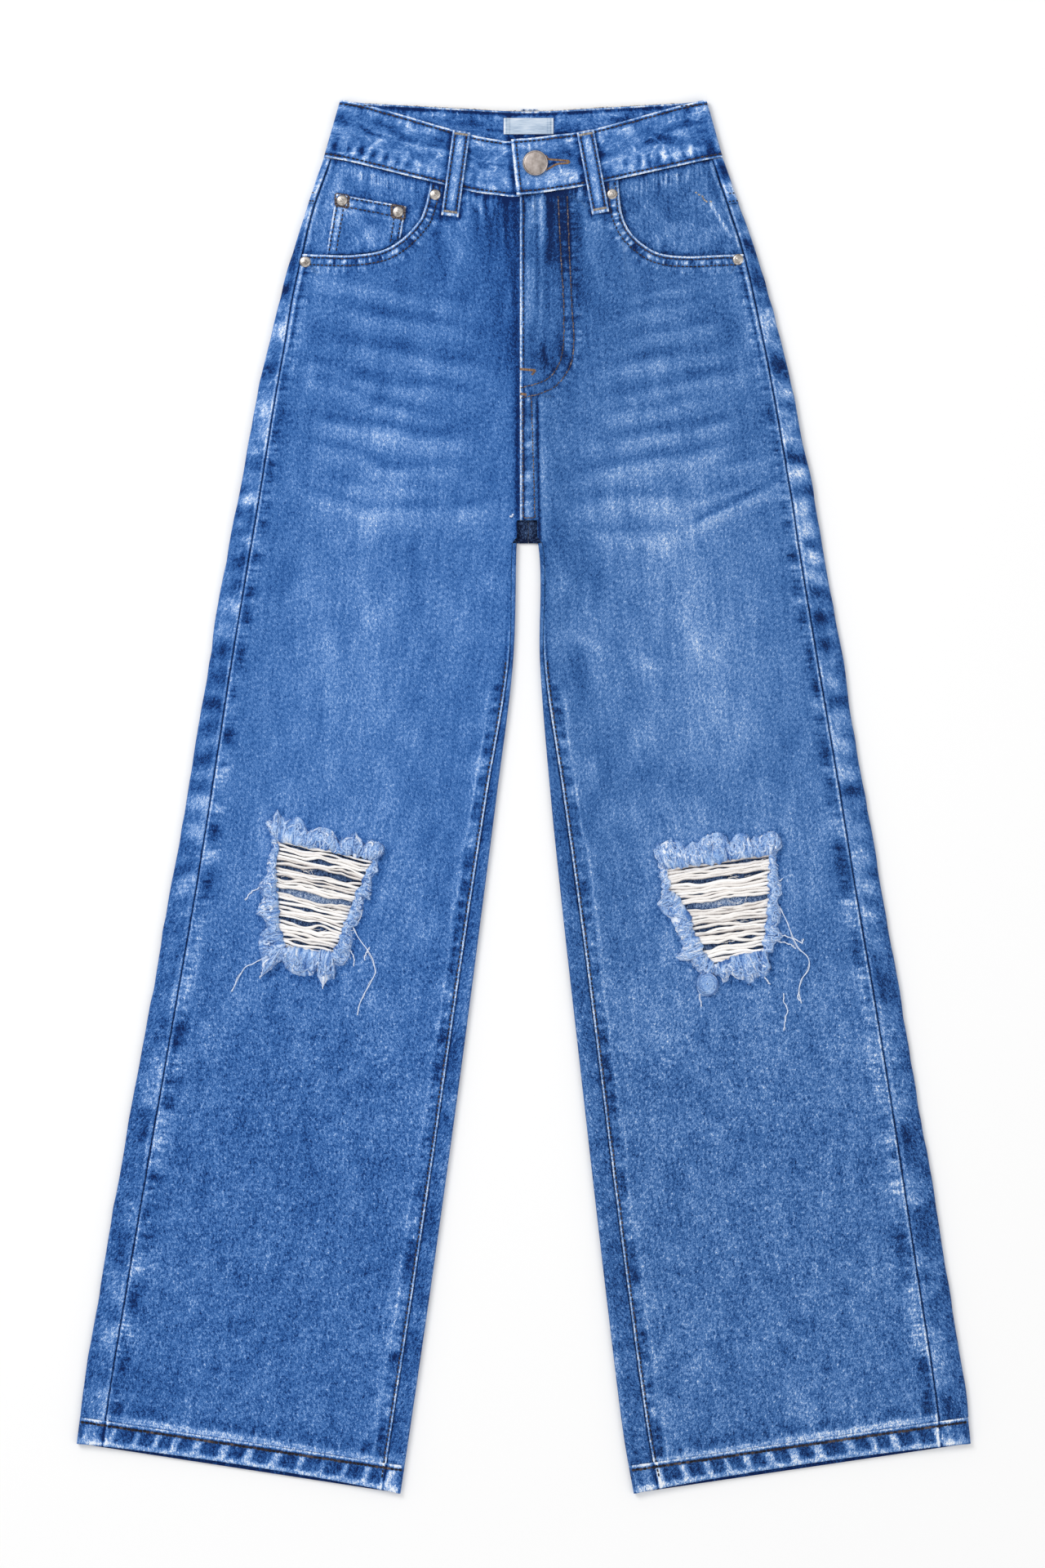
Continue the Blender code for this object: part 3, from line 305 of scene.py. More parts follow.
# Mesh fineness
FINE = np.array((0.0, 0.35, 0.8, 1.3, 1.9, 2.6, 3.4, 4.4, 5.6, 7.0, 8.6, 10.4, 12.4, 14.6))
MIDDLE_COLUMNS, MOUTH_SHARE = 70, 0.56
UPPER_ROWS, SEAT_ROWS, LAP_ROWS, LEG_ROWS = 44, 36, 8, 232
LAP_SHARES = np.array((0.0, 0.2, 0.4, 0.55, 0.68, 0.78, 0.86, 0.92, 0.965, 1.0))
BACK_CELL, ARC_CELLS = 5.4, 7

VERY_FAR, TINY, CURVE_STEPS = 1e9, 1e-9, 16
MOUTH_STEPS, WAIST_STEPS = 300, 200
# From the pocket mouth down to the plain rows, and of one row of the section table below them
UPPER_LENGTH, ROW_LENGTH = 165.0, 91.0
YOKE_PLACE_GAP = 0.004

# Where the lap's looks lie as the outseam and the inseam see it
LAP_FROM_OUTSEAM, LAP_FROM_INSEAM = 150.0, 40.0
SHADE_WAY = (2.2, -2.6)
BEHIND_KNEE = {"right": (-157.0, -75.0), "left": (150.0, -79.0)}
LAP_END_LINE = (450.0, 470.0, 490.0), (-5.0, -8.0, -9.5)   # y, and the x of the lap's end there
BUTTONHOLE_SLIT = ((17.5, 471.6), (23.5, 473.6))
BAND_ROWS = (0.06, 0.94)
LOOSE_END = ((127.8, 451.4), (132.0, 449.6), (135.4, 446.0), (139.8, 443.0))
FACING_SCRATCH = ((139.8, 443.0), (147.0, 431.0), (155.0, 419.0))
# Above this y the pocket mouth marks the cloth beside it, and below it the mouth is out of reach
MOUTH_REACHES, OUT_OF_REACH = 375.0, 999.0

# Seeds of the noise on each piece, right and left
SEEDS = {
    "front": (40, 60), "back": (90, 120), "yoke": (150, 170), "hem": (200, 220), "facing": (240, 250),
    "back pocket": (270, 280), "yarns": (400, 440), "fray": (500, 540),
}
rng = np.random.default_rng(7)


def seed_of(piece, side):
    return SEEDS[piece][SIDES.index(side)]


# Small maths


def smooth(value):
    value = np.clip(value, 0.0, 1.0)
    return value * value * (3.0 - 2.0 * value)


def bell(value):
    return np.exp(-np.square(value))


def band(value, place, width):
    """1 where the value is at a place, and fading away over a half width on both sides."""
    return bell((value - place) / width)


def bands(value, *terms):
    """The sum of bands over one value, each given as weight, place and half width."""
    return sum(weight * band(value, place, width) for weight, place, width in terms)


def spot(x, y, at, size):
    """1 at a place in plan, and fading away over half widths across and up."""
    return band(x, at[0], size[0]) * band(y, at[1], size[1])


def past(value, place, over):
    """0 up to a place, rising to 1 over a length."""
    return smooth((value - place) / over)


def before(value, place, over):
    """1 well before a place, falling to 0 at it over a length."""
    return smooth((place - value) / over)


def mix(start, end, share):
    return start + (end - start) * share


def unit(ways):
    """The same directions at length 1."""
    return ways / np.linalg.norm(ways, axis=-1, keepdims=True)


def round_angles(count):
    """Angles of equal steps round a circle."""
    return np.arange(count) * TURN / count


def noise(x, y=0.0, seed=0):
    """Smooth value noise from -1 to 1 with a feature size of 1."""
    x, y = np.broadcast_arrays(np.asarray(x, float), np.asarray(y, float))
    column, line = np.floor(x).astype(np.int64), np.floor(y).astype(np.int64)
    across, up = smooth(x - column), smooth(y - line)

    def corner(i, j):
        value = (i * 374761393 + j * 668265263 + seed * 974634777) & 0xFFFFFFFF
        value = ((value ^ (value >> 13)) * 1274126177) & 0xFFFFFFFF
        return ((value ^ (value >> 16)) & 0xFFFF) / 32767.5 - 1.0

    low = mix(corner(column, line), corner(column + 1, line), across)
    high = mix(corner(column, line + 1), corner(column + 1, line + 1), across)
    return mix(low, high, up)


def rough_noise(x, y=0.0, seed=0):
    return 0.65 * noise(x, y, seed) + 0.35 * noise(2.1 * x, 2.1 * y, seed + 31)


def step_lengths(points):
    return np.linalg.norm(np.diff(np.asarray(points, float), axis=0), axis=1)


def reach_of(points):
    """How far along a line each of its points lies."""
    return np.concatenate([[0.0], np.cumsum(step_lengths(points))])


def along_line(points, wanted):
    """Points of a line at the wanted distances along it."""
    points, reach = np.asarray(points, float), reach_of(points)
    return np.stack([np.interp(wanted, reach, values) for values in points.T], axis=1)


def curve(points, count):
    """count + 1 points on a Catmull-Rom curve through the given ones, evenly spaced along it."""
    points = np.asarray(points, float)
    padded = np.vstack([2 * points[0] - points[1], points, 2 * points[-1] - points[-2]])
    share = np.linspace(0, 1, CURVE_STEPS + 1)[:-1, None]
    parts = []
    for a, b, c, d in zip(padded, padded[1:], padded[2:], padded[3:]):
        parts.append(
            0.5 * (2 * b + (c - a) * share + (2 * a - 5 * b + 4 * c - d) * share**2
                   + (3 * b - a - 3 * c + d) * share**3)
        )
    return evenly(np.vstack([*parts, points[-1:]]), count)


def evenly(points, count):
    """The same line in count equal steps."""
    return along_line(points, np.linspace(0, reach_of(points)[-1], count + 1))


def line_length(points):
    return float(step_lengths(points).sum())


def closed(line):
    """The line with its first point once more at the end."""
    return np.vstack([line, line[:1]])


def near_line(line, x, y):
    """Distance to a line, and how far along it the nearest point lies."""
    best = np.full(np.shape(x), VERY_FAR)
    place = np.zeros(np.shape(x))
    walked = 0.0
    for (ax, ay), (bx, by) in zip(line, line[1:]):
        length = math.hypot(bx - ax, by - ay)
        share = np.clip(((x - ax) * (bx - ax) + (y - ay) * (by - ay)) / length**2, 0, 1)
        far = np.hypot(x - mix(ax, bx, share), y - mix(ay, by, share))
        closer = far < best
        best = np.where(closer, far, best)
        place = np.where(closer, walked + share * length, place)
        walked += length
    return best, place


def inside(outline, x, y):
    """Whether points lie inside an outline."""
    found = np.zeros(np.shape(x), bool)
    for (ax, ay), (bx, by) in zip(outline, outline[1:] + outline[:1]):
        crosses = (ay > y) != (by > y)
        found ^= crosses & (x < (bx - ax) * (y - ay) / (by - ay + 1e-12) + ax)
    return found


# Sections of the garment


def section(side, place):
    """Columns of the section table at places counted in rows, on a smooth curve."""
    rows = SECTIONS[side]
    place = np.atleast_1d(np.asarray(place, float))
    first = np.clip(place.astype(int), 0, len(rows) - 2)
    share = (place - first)[:, None]

    def slope(index):
        low, high = np.maximum(index - 1, 0), np.minimum(index + 1, len(rows) - 1)
        return (rows[high] - rows[low]) / (rows[high, 1] - rows[low, 1])[:, None]

    start, end = rows[first], rows[first + 1]
    step = (end[:, 1] - start[:, 1])[:, None]
    leave, arrive, rise = slope(first) * step, slope(first + 1) * step, end - start
    values = (start + leave * share + (3 * rise - 2 * leave - arrive) * share**2
              + (leave + arrive - 2 * rise) * share**3)
    return dict(zip(ROW_FIELDS, values.T))


def ends_of(side, place):
    """Outer edge, inner edge and the direction between them at places of the section table, and its rows."""
    row = section(side, place)
    outer = np.stack([row["out_x"], row["out_y"]], axis=1)
    inner = np.stack([row["in_x"], row["in_y"]], axis=1)
    return outer, inner, unit(inner - outer), row


def outseam(side, place, clear=0.0):
    outer, _, inward, row = ends_of(side, place)
    return outer + inward * (row["outseam"] + clear)[:, None]


def inseam(side, place, clear=0.0):
    _, inner, inward, row = ends_of(side, place)
    return inner - inward * (row["inseam"] + clear)[:, None]


def lift(y):
    """How far the leg's underside stands off the surface."""
    return BACK_LIFT * past(y, LIFT_STARTS, LIFT_ENDS - LIFT_STARTS)


def depth(y):
    """Height of the flat tube of a leg."""
    return mix(LEG_DEPTH, SEAT_DEPTH, past(y, LIFT_STARTS, LIFT_ENDS - LIFT_STARTS))


def inner_gap(y):
    """Clear height between the front and the back cloth in the middle of a leg."""
    seat = (SEAT_GAP - LEG_GAP) * past(y, LIFT_STARTS, SEAT_GAP_ENDS - LIFT_STARTS)
    hem = (HEM_GAP - LEG_GAP) * before(y, HEM_GAP_STARTS, HEM_GAP_STARTS - HEM_GAP_ENDS)
    return LEG_GAP + seat + hem


def creases(table, x, y):
    """Height and paleness of creases: each dies away below, and is crisp beside a trough above, darkened by
    painted shade.
    """
    height, pale = np.zeros(np.shape(x)), np.zeros(np.shape(x))
    for number, crease in enumerate(table):
        turn = math.radians(crease.turn)
        along = (x - crease.x) * math.cos(turn) + (y - crease.y) * math.sin(turn)
        across = (y - crease.y) * math.cos(turn) - (x - crease.x) * math.sin(turn)
        across = across + 2.2 * noise(along / 26.0, number, 5) + 4.0 * (along / crease.length) ** 2
        ends = 1.0 - past(np.abs(along), crease.length * 0.22, crease.length * 0.34)
        patchy = 0.8 + 0.35 * noise(along / 15.0, number, 9)
        ridge = bell(across / crease.width) * ends
        worn = bell(across / (crease.width * np.where(across < 0, 1.7, 0.8))) * ends
        trough = band(across, 1.45 * crease.width, 0.75 * crease.width) * ends
        height += crease.height * ridge
        pale += crease.pale * patchy * (1.3 * worn - 0.95 * trough)
    return height, pale


# Meshes and objects


def quads_of(index, wrap=False):
    """Corners of each cell of a grid of point numbers; a wrapped grid joins its last column to its first."""
    if wrap:
        index = np.concatenate([index, index[..., :1]], axis=-1)
    corners = [index[..., :-1, :-1], index[..., :-1, 1:], index[..., 1:, 1:], index[..., 1:, :-1]]
    return np.stack(corners, axis=-1)


def turned_shell(points, shape):
    """Faces of rings of points round an axis, closed by a cap at the first ring and at the last."""
    index = np.arange(len(points)).reshape(shape)
    quads = quads_of(index, wrap=True)[..., (0, 3, 2, 1)].reshape(-1, 4)
    return quads.tolist() + [index[0].tolist(), index[-1, ::-1].tolist()]


def normals_up(points, faces):
    """Whether the faces look up on the whole."""
    a, b, c = (points[faces[:, k]] for k in (0, 1, 2))
    return np.cross(b - a, c - a)[:, 2].sum() > 0


class Cloth:
    """Grids of points in millimetres that become one surface, with the looks of each point: its places on
    the weave and beside the nearest seam, its fading and painted shade, and how puckered and how marbled it
    is."""

    def __init__(self, name):
        self.name, self.points, self.faces, self.count = name, [], [], 0
        self.looks = {"weave": [], "seam": [], "fade_and_shade": [], "pucker": [], "marble": []}

    def add(self, points, weave, fade_and_shade, seam=None, pucker=0.0, marble=0.0, keep=None, flip=False, wrap=False):
        rows, columns = points.shape[:2]
        quads = quads_of(np.arange(rows * columns).reshape(rows, columns) + self.count, wrap)
        quads = quads[keep] if keep is not None else quads.reshape(-1, 4)
        self.faces.append(quads[:, ::-1] if flip else quads)
        self.points.append(points.reshape(-1, 3))
        self.looks["weave"].append(weave.reshape(-1, 2))
        self.looks["seam"].append((weave if seam is None else seam).reshape(-1, 2))
        for name, values in (("fade_and_shade", fade_and_shade), ("pucker", pucker), ("marble", marble)):
            self.looks[name].append(np.broadcast_to(values, (rows, columns)).reshape(-1))
        self.count += rows * columns

    def finish(self):
        """Welds shared edges and drops unused points."""
        points, faces = np.vstack(self.points), np.vstack(self.faces)
        _, first, merged = np.unique(np.round(points, 3), axis=0, return_index=True, return_inverse=True)
        faces = merged.reshape(-1)[faces]
        used, index = np.unique(faces, return_inverse=True)
        pick = first[used]
        looks = {name: np.concatenate(values)[pick] for name, values in self.looks.items()}
        return points[pick], index.reshape(faces.shape), looks

    def face(self, up):
        """Turns the outer face up or down."""
        points, faces, _ = self.finish()
        if normals_up(points, faces) != up:
            self.faces = [block[:, ::-1] for block in self.faces]


SURFACES = []   # points and faces of every outer cloth surface, for seating stitches on them


def mesh_object(name, points, faces, material, inside_material=None):
    """A smooth-shaded object from points in millimetres."""
    mesh = bpy.data.meshes.new(name)
    mesh.from_pydata((points * MM).tolist(), [], faces.tolist() if hasattr(faces, "tolist") else faces)
    mesh.materials.append(material)
    if inside_material:
        mesh.materials.append(inside_material)
    mesh.shade_smooth()
    made = bpy.data.objects.new(name, mesh)
    bpy.context.scene.collection.objects.link(made)
    return made


def attribute(made, name, values):
    """Gives each point of an object a number or a pair of numbers."""
    if values.ndim == 2:
        layer = made.data.attributes.new(name, "FLOAT_VECTOR", "POINT")
        vectors = np.column_stack([values, np.zeros(len(values))])
        layer.data.foreach_set("vector", np.ravel(vectors).astype(np.float32))
    else:
        layer = made.data.attributes.new(name, "FLOAT", "POINT")
        layer.data.foreach_set("value", values.astype(np.float32))


def thicken(made, wall):
    """Gives a surface its cloth's thickness, downwards from the outer face."""
    shell = made.modifiers.new("wall", "SOLIDIFY")
    shell.thickness = wall * MM
    shell.offset = -1.0
    return shell


def stand_for(made, slot, node=None):
    """Fixes a piece to the body and hides the CAD node that it replaces. Its slot is not used."""
    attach(made, "root")
    if node:
        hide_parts(node)


def cloth_object(cloth, outside, lining, wall, node):
    """A solidified cloth shell that stands for a CAD node."""
    points, faces, looks = cloth.finish()
    made = mesh_object(cloth.name, points, faces, outside, lining)
    for name, values in looks.items():
        attribute(made, name, values)
    thicken(made, wall).material_offset = 1
    SURFACES.append((points, faces))
    stand_for(made, "denim", node)
    return made


# Materials


def node_of(tree, kind, **settings):
    made = tree.nodes.new(kind)
    for key, value in settings.items():
        setattr(made, key, value)
    return made


class Shade:
    """Short forms for building one material's nodes."""

    def __init__(self, name, roughness, sheen=0.0, metallic=0.0):
        self.material = bpy.data.materials.new(name)
        self.material.use_nodes = True
        self.tree = self.material.node_tree
        self.shader = self.tree.nodes["Principled BSDF"]
        for socket, value in (
            ("Roughness", roughness), ("Metallic", metallic), ("Sheen Weight", sheen),
            ("Sheen Roughness", 0.5),
            ("Specular IOR Level", 0.5 if metallic else 0.1),
        ):
            self.shader.inputs[socket].default_value = value

    def link(self, start, end):
        self.tree.links.new(start, end)

    def attribute(self, name, output="Fac"):
        return node_of(self.tree, "ShaderNodeAttribute", attribute_name=name).outputs[output]

    def object_place(self):
        return node_of(self.tree, "ShaderNodeTexCoord").outputs["Object"]

    def scaled(self, vector, factors):
        made = node_of(self.tree, "ShaderNodeVectorMath", operation="MULTIPLY")
        self.link(vector, made.inputs[0])
        made.inputs[1].default_value = factors
        return made.outputs[0]

    def part(self, vector, axis):
        made = node_of(self.tree, "ShaderNodeSeparateXYZ")
        self.link(vector, made.inputs[0])
        return made.outputs[axis]

    def turned(self, vector, angle):
        made = node_of(self.tree, "ShaderNodeVectorRotate", rotation_type="Z_AXIS")
        self.link(vector, made.inputs["Vector"])
        made.inputs["Angle"].default_value = angle
        return made.outputs[0]

    def stretched(self, socket, low, high):
        """0 at the low value and 1 at the high one, clamped."""
        made = node_of(self.tree, "ShaderNodeMapRange")
        self.link(socket, made.inputs["Value"])
        made.inputs["From Min"].default_value, made.inputs["From Max"].default_value = low, high
        return made.outputs[0]

    def noise(self, vector, scales, detail=2.0, roughness=0.5):
        """Noise over a vector, with its own scale on each axis."""
        vector = self.scaled(vector, scales)
        made = node_of(self.tree, "ShaderNodeTexNoise")
        self.link(vector, made.inputs["Vector"])
        made.inputs["Scale"].default_value = 1.0
        made.inputs["Detail"].default_value = detail
        made.inputs["Roughness"].default_value = roughness
        return made.outputs["Fac"]

    def warped(self, vector, scale, amount):
        """The vector pushed about by noise."""
        bend = node_of(self.tree, "ShaderNodeTexNoise")
        self.link(vector, bend.inputs["Vector"])
        bend.inputs["Scale"].default_value = scale
        made = node_of(self.tree, "ShaderNodeVectorMath", operation="MULTIPLY_ADD")
        self.link(bend.outputs["Color"], made.inputs[0])
        made.inputs[1].default_value = (amount,) * 3
        self.link(vector, made.inputs[2])
        return made.outputs[0]

    def cell_edges(self, vector, thin):
        """1 on the edges of a cell pattern, and 0 from the given distance away."""
        made = node_of(self.tree, "ShaderNodeTexVoronoi", feature="DISTANCE_TO_EDGE")
        self.link(vector, made.inputs["Vector"])
        made.inputs["Scale"].default_value = 1.0
        return self.stretched(made.outputs["Distance"], thin, 0.0)

    def times(self, first, second):
        made = node_of(self.tree, "ShaderNodeMath", operation="MULTIPLY")
        self.link(first, made.inputs[0])
        if isinstance(second, float):
            made.inputs[1].default_value = second
        else:
            self.link(second, made.inputs[1])
        return made.outputs[0]

    def sum(self, base, *terms):
        """A base value plus terms of socket, weight and the socket value at which the term adds nothing."""
        total = base
        for socket, weight, centre in terms:
            made = node_of(self.tree, "ShaderNodeMath", operation="MULTIPLY_ADD")
            self.link(socket, made.inputs[0])
            made.inputs[1].default_value = weight
            if isinstance(total, float):
                made.inputs[2].default_value = total - weight * centre
            else:
                shift = node_of(self.tree, "ShaderNodeMath", operation="SUBTRACT")
                self.link(total, shift.inputs[0])
                shift.inputs[1].default_value = weight * centre
                self.link(shift.outputs[0], made.inputs[2])
            total = made.outputs[0]
        return total

    def ramp(self, factor, stops):
        """Colours the material by a ramp."""
        made = node_of(self.tree, "ShaderNodeValToRGB")
        elements = made.color_ramp.elements
        elements[0].position, elements[1].position = stops[0][0], stops[-1][0]
        for place, _ in stops[1:-1]:
            elements.new(place)
        for element, (_, colour) in zip(elements, stops):
            element.color = (*colour, 1.0)
        self.link(factor, made.inputs[0])
        self.link(made.outputs[0], self.shader.inputs["Base Color"])

    def bump(self, height, distance, strength):
        made = node_of(self.tree, "ShaderNodeBump")
        made.inputs["Strength"].default_value = strength
        made.inputs["Distance"].default_value = distance
        self.link(height, made.inputs["Height"])
        self.link(made.outputs[0], self.shader.inputs["Normal"])


def srgb(red, green, blue):
    """A colour seen on screen as the linear values a shader takes."""
    shares = (red / 255, green / 255, blue / 255)
    return tuple(c / 12.92 if c <= 10 / 255 else ((c + 0.055) / 1.055) ** 2.4 for c in shares)


TWILL_LEAN = -0.32
WASH = (
    (0.0, 6, 32, 82), (0.198, 26, 70, 134), (0.378, 52, 99, 163), (0.54, 78, 122, 184),
    (0.702, 120, 157, 211),
    (0.84, 166, 192, 230), (1.0, 228, 236, 248),
)
def ramp_of(*rows):
    """Stops of a colour ramp from rows of place, red, green and blue."""
    return tuple((place, srgb(*colour)) for place, *colour in rows)


WASHED = ramp_of(*WASH)
GREYER = ramp_of(*((place, red + 3, green, blue - 5) for place, red, green, blue in WASH))


def denim(name, tone, contrast=1.0, blotch=0.1, stops=WASHED):
    """Washed twill: flecks, warp streaks, white weft specks and fine ribs, with the painted fading and
    painted shade, seam puckers and marbling."""
    shade = Shade(name, 0.88, sheen=0.06)
    weave, fade_and_shade = shade.attribute("weave", "Vector"), shade.attribute("fade_and_shade")
    twill = shade.turned(weave, TWILL_LEAN)
    flecks = shade.noise(twill, (0.66, 0.36, 1.0), 3.0, 0.75)
    grit = shade.noise(weave, (1.3, 0.9, 1.0), 2.0, 0.7)
    streaks = shade.noise(weave, (0.30, 0.030, 1.0), 2.0, 0.6)
    clouds = shade.noise(weave, (0.055, 0.035, 1.0), 4.0, 0.6)
    specks = shade.stretched(shade.noise(twill, (0.95, 0.5, 1.0), 2.0, 0.8), 0.60, 0.74)
    rib = node_of(shade.tree, "ShaderNodeTexWave", wave_type="BANDS", bands_direction="DIAGONAL")
    shade.link(shade.scaled(weave, (1.0, 1.0, 0.0)), rib.inputs["Vector"])
    for socket, value in (("Scale", 0.34), ("Distortion", 1.2), ("Detail", 1.0)):
        rib.inputs[socket].default_value = value
    ribs = rib.outputs["Fac"]
    # Short folds across the nearest seam
    seam, pucker = shade.attribute("seam", "Vector"), shade.attribute("pucker")
    folds = shade.stretched(shade.noise(seam, (0.27, 0.05, 1.0), 2.0, 0.6), 0.36, 0.64)
    folded = shade.times(pucker, folds)
    # Cloudy marbling with thin pale cracks
    clots = shade.stretched(shade.noise(weave, (0.085, 0.065, 1.0), 2.0, 0.55), 0.34, 0.66)
    lines = shade.cell_edges(shade.warped(shade.scaled(weave, (0.075, 0.055, 0.0)), 1.6, 0.55), 0.075)
    patches = shade.stretched(shade.noise(weave, (0.045, 0.05, 1.0), 1.0), 0.44, 0.58)
    marbling = shade.sum(0.0, (clots, 1.0, 0.5), (shade.times(lines, patches), 0.8, 0.08))
    marbled = shade.times(shade.attribute("marble"), marbling)
    # Pale edges are broken up
    edge = shade.stretched(fade_and_shade, 0.24, 0.60)
    ragged = shade.stretched(shade.noise(weave, (0.42, 0.42, 1.0), 2.0, 0.7), 0.36, 0.64)
    broken = shade.times(edge, ragged)
    # The grain grows coarser down the legs
    worn = shade.sum(0.0, (shade.noise(twill, (0.20, 0.13, 1.0), 3.0, 0.6), 1.0, 0.5))
    low = shade.stretched(shade.part(weave, "Y"), 20.0, -200.0)
    grain = shade.sum(0.0, (flecks, 1.18 * contrast, 0.5), (grit, 0.80 * contrast, 0.5))
    factor = shade.sum(
        tone, (fade_and_shade, 1.0, 0.0), (grain, 1.12, 0.0), (shade.times(grain, low), 0.44, 0.0),
        (shade.times(worn, low), 0.62, 0.0), (streaks, 0.34 * contrast, 0.5), (clouds, blotch * 3, 0.5),
        (specks, 0.10 * contrast, 0.1), (ribs, 0.05, 0.5), (folded, 2.0, 0.0), (pucker, -1.0, 0.0),
        (marbled, 1.0, 0.0), (broken, 0.42, 0.0), (edge, -0.30, 0.0),
    )
    shade.ramp(shade.times(factor, 0.9), stops)
    relief = ((flecks, 0.8, 0.0), (grit, 0.8, 0.0), (ribs, 0.4, 0.0), (folded, 4.0, 0.0), (marbled, 1.2, 0.0))
    shade.bump(shade.sum(0.0, *relief), 0.5 * MM, 0.6)
    return shade.material


def plain_fibre(name, stops, tone=0.5, spread=0.7, grain=0.35, relief=0.3):
    """Yarn or thread: its colour runs over a ramp by strand and by small noise."""
    shade = Shade(name, 0.85, sheen=0.15)
    grit = shade.noise(shade.object_place(), (0.9 / MM,) * 3)
    shade.ramp(shade.sum(tone, (shade.attribute("tone"), spread, 0.5), (grit, grain, 0.5)), stops)
    shade.bump(grit, relief * MM, 0.5)
    return shade.material


def metal(name, stops, roughness, grain):
    """Worn metal, brushed along its longest grain, with a cloudy patina."""
    shade = Shade(name, roughness, metallic=1.0)
    place = shade.object_place()
    brushed = shade.noise(place, tuple(g / MM for g in grain), 3.0, 0.7)
    patina = shade.noise(place, (0.28 / MM,) * 3, 3.0)
    shade.ramp(shade.sum(0.5, (brushed, 0.5, 0.5), (patina, 0.9, 0.5)), stops)
    shade.link(shade.sum(roughness, (patina, 0.35, 0.5)), shade.shader.inputs["Roughness"])
    shade.bump(brushed, 0.1 * MM, 0.35)
    return shade.material


INNER = ramp_of((0.0, 6, 18, 48), (0.40, 72, 98, 140), (0.63, 128, 150, 184), (1.0, 205, 214, 228))
DENIM = denim("denim_outside", 0.49, blotch=0.13)
LEG_DENIM = {"right": DENIM, "left": denim("denim_outside_left", 0.49, blotch=0.13, stops=GREYER)}
BAND_DENIM = denim("denim_waistband", 0.52, contrast=0.9, blotch=0.12)
BAND_INSIDE = denim("denim_band_inside", 0.35, blotch=0.12)
INSIDE = denim("denim_inside", 0.44, contrast=1.3, blotch=0.06, stops=INNER)
# A darker copy of the denim for the hem's inner face: painted shade inside the leg's opening
HEM_INSIDE_PAINTED_SHADE = denim("denim_hem_inside_painted_shade", 0.20, blotch=0.06)
THREAD = plain_fibre(
    "thread_brown", ramp_of((0.0, 12, 12, 22), (0.5, 38, 33, 42), (1.0, 98, 84, 82)), spread=0.9)
HEM_THREAD = plain_fibre(
    "thread_hem", ramp_of((0.0, 12, 12, 22), (0.5, 40, 34, 42), (0.82, 112, 98, 92), (1.0, 182, 170, 156)),
    tone=0.38, spread=1.15)
BEIGE = plain_fibre(
    "thread_beige", ramp_of((0.0, 96, 88, 84), (0.5, 160, 150, 138), (1.0, 216, 208, 194)), spread=0.9)
TAN = plain_fibre(
    "thread_tan", ramp_of((0.0, 34, 32, 40), (0.5, 86, 74, 74), (1.0, 158, 142, 132)), spread=1.0)
GOLD = plain_fibre("thread_gold", ramp_of((0.0, 60, 46, 40), (0.5, 134, 104, 80), (1.0, 196, 164, 128)))
ECRU = plain_fibre(
    "weft_yarn", ramp_of((0.0, 158, 150, 148), (0.36, 230, 225, 221), (1.0, 254, 252, 250)),
    tone=0.66, spread=0.85)
FRAY = plain_fibre(
    "frayed_warp", ramp_of(
        (0.0, 44, 84, 150), (0.28, 92, 134, 196), (0.55, 146, 180, 226), (0.8, 192, 212, 242),
        (1.0, 236, 242, 252)),
    tone=0.56, spread=0.98, grain=0.9, relief=1.0)
LOOSE = plain_fibre("loose_yarn", ramp_of((0.0, 150, 174, 216), (0.5, 208, 221, 242), (1.0, 250, 252, 255)))


# Fronts


def waist_line():
    low = [BAND_SIDE["right"][:2]] + [s[:2] for s in BAND_FRONT["right"][::-1]]
    low += [s[:2] for s in BAND_FRONT["left"][1:]] + [BAND_SIDE["left"][:2]]
    return curve(low, 240)


WAIST_LINE = waist_line()


def waist_low(x):
    return np.interp(x, WAIST_LINE[:, 0], WAIST_LINE[:, 1])


def mouth_line(side, count=70):
    return curve(np.vstack([outseam(side, MOUTH_PLACE, SEAM_GAP / 2), POCKET_MOUTH[side]]), count)


def front_columns(start, end, middle):
    """Rows of points from start to end: close together near both ends, by shares of the rest between."""
    way = end - start
    length = np.linalg.norm(way, axis=1)[:, None]
    rest = FINE[-1] + (length - 2 * FINE[-1]) * middle[None]
    reach = np.hstack([np.broadcast_to(FINE, (len(start), len(FINE))), rest, length - FINE[::-1]])
    return start[:, None] + (way / length)[:, None] * reach[..., None]


def front_top(side):
    """Points along the top of the front: from the outseam along the pocket mouth, then along the waist."""
    mouth = mouth_line(side, MOUTH_STEPS)
    x = np.linspace(mouth[-1, 0], CROTCH_LINE[side], WAIST_STEPS)[1:]
    edge = np.vstack([mouth, np.column_stack([x, waist_low(x) - SEAM_GAP])])
    edge[MOUTH_STEPS, 1] = waist_low(edge[MOUTH_STEPS, 0]) - SEAM_GAP
    reach = reach_of(edge)
    corner, split = reach[MOUTH_STEPS], int(MIDDLE_COLUMNS * MOUTH_SHARE)
    return along_line(edge, np.concatenate([
        FINE, np.linspace(FINE[-1], corner, split + 1)[1:],
        np.linspace(corner, reach[-1] - FINE[-1], MIDDLE_COLUMNS - split + 1)[1:-1], reach[-1] - FINE[::-1],
    ]))


def front_rows(side, place, middle):
    """Rows of the front below the pocket mouth: from outseam to centre front, and lower to the inseam."""
    crotch = np.column_stack([np.full(len(place), CROTCH_LINE[side]), section(side, place)["in_y"]])
    to_leg = smooth((place - LAP_PLACE) / (CROTCH_PLACE - LAP_PLACE) * 3.4 - 2.4)[:, None]
    inner = mix(crotch, inseam(side, place, SEAM_GAP / 2), to_leg)
    return front_columns(outseam(side, place, SEAM_GAP / 2), inner, middle)


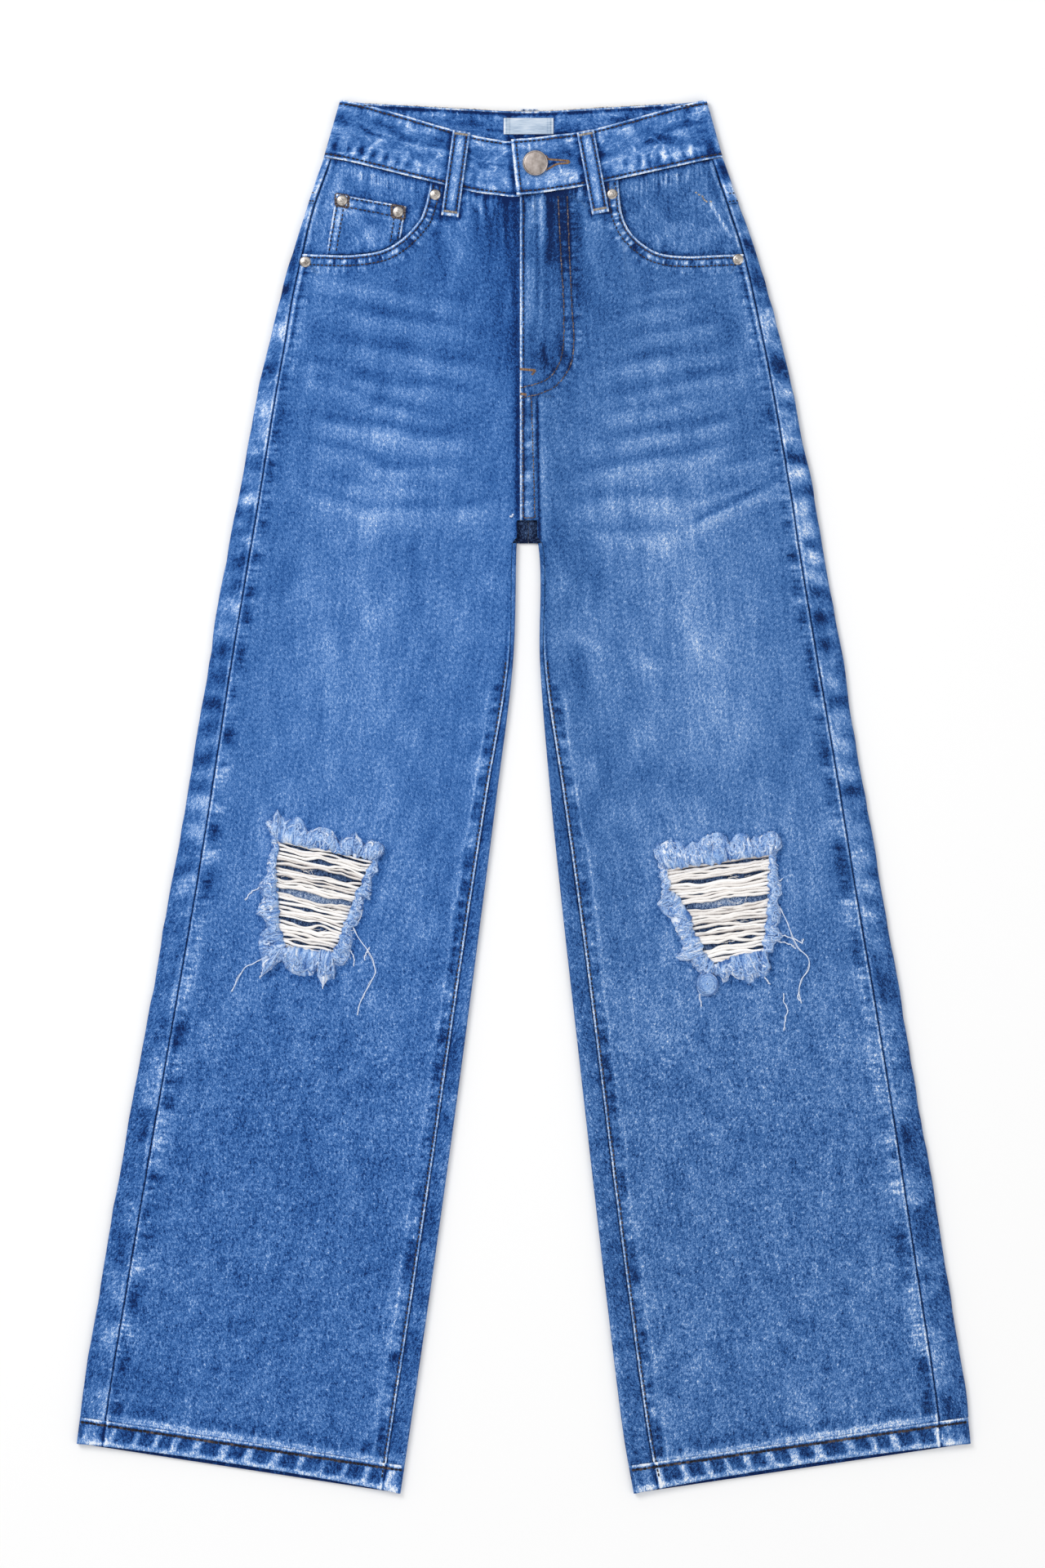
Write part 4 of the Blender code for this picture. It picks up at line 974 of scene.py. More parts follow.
def front_plan(side):
    """Plan points of the front, rows from the waist to the hem seam, with each row's place."""
    top = front_top(side)
    x = top[len(FINE):-len(FINE), 0]
    by_x = (x - top[0, 0]) / (top[-1, 0] - top[0, 0])
    middle = 0.35 * by_x + 0.65 * np.linspace(0, 1, len(x) + 2)[1:-1]
    down = np.concatenate([
        FINE / UPPER_LENGTH, np.linspace(FINE[-1] / UPPER_LENGTH, 1, UPPER_ROWS)[1:-1],
    ])
    upper_place = mix(MOUTH_PLACE, PLAIN_PLACE, down)
    below = front_rows(side, np.array([PLAIN_PLACE]), middle)[0]
    upper = top[None] + (below - top)[None] * np.column_stack([down ** 1.5, down])[:, None]
    bow = outseam(side, upper_place, SEAM_GAP / 2) - upper[:, 0]
    bowed = 1 - past(np.linspace(0, 1, len(top)), 0.12, 0.3)
    upper = upper + bow[:, None] * bowed[None, :, None]
    last = HEM_PLACE - END_PLACE_GAP
    place = np.concatenate([
        np.linspace(PLAIN_PLACE, LAP_PLACE, SEAT_ROWS + 1)[:-1],
        np.linspace(LAP_PLACE, CROTCH_PLACE, LAP_ROWS + 1)[:-1],
        np.linspace(CROTCH_PLACE, last - FINE[-1] / ROW_LENGTH, LEG_ROWS)[:-1],
        last - FINE[::-1] / ROW_LENGTH,
    ])
    return np.concatenate([upper, front_rows(side, place, middle)]), np.concatenate([upper_place, place])


def front_height(y, from_out, from_in):
    """Outer face of the front cloth before its creases."""
    low = lift(y) + WALL + inner_gap(y)
    high = lift(y) + depth(y) - WALL
    beside_inner = before(y, 215.0, 215.0 - CROTCH_HEIGHT)
    near = np.maximum(1 - smooth(from_out / SINK), (1 - smooth(from_in / SINK)) * beside_inner)
    return mix(low, high, near) + WALL


def roping(along, seed, pitch=17.0):
    """Irregular patches along a seam, from -1 where dark to 1 where worn pale."""
    return np.tanh(2.4 * noise(along / pitch * 2, 0.0, seed) + 0.9 * noise(along / pitch * 5, 0.0, seed + 3))


def strokes(along, pitch, seed, sharp=3.0):
    """Strokes at an uneven pitch, from 0 to 1."""
    wave = 0.5 + 0.5 * np.sin(2 * math.pi * (along / pitch + 0.30 * noise(along / (2.3 * pitch), 0.0, seed)))
    return wave ** sharp * (0.75 + 0.4 * noise(along / pitch, 0.0, seed + 1))


def mottle(x, y, seed, across=9.0, up=9.0):
    """Cloudy, warped marbling from about -1 to 1."""
    warp = noise(x / (1.6 * across), y / (1.6 * up), seed)
    return rough_noise(x / across + 1.3 * warp, y / up - 1.1 * warp, seed + 1)


def cracks(x, y, seed, size=13.0, thin=0.07):
    """Fine pale scratch lines where a warped noise crosses zero, from 0 to 1."""
    warp = noise(x / (0.7 * size), y / (0.7 * size), seed + 2)
    line = bell(noise(x / size + 0.55 * warp, y / size - 0.5 * warp, seed) / thin)
    return line * smooth(0.5 + noise(x / size, y / size, seed + 5) * 1.6)


J_STITCH = {
    "outer": ((32.4, 449.0), (34.4, 400.0), (36.2, 363.6), (37.5, 341.0), (35.0, 322.7), (24.7, 307.6),
              (12.5, 301.3), (-2.2, 297.9)),
    "inner": ((25.6, 449.0), (28.0, 400.0), (30.0, 363.6), (29.3, 335.0), (24.7, 320.3), (16.2, 311.3),
              (-2.2, 305.2)),
}


def nearest_seam(*seams):
    """Of several seams, each as along, across and puckering: the nearest one's place and puckering."""
    shape = np.shape(seams[0][1])
    along, across, pucker = (np.stack([np.broadcast_to(seam[k], shape) for seam in seams]) for k in range(3))
    along = along + 500.0 * np.arange(len(seams))[:, None, None]
    pick = across.argmin(axis=0)[None]
    seams = (along, across, pucker)
    along, across, pucker = (np.take_along_axis(values, pick, axis=0)[0] for values in seams)
    return np.dstack([along, across]), pucker


def worn_cloth(side, x, y, seed):
    """Fade away from the seams: worn thigh and knee, darker shin, the worn areas and streaks, and clouds."""
    shin = before(y, -60.0, 120.0)
    fade_and_shade = 0.07 * spot(x, y, (SIGN[side] * 118.0, 150.0), (75.0, 130.0)) - 0.075 * band(y, 335.0, 85.0)
    fade_and_shade += 0.05 * spot(x, y, (SIGN[side] * 150.0, -10.0), (70.0, 100.0)) - 0.06 * before(y, -120.0, 120.0)
    fade_and_shade += 0.05 * shin * (side == "left")
    torn = 0.7 + 0.7 * noise(x / 9.0, y / 17.0, seed + 14)
    for area in WORN_AREAS[side]:
        fade_and_shade += area.pale * torn * spot(x, y, (area.x, area.y), (area.across, area.up))
    patchy = 0.85 + 0.55 * noise(x / 9.0, y / 22.0, seed + 16)
    for wear in FRONT_WEAR[side]:
        fade_and_shade += wear.pale * patchy * bell(near_line(wear.line, x, y)[0] / wear.width)
    fade_and_shade += 0.06 * rough_noise(x / 26.0, y / 44.0, seed + 1)
    fade_and_shade += (0.055 + 0.01 * shin) * rough_noise(x / 9.0, y / 34.0, seed + 2)
    return fade_and_shade + (0.03 + 0.03 * shin) * rough_noise(x / 12.0, y / 9.0, seed + 3)


def beside_fly(x, y):
    """The right front's painted shade along the lap, and below its waistband pale worn folds beside darker
    folds of painted shade.
    """
    fade_and_shade = -0.20 * band(x, -5.5, 3.2) * past(y, 205.0, 10.0)
    fade_and_shade = fade_and_shade - 0.12 * band(x, -9.0, 8.0) * past(y, 300.0, 40.0)
    fade_and_shade -= 0.46 * band(x, -4.2, 1.7) * (y > 190.0) * before(y, 330.0, 60.0)
    fade_and_shade -= 0.20 * bands(x, (1.0, -19.5, 1.8), (0.8, -13.5, 1.7), (0.6, -37.0, 2.6)) * past(y, 395.0, 30.0)
    fade_and_shade += 0.22 * band(x + 0.6 * (y - 441.0), -34.0, 2.4) * band(y, 440.0, 8.0)
    fade_and_shade += 0.20 * band(x + 0.25 * (y - 424.0), -57.0, 2.6) * band(y, 424.0, 12.0)
    fade_and_shade -= 0.18 * band(x + 0.5 * (y - 424.0), -50.5, 2.6) * band(y, 422.0, 12.0)
    return fade_and_shade + 0.16 * spot(x, y, (-12.0, 372.0), (3.0, 20.0))


def front_looks(side, points, from_out, from_in, along_out, along_in):
    """What fading, painted shade, seams and puckers add to a front's height and colour, and its nearest
    seams.
    """
    x, y = points[..., 0], points[..., 1]
    seed = seed_of("front", side)
    height, fade_and_shade = creases(FRONT_CREASES[side], x, y)
    height *= smooth(from_out / 25.0) * smooth(np.abs(x) / 30.0)
    height += 0.35 * (1 + noise(x / 70.0, y / 120.0, seed)) * smooth(from_out / 50.0) * smooth(from_in / 50.0)
    fade_and_shade += worn_cloth(side, x, y, seed)
    far, walked = near_line(mouth_line(side, 60), x, y)
    far = np.where(y > MOUTH_REACHES, far, OUT_OF_REACH)
    # Pleats and drips of fading that hang from the waistband, with painted shade just below the band and
    # beside the belt loops
    drop = waist_low(x) - y
    pleats = noise(x / 8.0 + y / 60.0, y / 90.0, seed + 20)
    pleats = pleats + 0.5 * noise(x / 3.6 + y / 50.0, y / 60.0, seed + 21)
    near_band = (1 - past(drop, 20.0, 70.0)) * (np.abs(x) < 85.0)
    band_drips_and_shade = 0.24 * pleats * near_band - 0.05 * near_band - 0.34 * band(drop, 0.8, 2.4)
    for extra_height, extra_fade in (
        beside_outseam(side, from_out, along_out, seed), beside_inseam(from_in, along_in, seed),
        beside_mouth(far, walked, seed),
        (0.35 * pleats * near_band * smooth(drop / 8.0), band_drips_and_shade - 0.42 * beside_loops(x, y)),
    ):
        height, fade_and_shade = height + extra_height, fade_and_shade + extra_fade
    above_hem = np.abs(y - section(side, HEM_PLACE)["out_y"][0] + (from_out / 245.0) * 38.0)
    seams = [
        (walked, far, bands(far, (0.50, 5.2, 2.2), (0.26, 11.2, 2.6))),
        (along_out, from_out, 0.20 * band(from_out, 6.0, 5.0)),
        (0.6 * along_in, from_in, 0.23 * band(from_in, 6.0, 3.6) * before(along_in, 112.0, 40.0)),
        (x, np.maximum(drop, 0.0), 0.26 * (1 - past(drop, 3.0, 26.0))),
        (from_out, above_hem, 0.16 * band(above_hem, 5.0, 5.0)),
    ]
    if side == "right":
        fade_and_shade += beside_fly(x, y)
    else:
        fly_height, fly_fade = fly_looks(x, y)
        height, fade_and_shade = height + fly_height, fade_and_shade + fly_fade
        turned, stitched = near_line(J_STITCH["outer"], x, y)
        seams.append((stitched, turned + 2.0, 0.22 * band(turned, 4.0, 3.0) * (y > 290.0)))
    # Tight, pale cloth just above the hem seam
    patches = noise(from_out / 6.0, 0.0, seed + 31)
    fade_and_shade += 0.38 * band(above_hem, 1.0, 1.6) * (0.95 + 0.3 * patches)
    fade_and_shade -= 0.15 * band(above_hem, 8.5, 3.6) * (0.6 + patches)
    return height, fade_and_shade, *nearest_seam(*seams)


def beside_outseam(side, from_out, along, seed):
    """A groove darkened with painted shade, a pale ridge, then a glow at the hip and dark blots down the leg.
    """
    hip = past(along, 325.0, 20.0)
    leg = before(along, 75.0, 60.0)
    thigh = before(along, 215.0, 30.0) * past(along, -40.0, 60.0)
    steps = strokes(along, 25.0, seed + 12, 1.4)
    rope, blots = roping(along, seed + 2, 26.0), roping(along, seed + 7, 44.0)
    ridge = band(from_out, mix(1.25, 2.1, hip), mix(0.75, 1.35, hip))
    ridge = ridge * mix(0.8 + 0.25 * noise(along / 30.0, 3.0, seed), 1.0, hip)
    fade_and_shade = 0.46 * ridge - 0.46 * bell(from_out / 0.5) - 0.30 * band(from_out, 4.6, 1.1) * hip
    glow = band(along, (345.0 if side == "right" else 362.0), 32.0)
    fade_and_shade += 0.15 * glow * band(from_out, 8.5, 4.5)
    fade_and_shade += leg * (0.28 * blots - 0.05) * band(from_out, 7.0, 5.5)
    fade_and_shade += leg * 0.10 * rope * band(from_out, 4.0, 3.0)
    fade_and_shade -= (1 - leg) * (1 - hip) * 0.12 * band(from_out, 4.0, 3.0) * (0.8 + rope)
    fade_and_shade += thigh * (0.11 - 0.48 * steps) * band(from_out, 5.5, 3.8)
    height = 0.50 * ridge + 0.30 * band(from_out, 4.0, 3.5) + 0.3 * leg * blots * band(from_out, 7.0, 5.0)
    return height - 0.40 * bell(from_out / 0.5), fade_and_shade


def beside_inseam(from_in, along, seed):
    """A pale stitched edge, a dark puckered turning and a lumpy ridge where the turning ends."""
    leg = before(along, 150.0, 60.0)
    low = before(along, 112.0, 40.0)
    lump, blots = noise(along / 7.0, 0.0, seed + 5), roping(along, seed + 4, 24.0)
    ridge_at = 11.3 + 1.0 * noise(along / 22.0, 1.0, seed)
    ridge = band(from_in, ridge_at, 1.05 + 0.15 * lump) * (0.85 + 0.3 * noise(along / 10.0, 4.0, seed))
    fade_and_shade = leg * bands(from_in, (0.46, 0.8, 0.75), (-0.28, 2.4, 0.9))
    fade_and_shade += low * (0.32 * ridge + band(from_in, 6.6, 3.2) * (0.15 * blots - 0.13))
    fade_and_shade += low * 0.05 * band(from_in, 15.0, 4.0) * (0.3 + blots)
    fade_and_shade -= 0.16 * (1 - low) * bell(from_in / 3.0) * (along < 205.0)
    height = leg * bands(from_in, (0.45, 0.9, 0.9), (-0.25, 2.1, 0.8))
    height += low * (0.45 * ridge + 0.35 * band(from_in, 6.0, 4.0) * (0.6 + 0.6 * blots))
    return height, fade_and_shade


def beside_mouth(far, walked, seed):
    """The turned pocket edge: pale rim, two stitched grooves, and drips of fade past them."""
    ragged = rough_noise(walked / 4.0, far / 8.0, seed + 6)
    rows = ((0.62, 0.7, 0.9), (-0.40, 2.4, 0.8), (-0.26, 7.8, 0.9), (0.10, 5.0, 2.0), (-0.06, 14.0, 4.0))
    fade_and_shade = bands(far, *rows)
    fade_and_shade += 0.20 * band(far, 10.4, 2.0) * (0.6 + 0.7 * ragged)
    height = 0.5 * (1 - past(far, 7.4, 2.4)) - 0.22 * band(far, 2.3, 0.7) - 0.22 * band(far, 7.7, 0.7)
    return height - 0.35 * (1 - smooth(far / 0.8)) * (far < 50), fade_and_shade


def beside_loops(x, y):
    """Shade of the belt loops on the cloth beside them, 1 where deepest."""
    shade = np.zeros(np.shape(x))
    for loop in FRONT_LOOPS.values():
        top, down, across, length = loop_frame(loop)
        t = (x - top[0]) * down[0] + (y - top[1]) * down[1]
        s = (x - top[0]) * across[0] + (y - top[1]) * across[1]
        shade += band(np.abs(s), 7.0, 2.4) * smooth(t / 5.0 + 1) * (1 - smooth((t - length) / 3.0))
        shade += band(t - length, 0.5, 2.4) * (np.abs(s) < 8.0)
    return shade


def fly_looks(x, y):
    """Streaks down the fly, and its stitched turning."""
    far, _ = near_line(J_STITCH["outer"], x, y)
    inner, _ = near_line(J_STITCH["inner"], x, y)
    above = past(y, 297.0, 3.0)
    in_fly = above * (x < 36.0)
    high, upper = past(y, 348.0, 12.0), past(y, 392.0, 12.0)
    patchy = 0.75 + 0.45 * noise(x / 3.0, y / 13.0, 71)
    streaks = 0.24 * band(x, 5.6, 3.2) + 0.30 * band(x, 13.2, 1.8) * (0.4 + 0.6 * upper)
    streaks = high * patchy * streaks - 0.34 * band(x, 18.6, 2.8) * (0.25 * high + 0.75 * upper)
    streaks -= high * bands(x, (0.12, 29.5, 2.4), (0.16, 9.6, 1.5))
    streaks += 0.30 * band(y - 428.5, 0.3 * (x - 5.0), 2.0) * band(x, 6.0, 6.0)
    streaks += 0.18 * spot(x, y, (5.0, 441.0), (5.0, 8.0))
    streaks += band(y, 330.0, 16.0) * (0.34 * mottle(x, y, 72, 6.0, 14.0) - 0.13)
    streaks += 0.10 * noise(x / 2.6, y / 50.0, 74) - 0.12 * upper
    waistward = past(y, 285.0, 50.0)
    fade_and_shade = in_fly * streaks + mix(0.52, 0.70, waistward) * band(x, -2.2, mix(0.8, 1.0, waistward))
    fade_and_shade -= 0.34 * band(x, -0.2, 0.8) + 0.13 * band(x, 41.0, 4.0) * past(y, 350.0, 20.0)
    fade_and_shade += 0.10 * band(far, 3.0, 1.6) * (x > 30.0) * (y > 290.0) * (y < 350)
    fade_and_shade -= 0.34 * bell(far / 1.1) * (y > 297.0) * (x < 40.0) + 0.26 * bell(inner / 1.1) * (y > 300.0)
    height = above * (0.45 * (1 - smooth(far / 2.0)) * (x < 40.0)) + 0.30 * in_fly * band(x, 5.0, 5.0)
    height -= 0.35 * in_fly * high * band(x, 16.2, 2.4) - 0.2 * above * band(far, 3.3, 2.6)
    seam_height, seam_fade = felled_seam(x, y)
    return height + seam_height, fade_and_shade + seam_fade


def knee_fade(side, x, y):
    """Pale cloth close to the ruffle, and its shade on the side away from the light."""
    outline = closed(np.array(RUFFLE[side], float))
    far, _ = near_line(outline, x, y)
    shaded, _ = near_line(outline + SHADE_WAY, x, y)
    return 0.05 * band(far, 7.0, 5.0) - 0.20 * bell(shaded / 2.6) * (1 - inside(RUFFLE[side], x, y))


def add_lap(cloth, side, inner, weave_x, inner_fade):
    """The front's cloth past the centre line, out to the edge of its lap."""
    share = LAP_SHARES[None] if side == "left" else np.linspace(0, 1, 4)[None]
    edge_y = inner[:, 1].copy()
    edge_y[0] = waist_low(LAP_EDGE[side]) - SEAM_GAP
    x = mix(inner[:, :1], LAP_EDGE[side], share)
    y = mix(inner[:, 1:2], edge_y[:, None], share)
    z = np.broadcast_to(inner[:, 2:3], x.shape)
    reach = np.abs(x - inner[:, :1])
    if side == "left":
        z = z - 0.5 * smooth(1 - (reach[:, -1:] - reach) / 1.2)
    from_out, from_in = np.full(x.shape, LAP_FROM_OUTSEAM), LAP_FROM_INSEAM + reach
    _, fade_and_shade, seam, pucker = front_looks(side, np.dstack([x, y]), from_out, from_in, y, y)
    fade_and_shade[:, 0] = inner_fade
    weave = np.dstack([weave_x[:, None] + reach, y])
    cloth.add(np.dstack([x, y, z]), weave, fade_and_shade, seam=seam, pucker=pucker, flip=side == "right")


def front(side):
    plan, place = front_plan(side)
    x, y = plan[..., 0], plan[..., 1]
    from_out, from_in = (np.linalg.norm(plan - plan[:, k][:, None], axis=-1) for k in (0, -1))
    along_out, along_in = (np.broadcast_to(plan[:, k, 1][:, None], x.shape) for k in (0, -1))
    z = front_height(y, from_out, from_in)
    if side == "left":
        rise = LAP_RAISE * (1 - smooth(from_in / LAP_SETTLES))
        z = z + rise * past(plan[:, -1:, 1], CROTCH_HEIGHT, LAP_END_HEIGHT - CROTCH_HEIGHT)
    extra, fade_and_shade, seam, pucker = front_looks(side, plan, from_out, from_in, along_out, along_in)
    fade_and_shade += knee_fade(side, x, y)
    points = np.dstack([x, y, z + extra])
    weave = np.dstack([from_out - from_out[:, -1:] / 2, y])
    hole = inside(KNEE_HOLE[side], x, y)
    keep = ~(hole[:-1, :-1] & hole[1:, :-1] & hole[:-1, 1:] & hole[1:, 1:])
    cloth = Cloth("front_" + side)
    cloth.add(points, weave, fade_and_shade, seam=seam, pucker=pucker, keep=keep, flip=side == "right")
    rows = place <= LAP_PLACE + ROUNDING
    add_lap(cloth, side, points[rows, -1], weave[rows, -1, 0], fade_and_shade[rows, -1])
    cloth_object(
        cloth, LEG_DENIM[side], INSIDE, WALL, "front_panel_" + side,
    )


# Backs and yokes


def back_centre(place):
    """The y of the centre back seam at places of the section table."""
    seat = mix(YOKE_CENTRE_LOW, CROTCH_HEIGHT, (place - YOKE_PLACE) / (CROTCH_PLACE - YOKE_PLACE))
    yoke_part = mix(YOKE_CENTRE_TOP, YOKE_CENTRE_LOW, place / YOKE_PLACE)
    return np.where(place <= YOKE_PLACE, yoke_part, np.maximum(seat, CROTCH_HEIGHT))


# How far each column of a strip lies from the seam to the start of the fold
STRIP_SHARES = np.array((0.0, 0.03, 0.07, 0.12, 0.19, 0.28, 0.4, 0.55, 0.75))


def wrap_cells(edge, seam, strip, arc):
    """Outer-face points from a seam on the upper side, over the strip and round the fold to the underside."""
    width = np.linalg.norm(seam - edge, axis=1)
    inward = (seam - edge) / width[:, None]
    y = edge[:, 1]
    radius = depth(y) / 2
    centre = edge + inward * radius[:, None]
    flat = seam[:, None] + (centre - seam)[:, None] * strip[None, :, None]
    top = np.broadcast_to((lift(y) + depth(y))[:, None], flat.shape[:2])
    angle = np.linspace(0, math.pi, arc + 1)
    round_plan = centre[:, None] - inward[:, None] * (radius[:, None] * np.sin(angle)[None])[..., None]
    round_z = lift(y)[:, None] + radius[:, None] * (1 + np.cos(angle)[None])
    plan = np.concatenate([flat, round_plan], axis=1)
    from_seam = np.concatenate([
        np.linalg.norm(flat - seam[:, None], axis=-1),
        (width - radius)[:, None] + radius[:, None] * angle[None],
    ], axis=1)
    return np.dstack([plan, np.concatenate([top, round_z], axis=1)]), from_seam


def felled_seam(x, y):
    """The felled seam from the fly to the crotch: pale edges, dark grooves and a ladder of short folds."""
    felled = before(y, 299.0, 3.0) * (y > CROTCH_HEIGHT)
    ladder = noise(x / 9.0 - y / 7.0, y / 3.4, 73)
    from_edge = x - 8.0 - (299.0 - y) * 0.018
    fade_and_shade = bands(x, (0.14, 3.0, 2.2), (-0.26, 0.3, 1.0)) + 0.33 * ladder * band(x, 3.0, 5.0)
    fade_and_shade += bands(from_edge, (-0.55, 2.0, 1.1), (0.22, -0.6, 0.8), (-0.30, -2.4, 0.9), (0.14, 5.5, 2.4))
    fade_and_shade -= bands(y, (0.42, 285.8, 2.0), (0.30, 207.0, 1.6)) * band(x, 3.5, 5.0)
    return felled * 0.45 * (1 - past(x, 8.2, 1.6)), felled * fade_and_shade


def strip_looks(points, from_seam, along, seed, outer):
    """Height, fading with painted shade, and marbling of the back cloth where it wraps up to a seam on the
    front.
    """
    rope = roping(along, seed, 30.0)
    on_top = smooth((points[..., 2] - lift(points[..., 1]) - 0.6 * depth(points[..., 1])) / 0.8)
    from_edge = from_seam.max(axis=1)[:, None] - from_seam
    if outer:
        hip, down = past(along, 15.0, 60.0), past(along, -190.0, 120.0)
        spots = mottle(from_seam, along, seed + 9, 7.0, 9.0)
        steps = strokes(along + 0.15 * from_seam, 21.0, seed + 11, 1.0) * down
        fade_and_shade = mix(0.19, 0.29, hip) * rope * band(from_seam, 6.0, 8.0)
        fade_and_shade = fade_and_shade + mix(0.08, 0.12, hip) * spots + 0.06 * hip
        fade_and_shade += (0.26 - 0.46 * steps) * band(from_seam, 9.5, 8.0) * down
        # Painted shade in the seam gap, with a pale line beside it
        fade_and_shade -= 0.45 * bell(from_seam / 0.45) - mix(0.22, 0.34, hip) * band(from_seam, 1.4, 0.8)
        pale = 0.20 * (1 - hip) * band(from_seam, 3.2, 1.2)
        fade_and_shade += pale * (0.7 + 0.5 * noise(along / 14.0, 0.0, seed + 4))
        # A little darker all over, and darker still on the fold with painted shade
        fade_and_shade -= 0.05 + 0.08 * band(from_edge, 7.0, 4.0)
        strength, marble = mix(0.3, 1.0, hip), mix(0.10, 0.22, hip) * on_top
    else:
        fade_and_shade = -0.14 + 0.07 * rope + 0.12 * band(from_edge, 7.0, 2.0)
        # Painted shade in the seam gap, dying out towards the crotch
        fade_and_shade -= 0.42 * bell(from_seam / 0.6) * before(along, 130.0, 50.0)
        strength, marble = 0.4, 0.12 * on_top
    ridge = 0.45 * band(from_seam, 3.2, 3.0) * (0.6 + 0.6 * rope * strength)
    return on_top * (ridge - 0.35 * bell(from_seam / 0.6)), fade_and_shade, marble


def underside_fade(side, x, y, seed):
    """Clouds, the worn seat, painted deep shade at the crotch, and painted shade and glow behind the knee."""
    fade_and_shade = 0.03 * rough_noise(x / 40.0, y / 60.0, seed)
    fade_and_shade += 0.10 * spot(x, y, (SIGN[side] * 95.0, 250.0), (60.0, 90.0))
    # Darker towards the hem, and painted deep shade at the crotch
    fade_and_shade -= 0.04 * before(y, -140.0, 120.0) + 0.02 + 0.44 * spot(x, y, (2.6, 196.0), (8.5, 16.0))
    knee_x, knee_y = BEHIND_KNEE[side]
    glow = bell(np.hypot((x - knee_x) / 34.0, (y - knee_y + 0.1 * (x - knee_x)) / 9.0))
    return fade_and_shade - (0.22 - 0.46 * glow) * bell(np.hypot(x - knee_x, y - knee_y) / 60.0)


def seat_block(cloth, side, corner, reach, fade_and_shade):
    """The back cloth from the end of the flat rows to the centre back seam."""
    share = np.linspace(0, 1, 5)[None]
    x = mix(corner[:, :1], CENTRE_BACK + SIGN[side] * SEAM_GAP / 2, share)
    y = np.broadcast_to(corner[:, 1:2], x.shape)
    fade_and_shade = np.broadcast_to(fade_and_shade, x.shape) - 0.3 * smooth(share * 1.6 - 0.6)
    # Painted deep shade at the crotch, with a bluer middle and a darker lower edge
    dark = -0.45 + 0.22 * band(x, 3.4, 4.6) * past(y, 191.5, 3.0) + 0.25 * past(np.abs(x - 2.6), 7.6, 1.5)
    fade_and_shade = mix(fade_and_shade, dark, before(y, 216.0, 8.0))
    weave = np.dstack([reach + np.abs(x - corner[:, :1]), y])
    cloth.add(np.dstack([x, y, lift(y)]), weave, fade_and_shade, flip=side == "left")


def inner_leg_block(cloth, side, wrap, from_seam, seam_y, corner, reach, fade_and_shade, seed):
    """The back cloth from the end of the flat rows, round the inner leg fold and up to the inseam."""
    points, from_seam = wrap[:, ::-1].copy(), from_seam[:, ::-1]
    along = np.broadcast_to(seam_y[:, None], from_seam.shape)
    height, leg_fade, marble = strip_looks(points, from_seam, along, seed, False)
    points[..., 2] += height
    points[:, 0] = corner
    leg_fade[:, 0] = fade_and_shade[:, 0]
    weave = np.dstack([reach + from_seam[:, :1] - from_seam, points[..., 1]])
    cloth.add(points, weave, leg_fade, marble=marble, flip=side == "left")


def back_blocks(side, place, cloth, seed):
    """The back cloth at places of the section table: from the outseam round the side fold and over the
    underside, then to the centre back above the crotch, or round the inner leg fold to the inseam."""
    outer, inner, _, _ = ends_of(side, place)
    wobble = 0.7 * noise(outer[:, 1] / 34.0, 0.0, seed) + 0.3 * noise(outer[:, 1] / 11.0, 0.0, seed + 1)
    seam, leg_seam = outseam(side, place, -SEAM_GAP / 2), inseam(side, place, -SEAM_GAP / 2)
    edge = outer + unit(outer - seam) * wobble[:, None]
    wrap, from_seam = wrap_cells(edge, seam, STRIP_SHARES, ARC_CELLS)
    leg_wrap, leg_from = wrap_cells(inner, leg_seam, STRIP_SHARES[::2], ARC_CELLS)
    along = np.broadcast_to(seam[:, 1:2], from_seam.shape)
    height, strip_fade, strip_marble = strip_looks(wrap, from_seam, along, seed + 2, True)
    strip_fade -= 0.06 * (side == "left")
    wrap[..., 2] += height
    # The flat underside
    fork = section(side, CROTCH_PLACE)["in_x"][0] + SIGN[side] * depth(CROTCH_HEIGHT) / 2
    seat = place < CROTCH_PLACE - ROUNDING
    at_fork = np.abs(place - CROTCH_PLACE) < ROUNDING
    seat_end = np.column_stack([np.full(len(place), fork), back_centre(place)])
    end = np.where(seat[:, None], seat_end, leg_wrap[:, -1, :2])
    start = wrap[:, -1, :2]
    columns = int(np.linalg.norm(end - start, axis=1).max() / BACK_CELL)
    share = np.linspace(0, 1, columns + 1)[1:]
    flat = start[:, None] + (end - start)[:, None] * share[None, :, None]
    x, y = flat[..., 0], flat[..., 1]
    crease_height, crease_fade = creases(BACK_CREASES[side], x, y)
    z = lift(y) - np.minimum(crease_height, 0.9) * past(y, 190.0, 50.0)
    under = crease_fade + underside_fade(side, x, y, seed + 5)
    flat_fade = mix(strip_fade[:, -1:], under, smooth(share * 6)[None])
    flat_reach = from_seam[:, -1:] + np.linalg.norm(flat - start[:, None], axis=-1)
    points = np.concatenate([wrap, np.dstack([flat, z])], axis=1)
    reach, fade_and_shade = np.hstack([from_seam, flat_reach]), np.hstack([strip_fade, flat_fade])
    marble = np.hstack([strip_marble, np.zeros(x.shape)])
    cloth.add(points, np.dstack([reach, points[..., 1]]), fade_and_shade, marble=marble, flip=side == "left")
    rows = seat | at_fork
    if rows.any():
        seat_block(cloth, side, points[rows, -1], reach[rows, -1:], fade_and_shade[rows, -1:])
    rows = ~seat
    if rows.any():
        inner_leg_block(cloth, side, leg_wrap[rows], leg_from[rows], leg_seam[rows, 1], points[rows, -1],
                        reach[rows, -1:], fade_and_shade[rows, -1:], seed + 6)


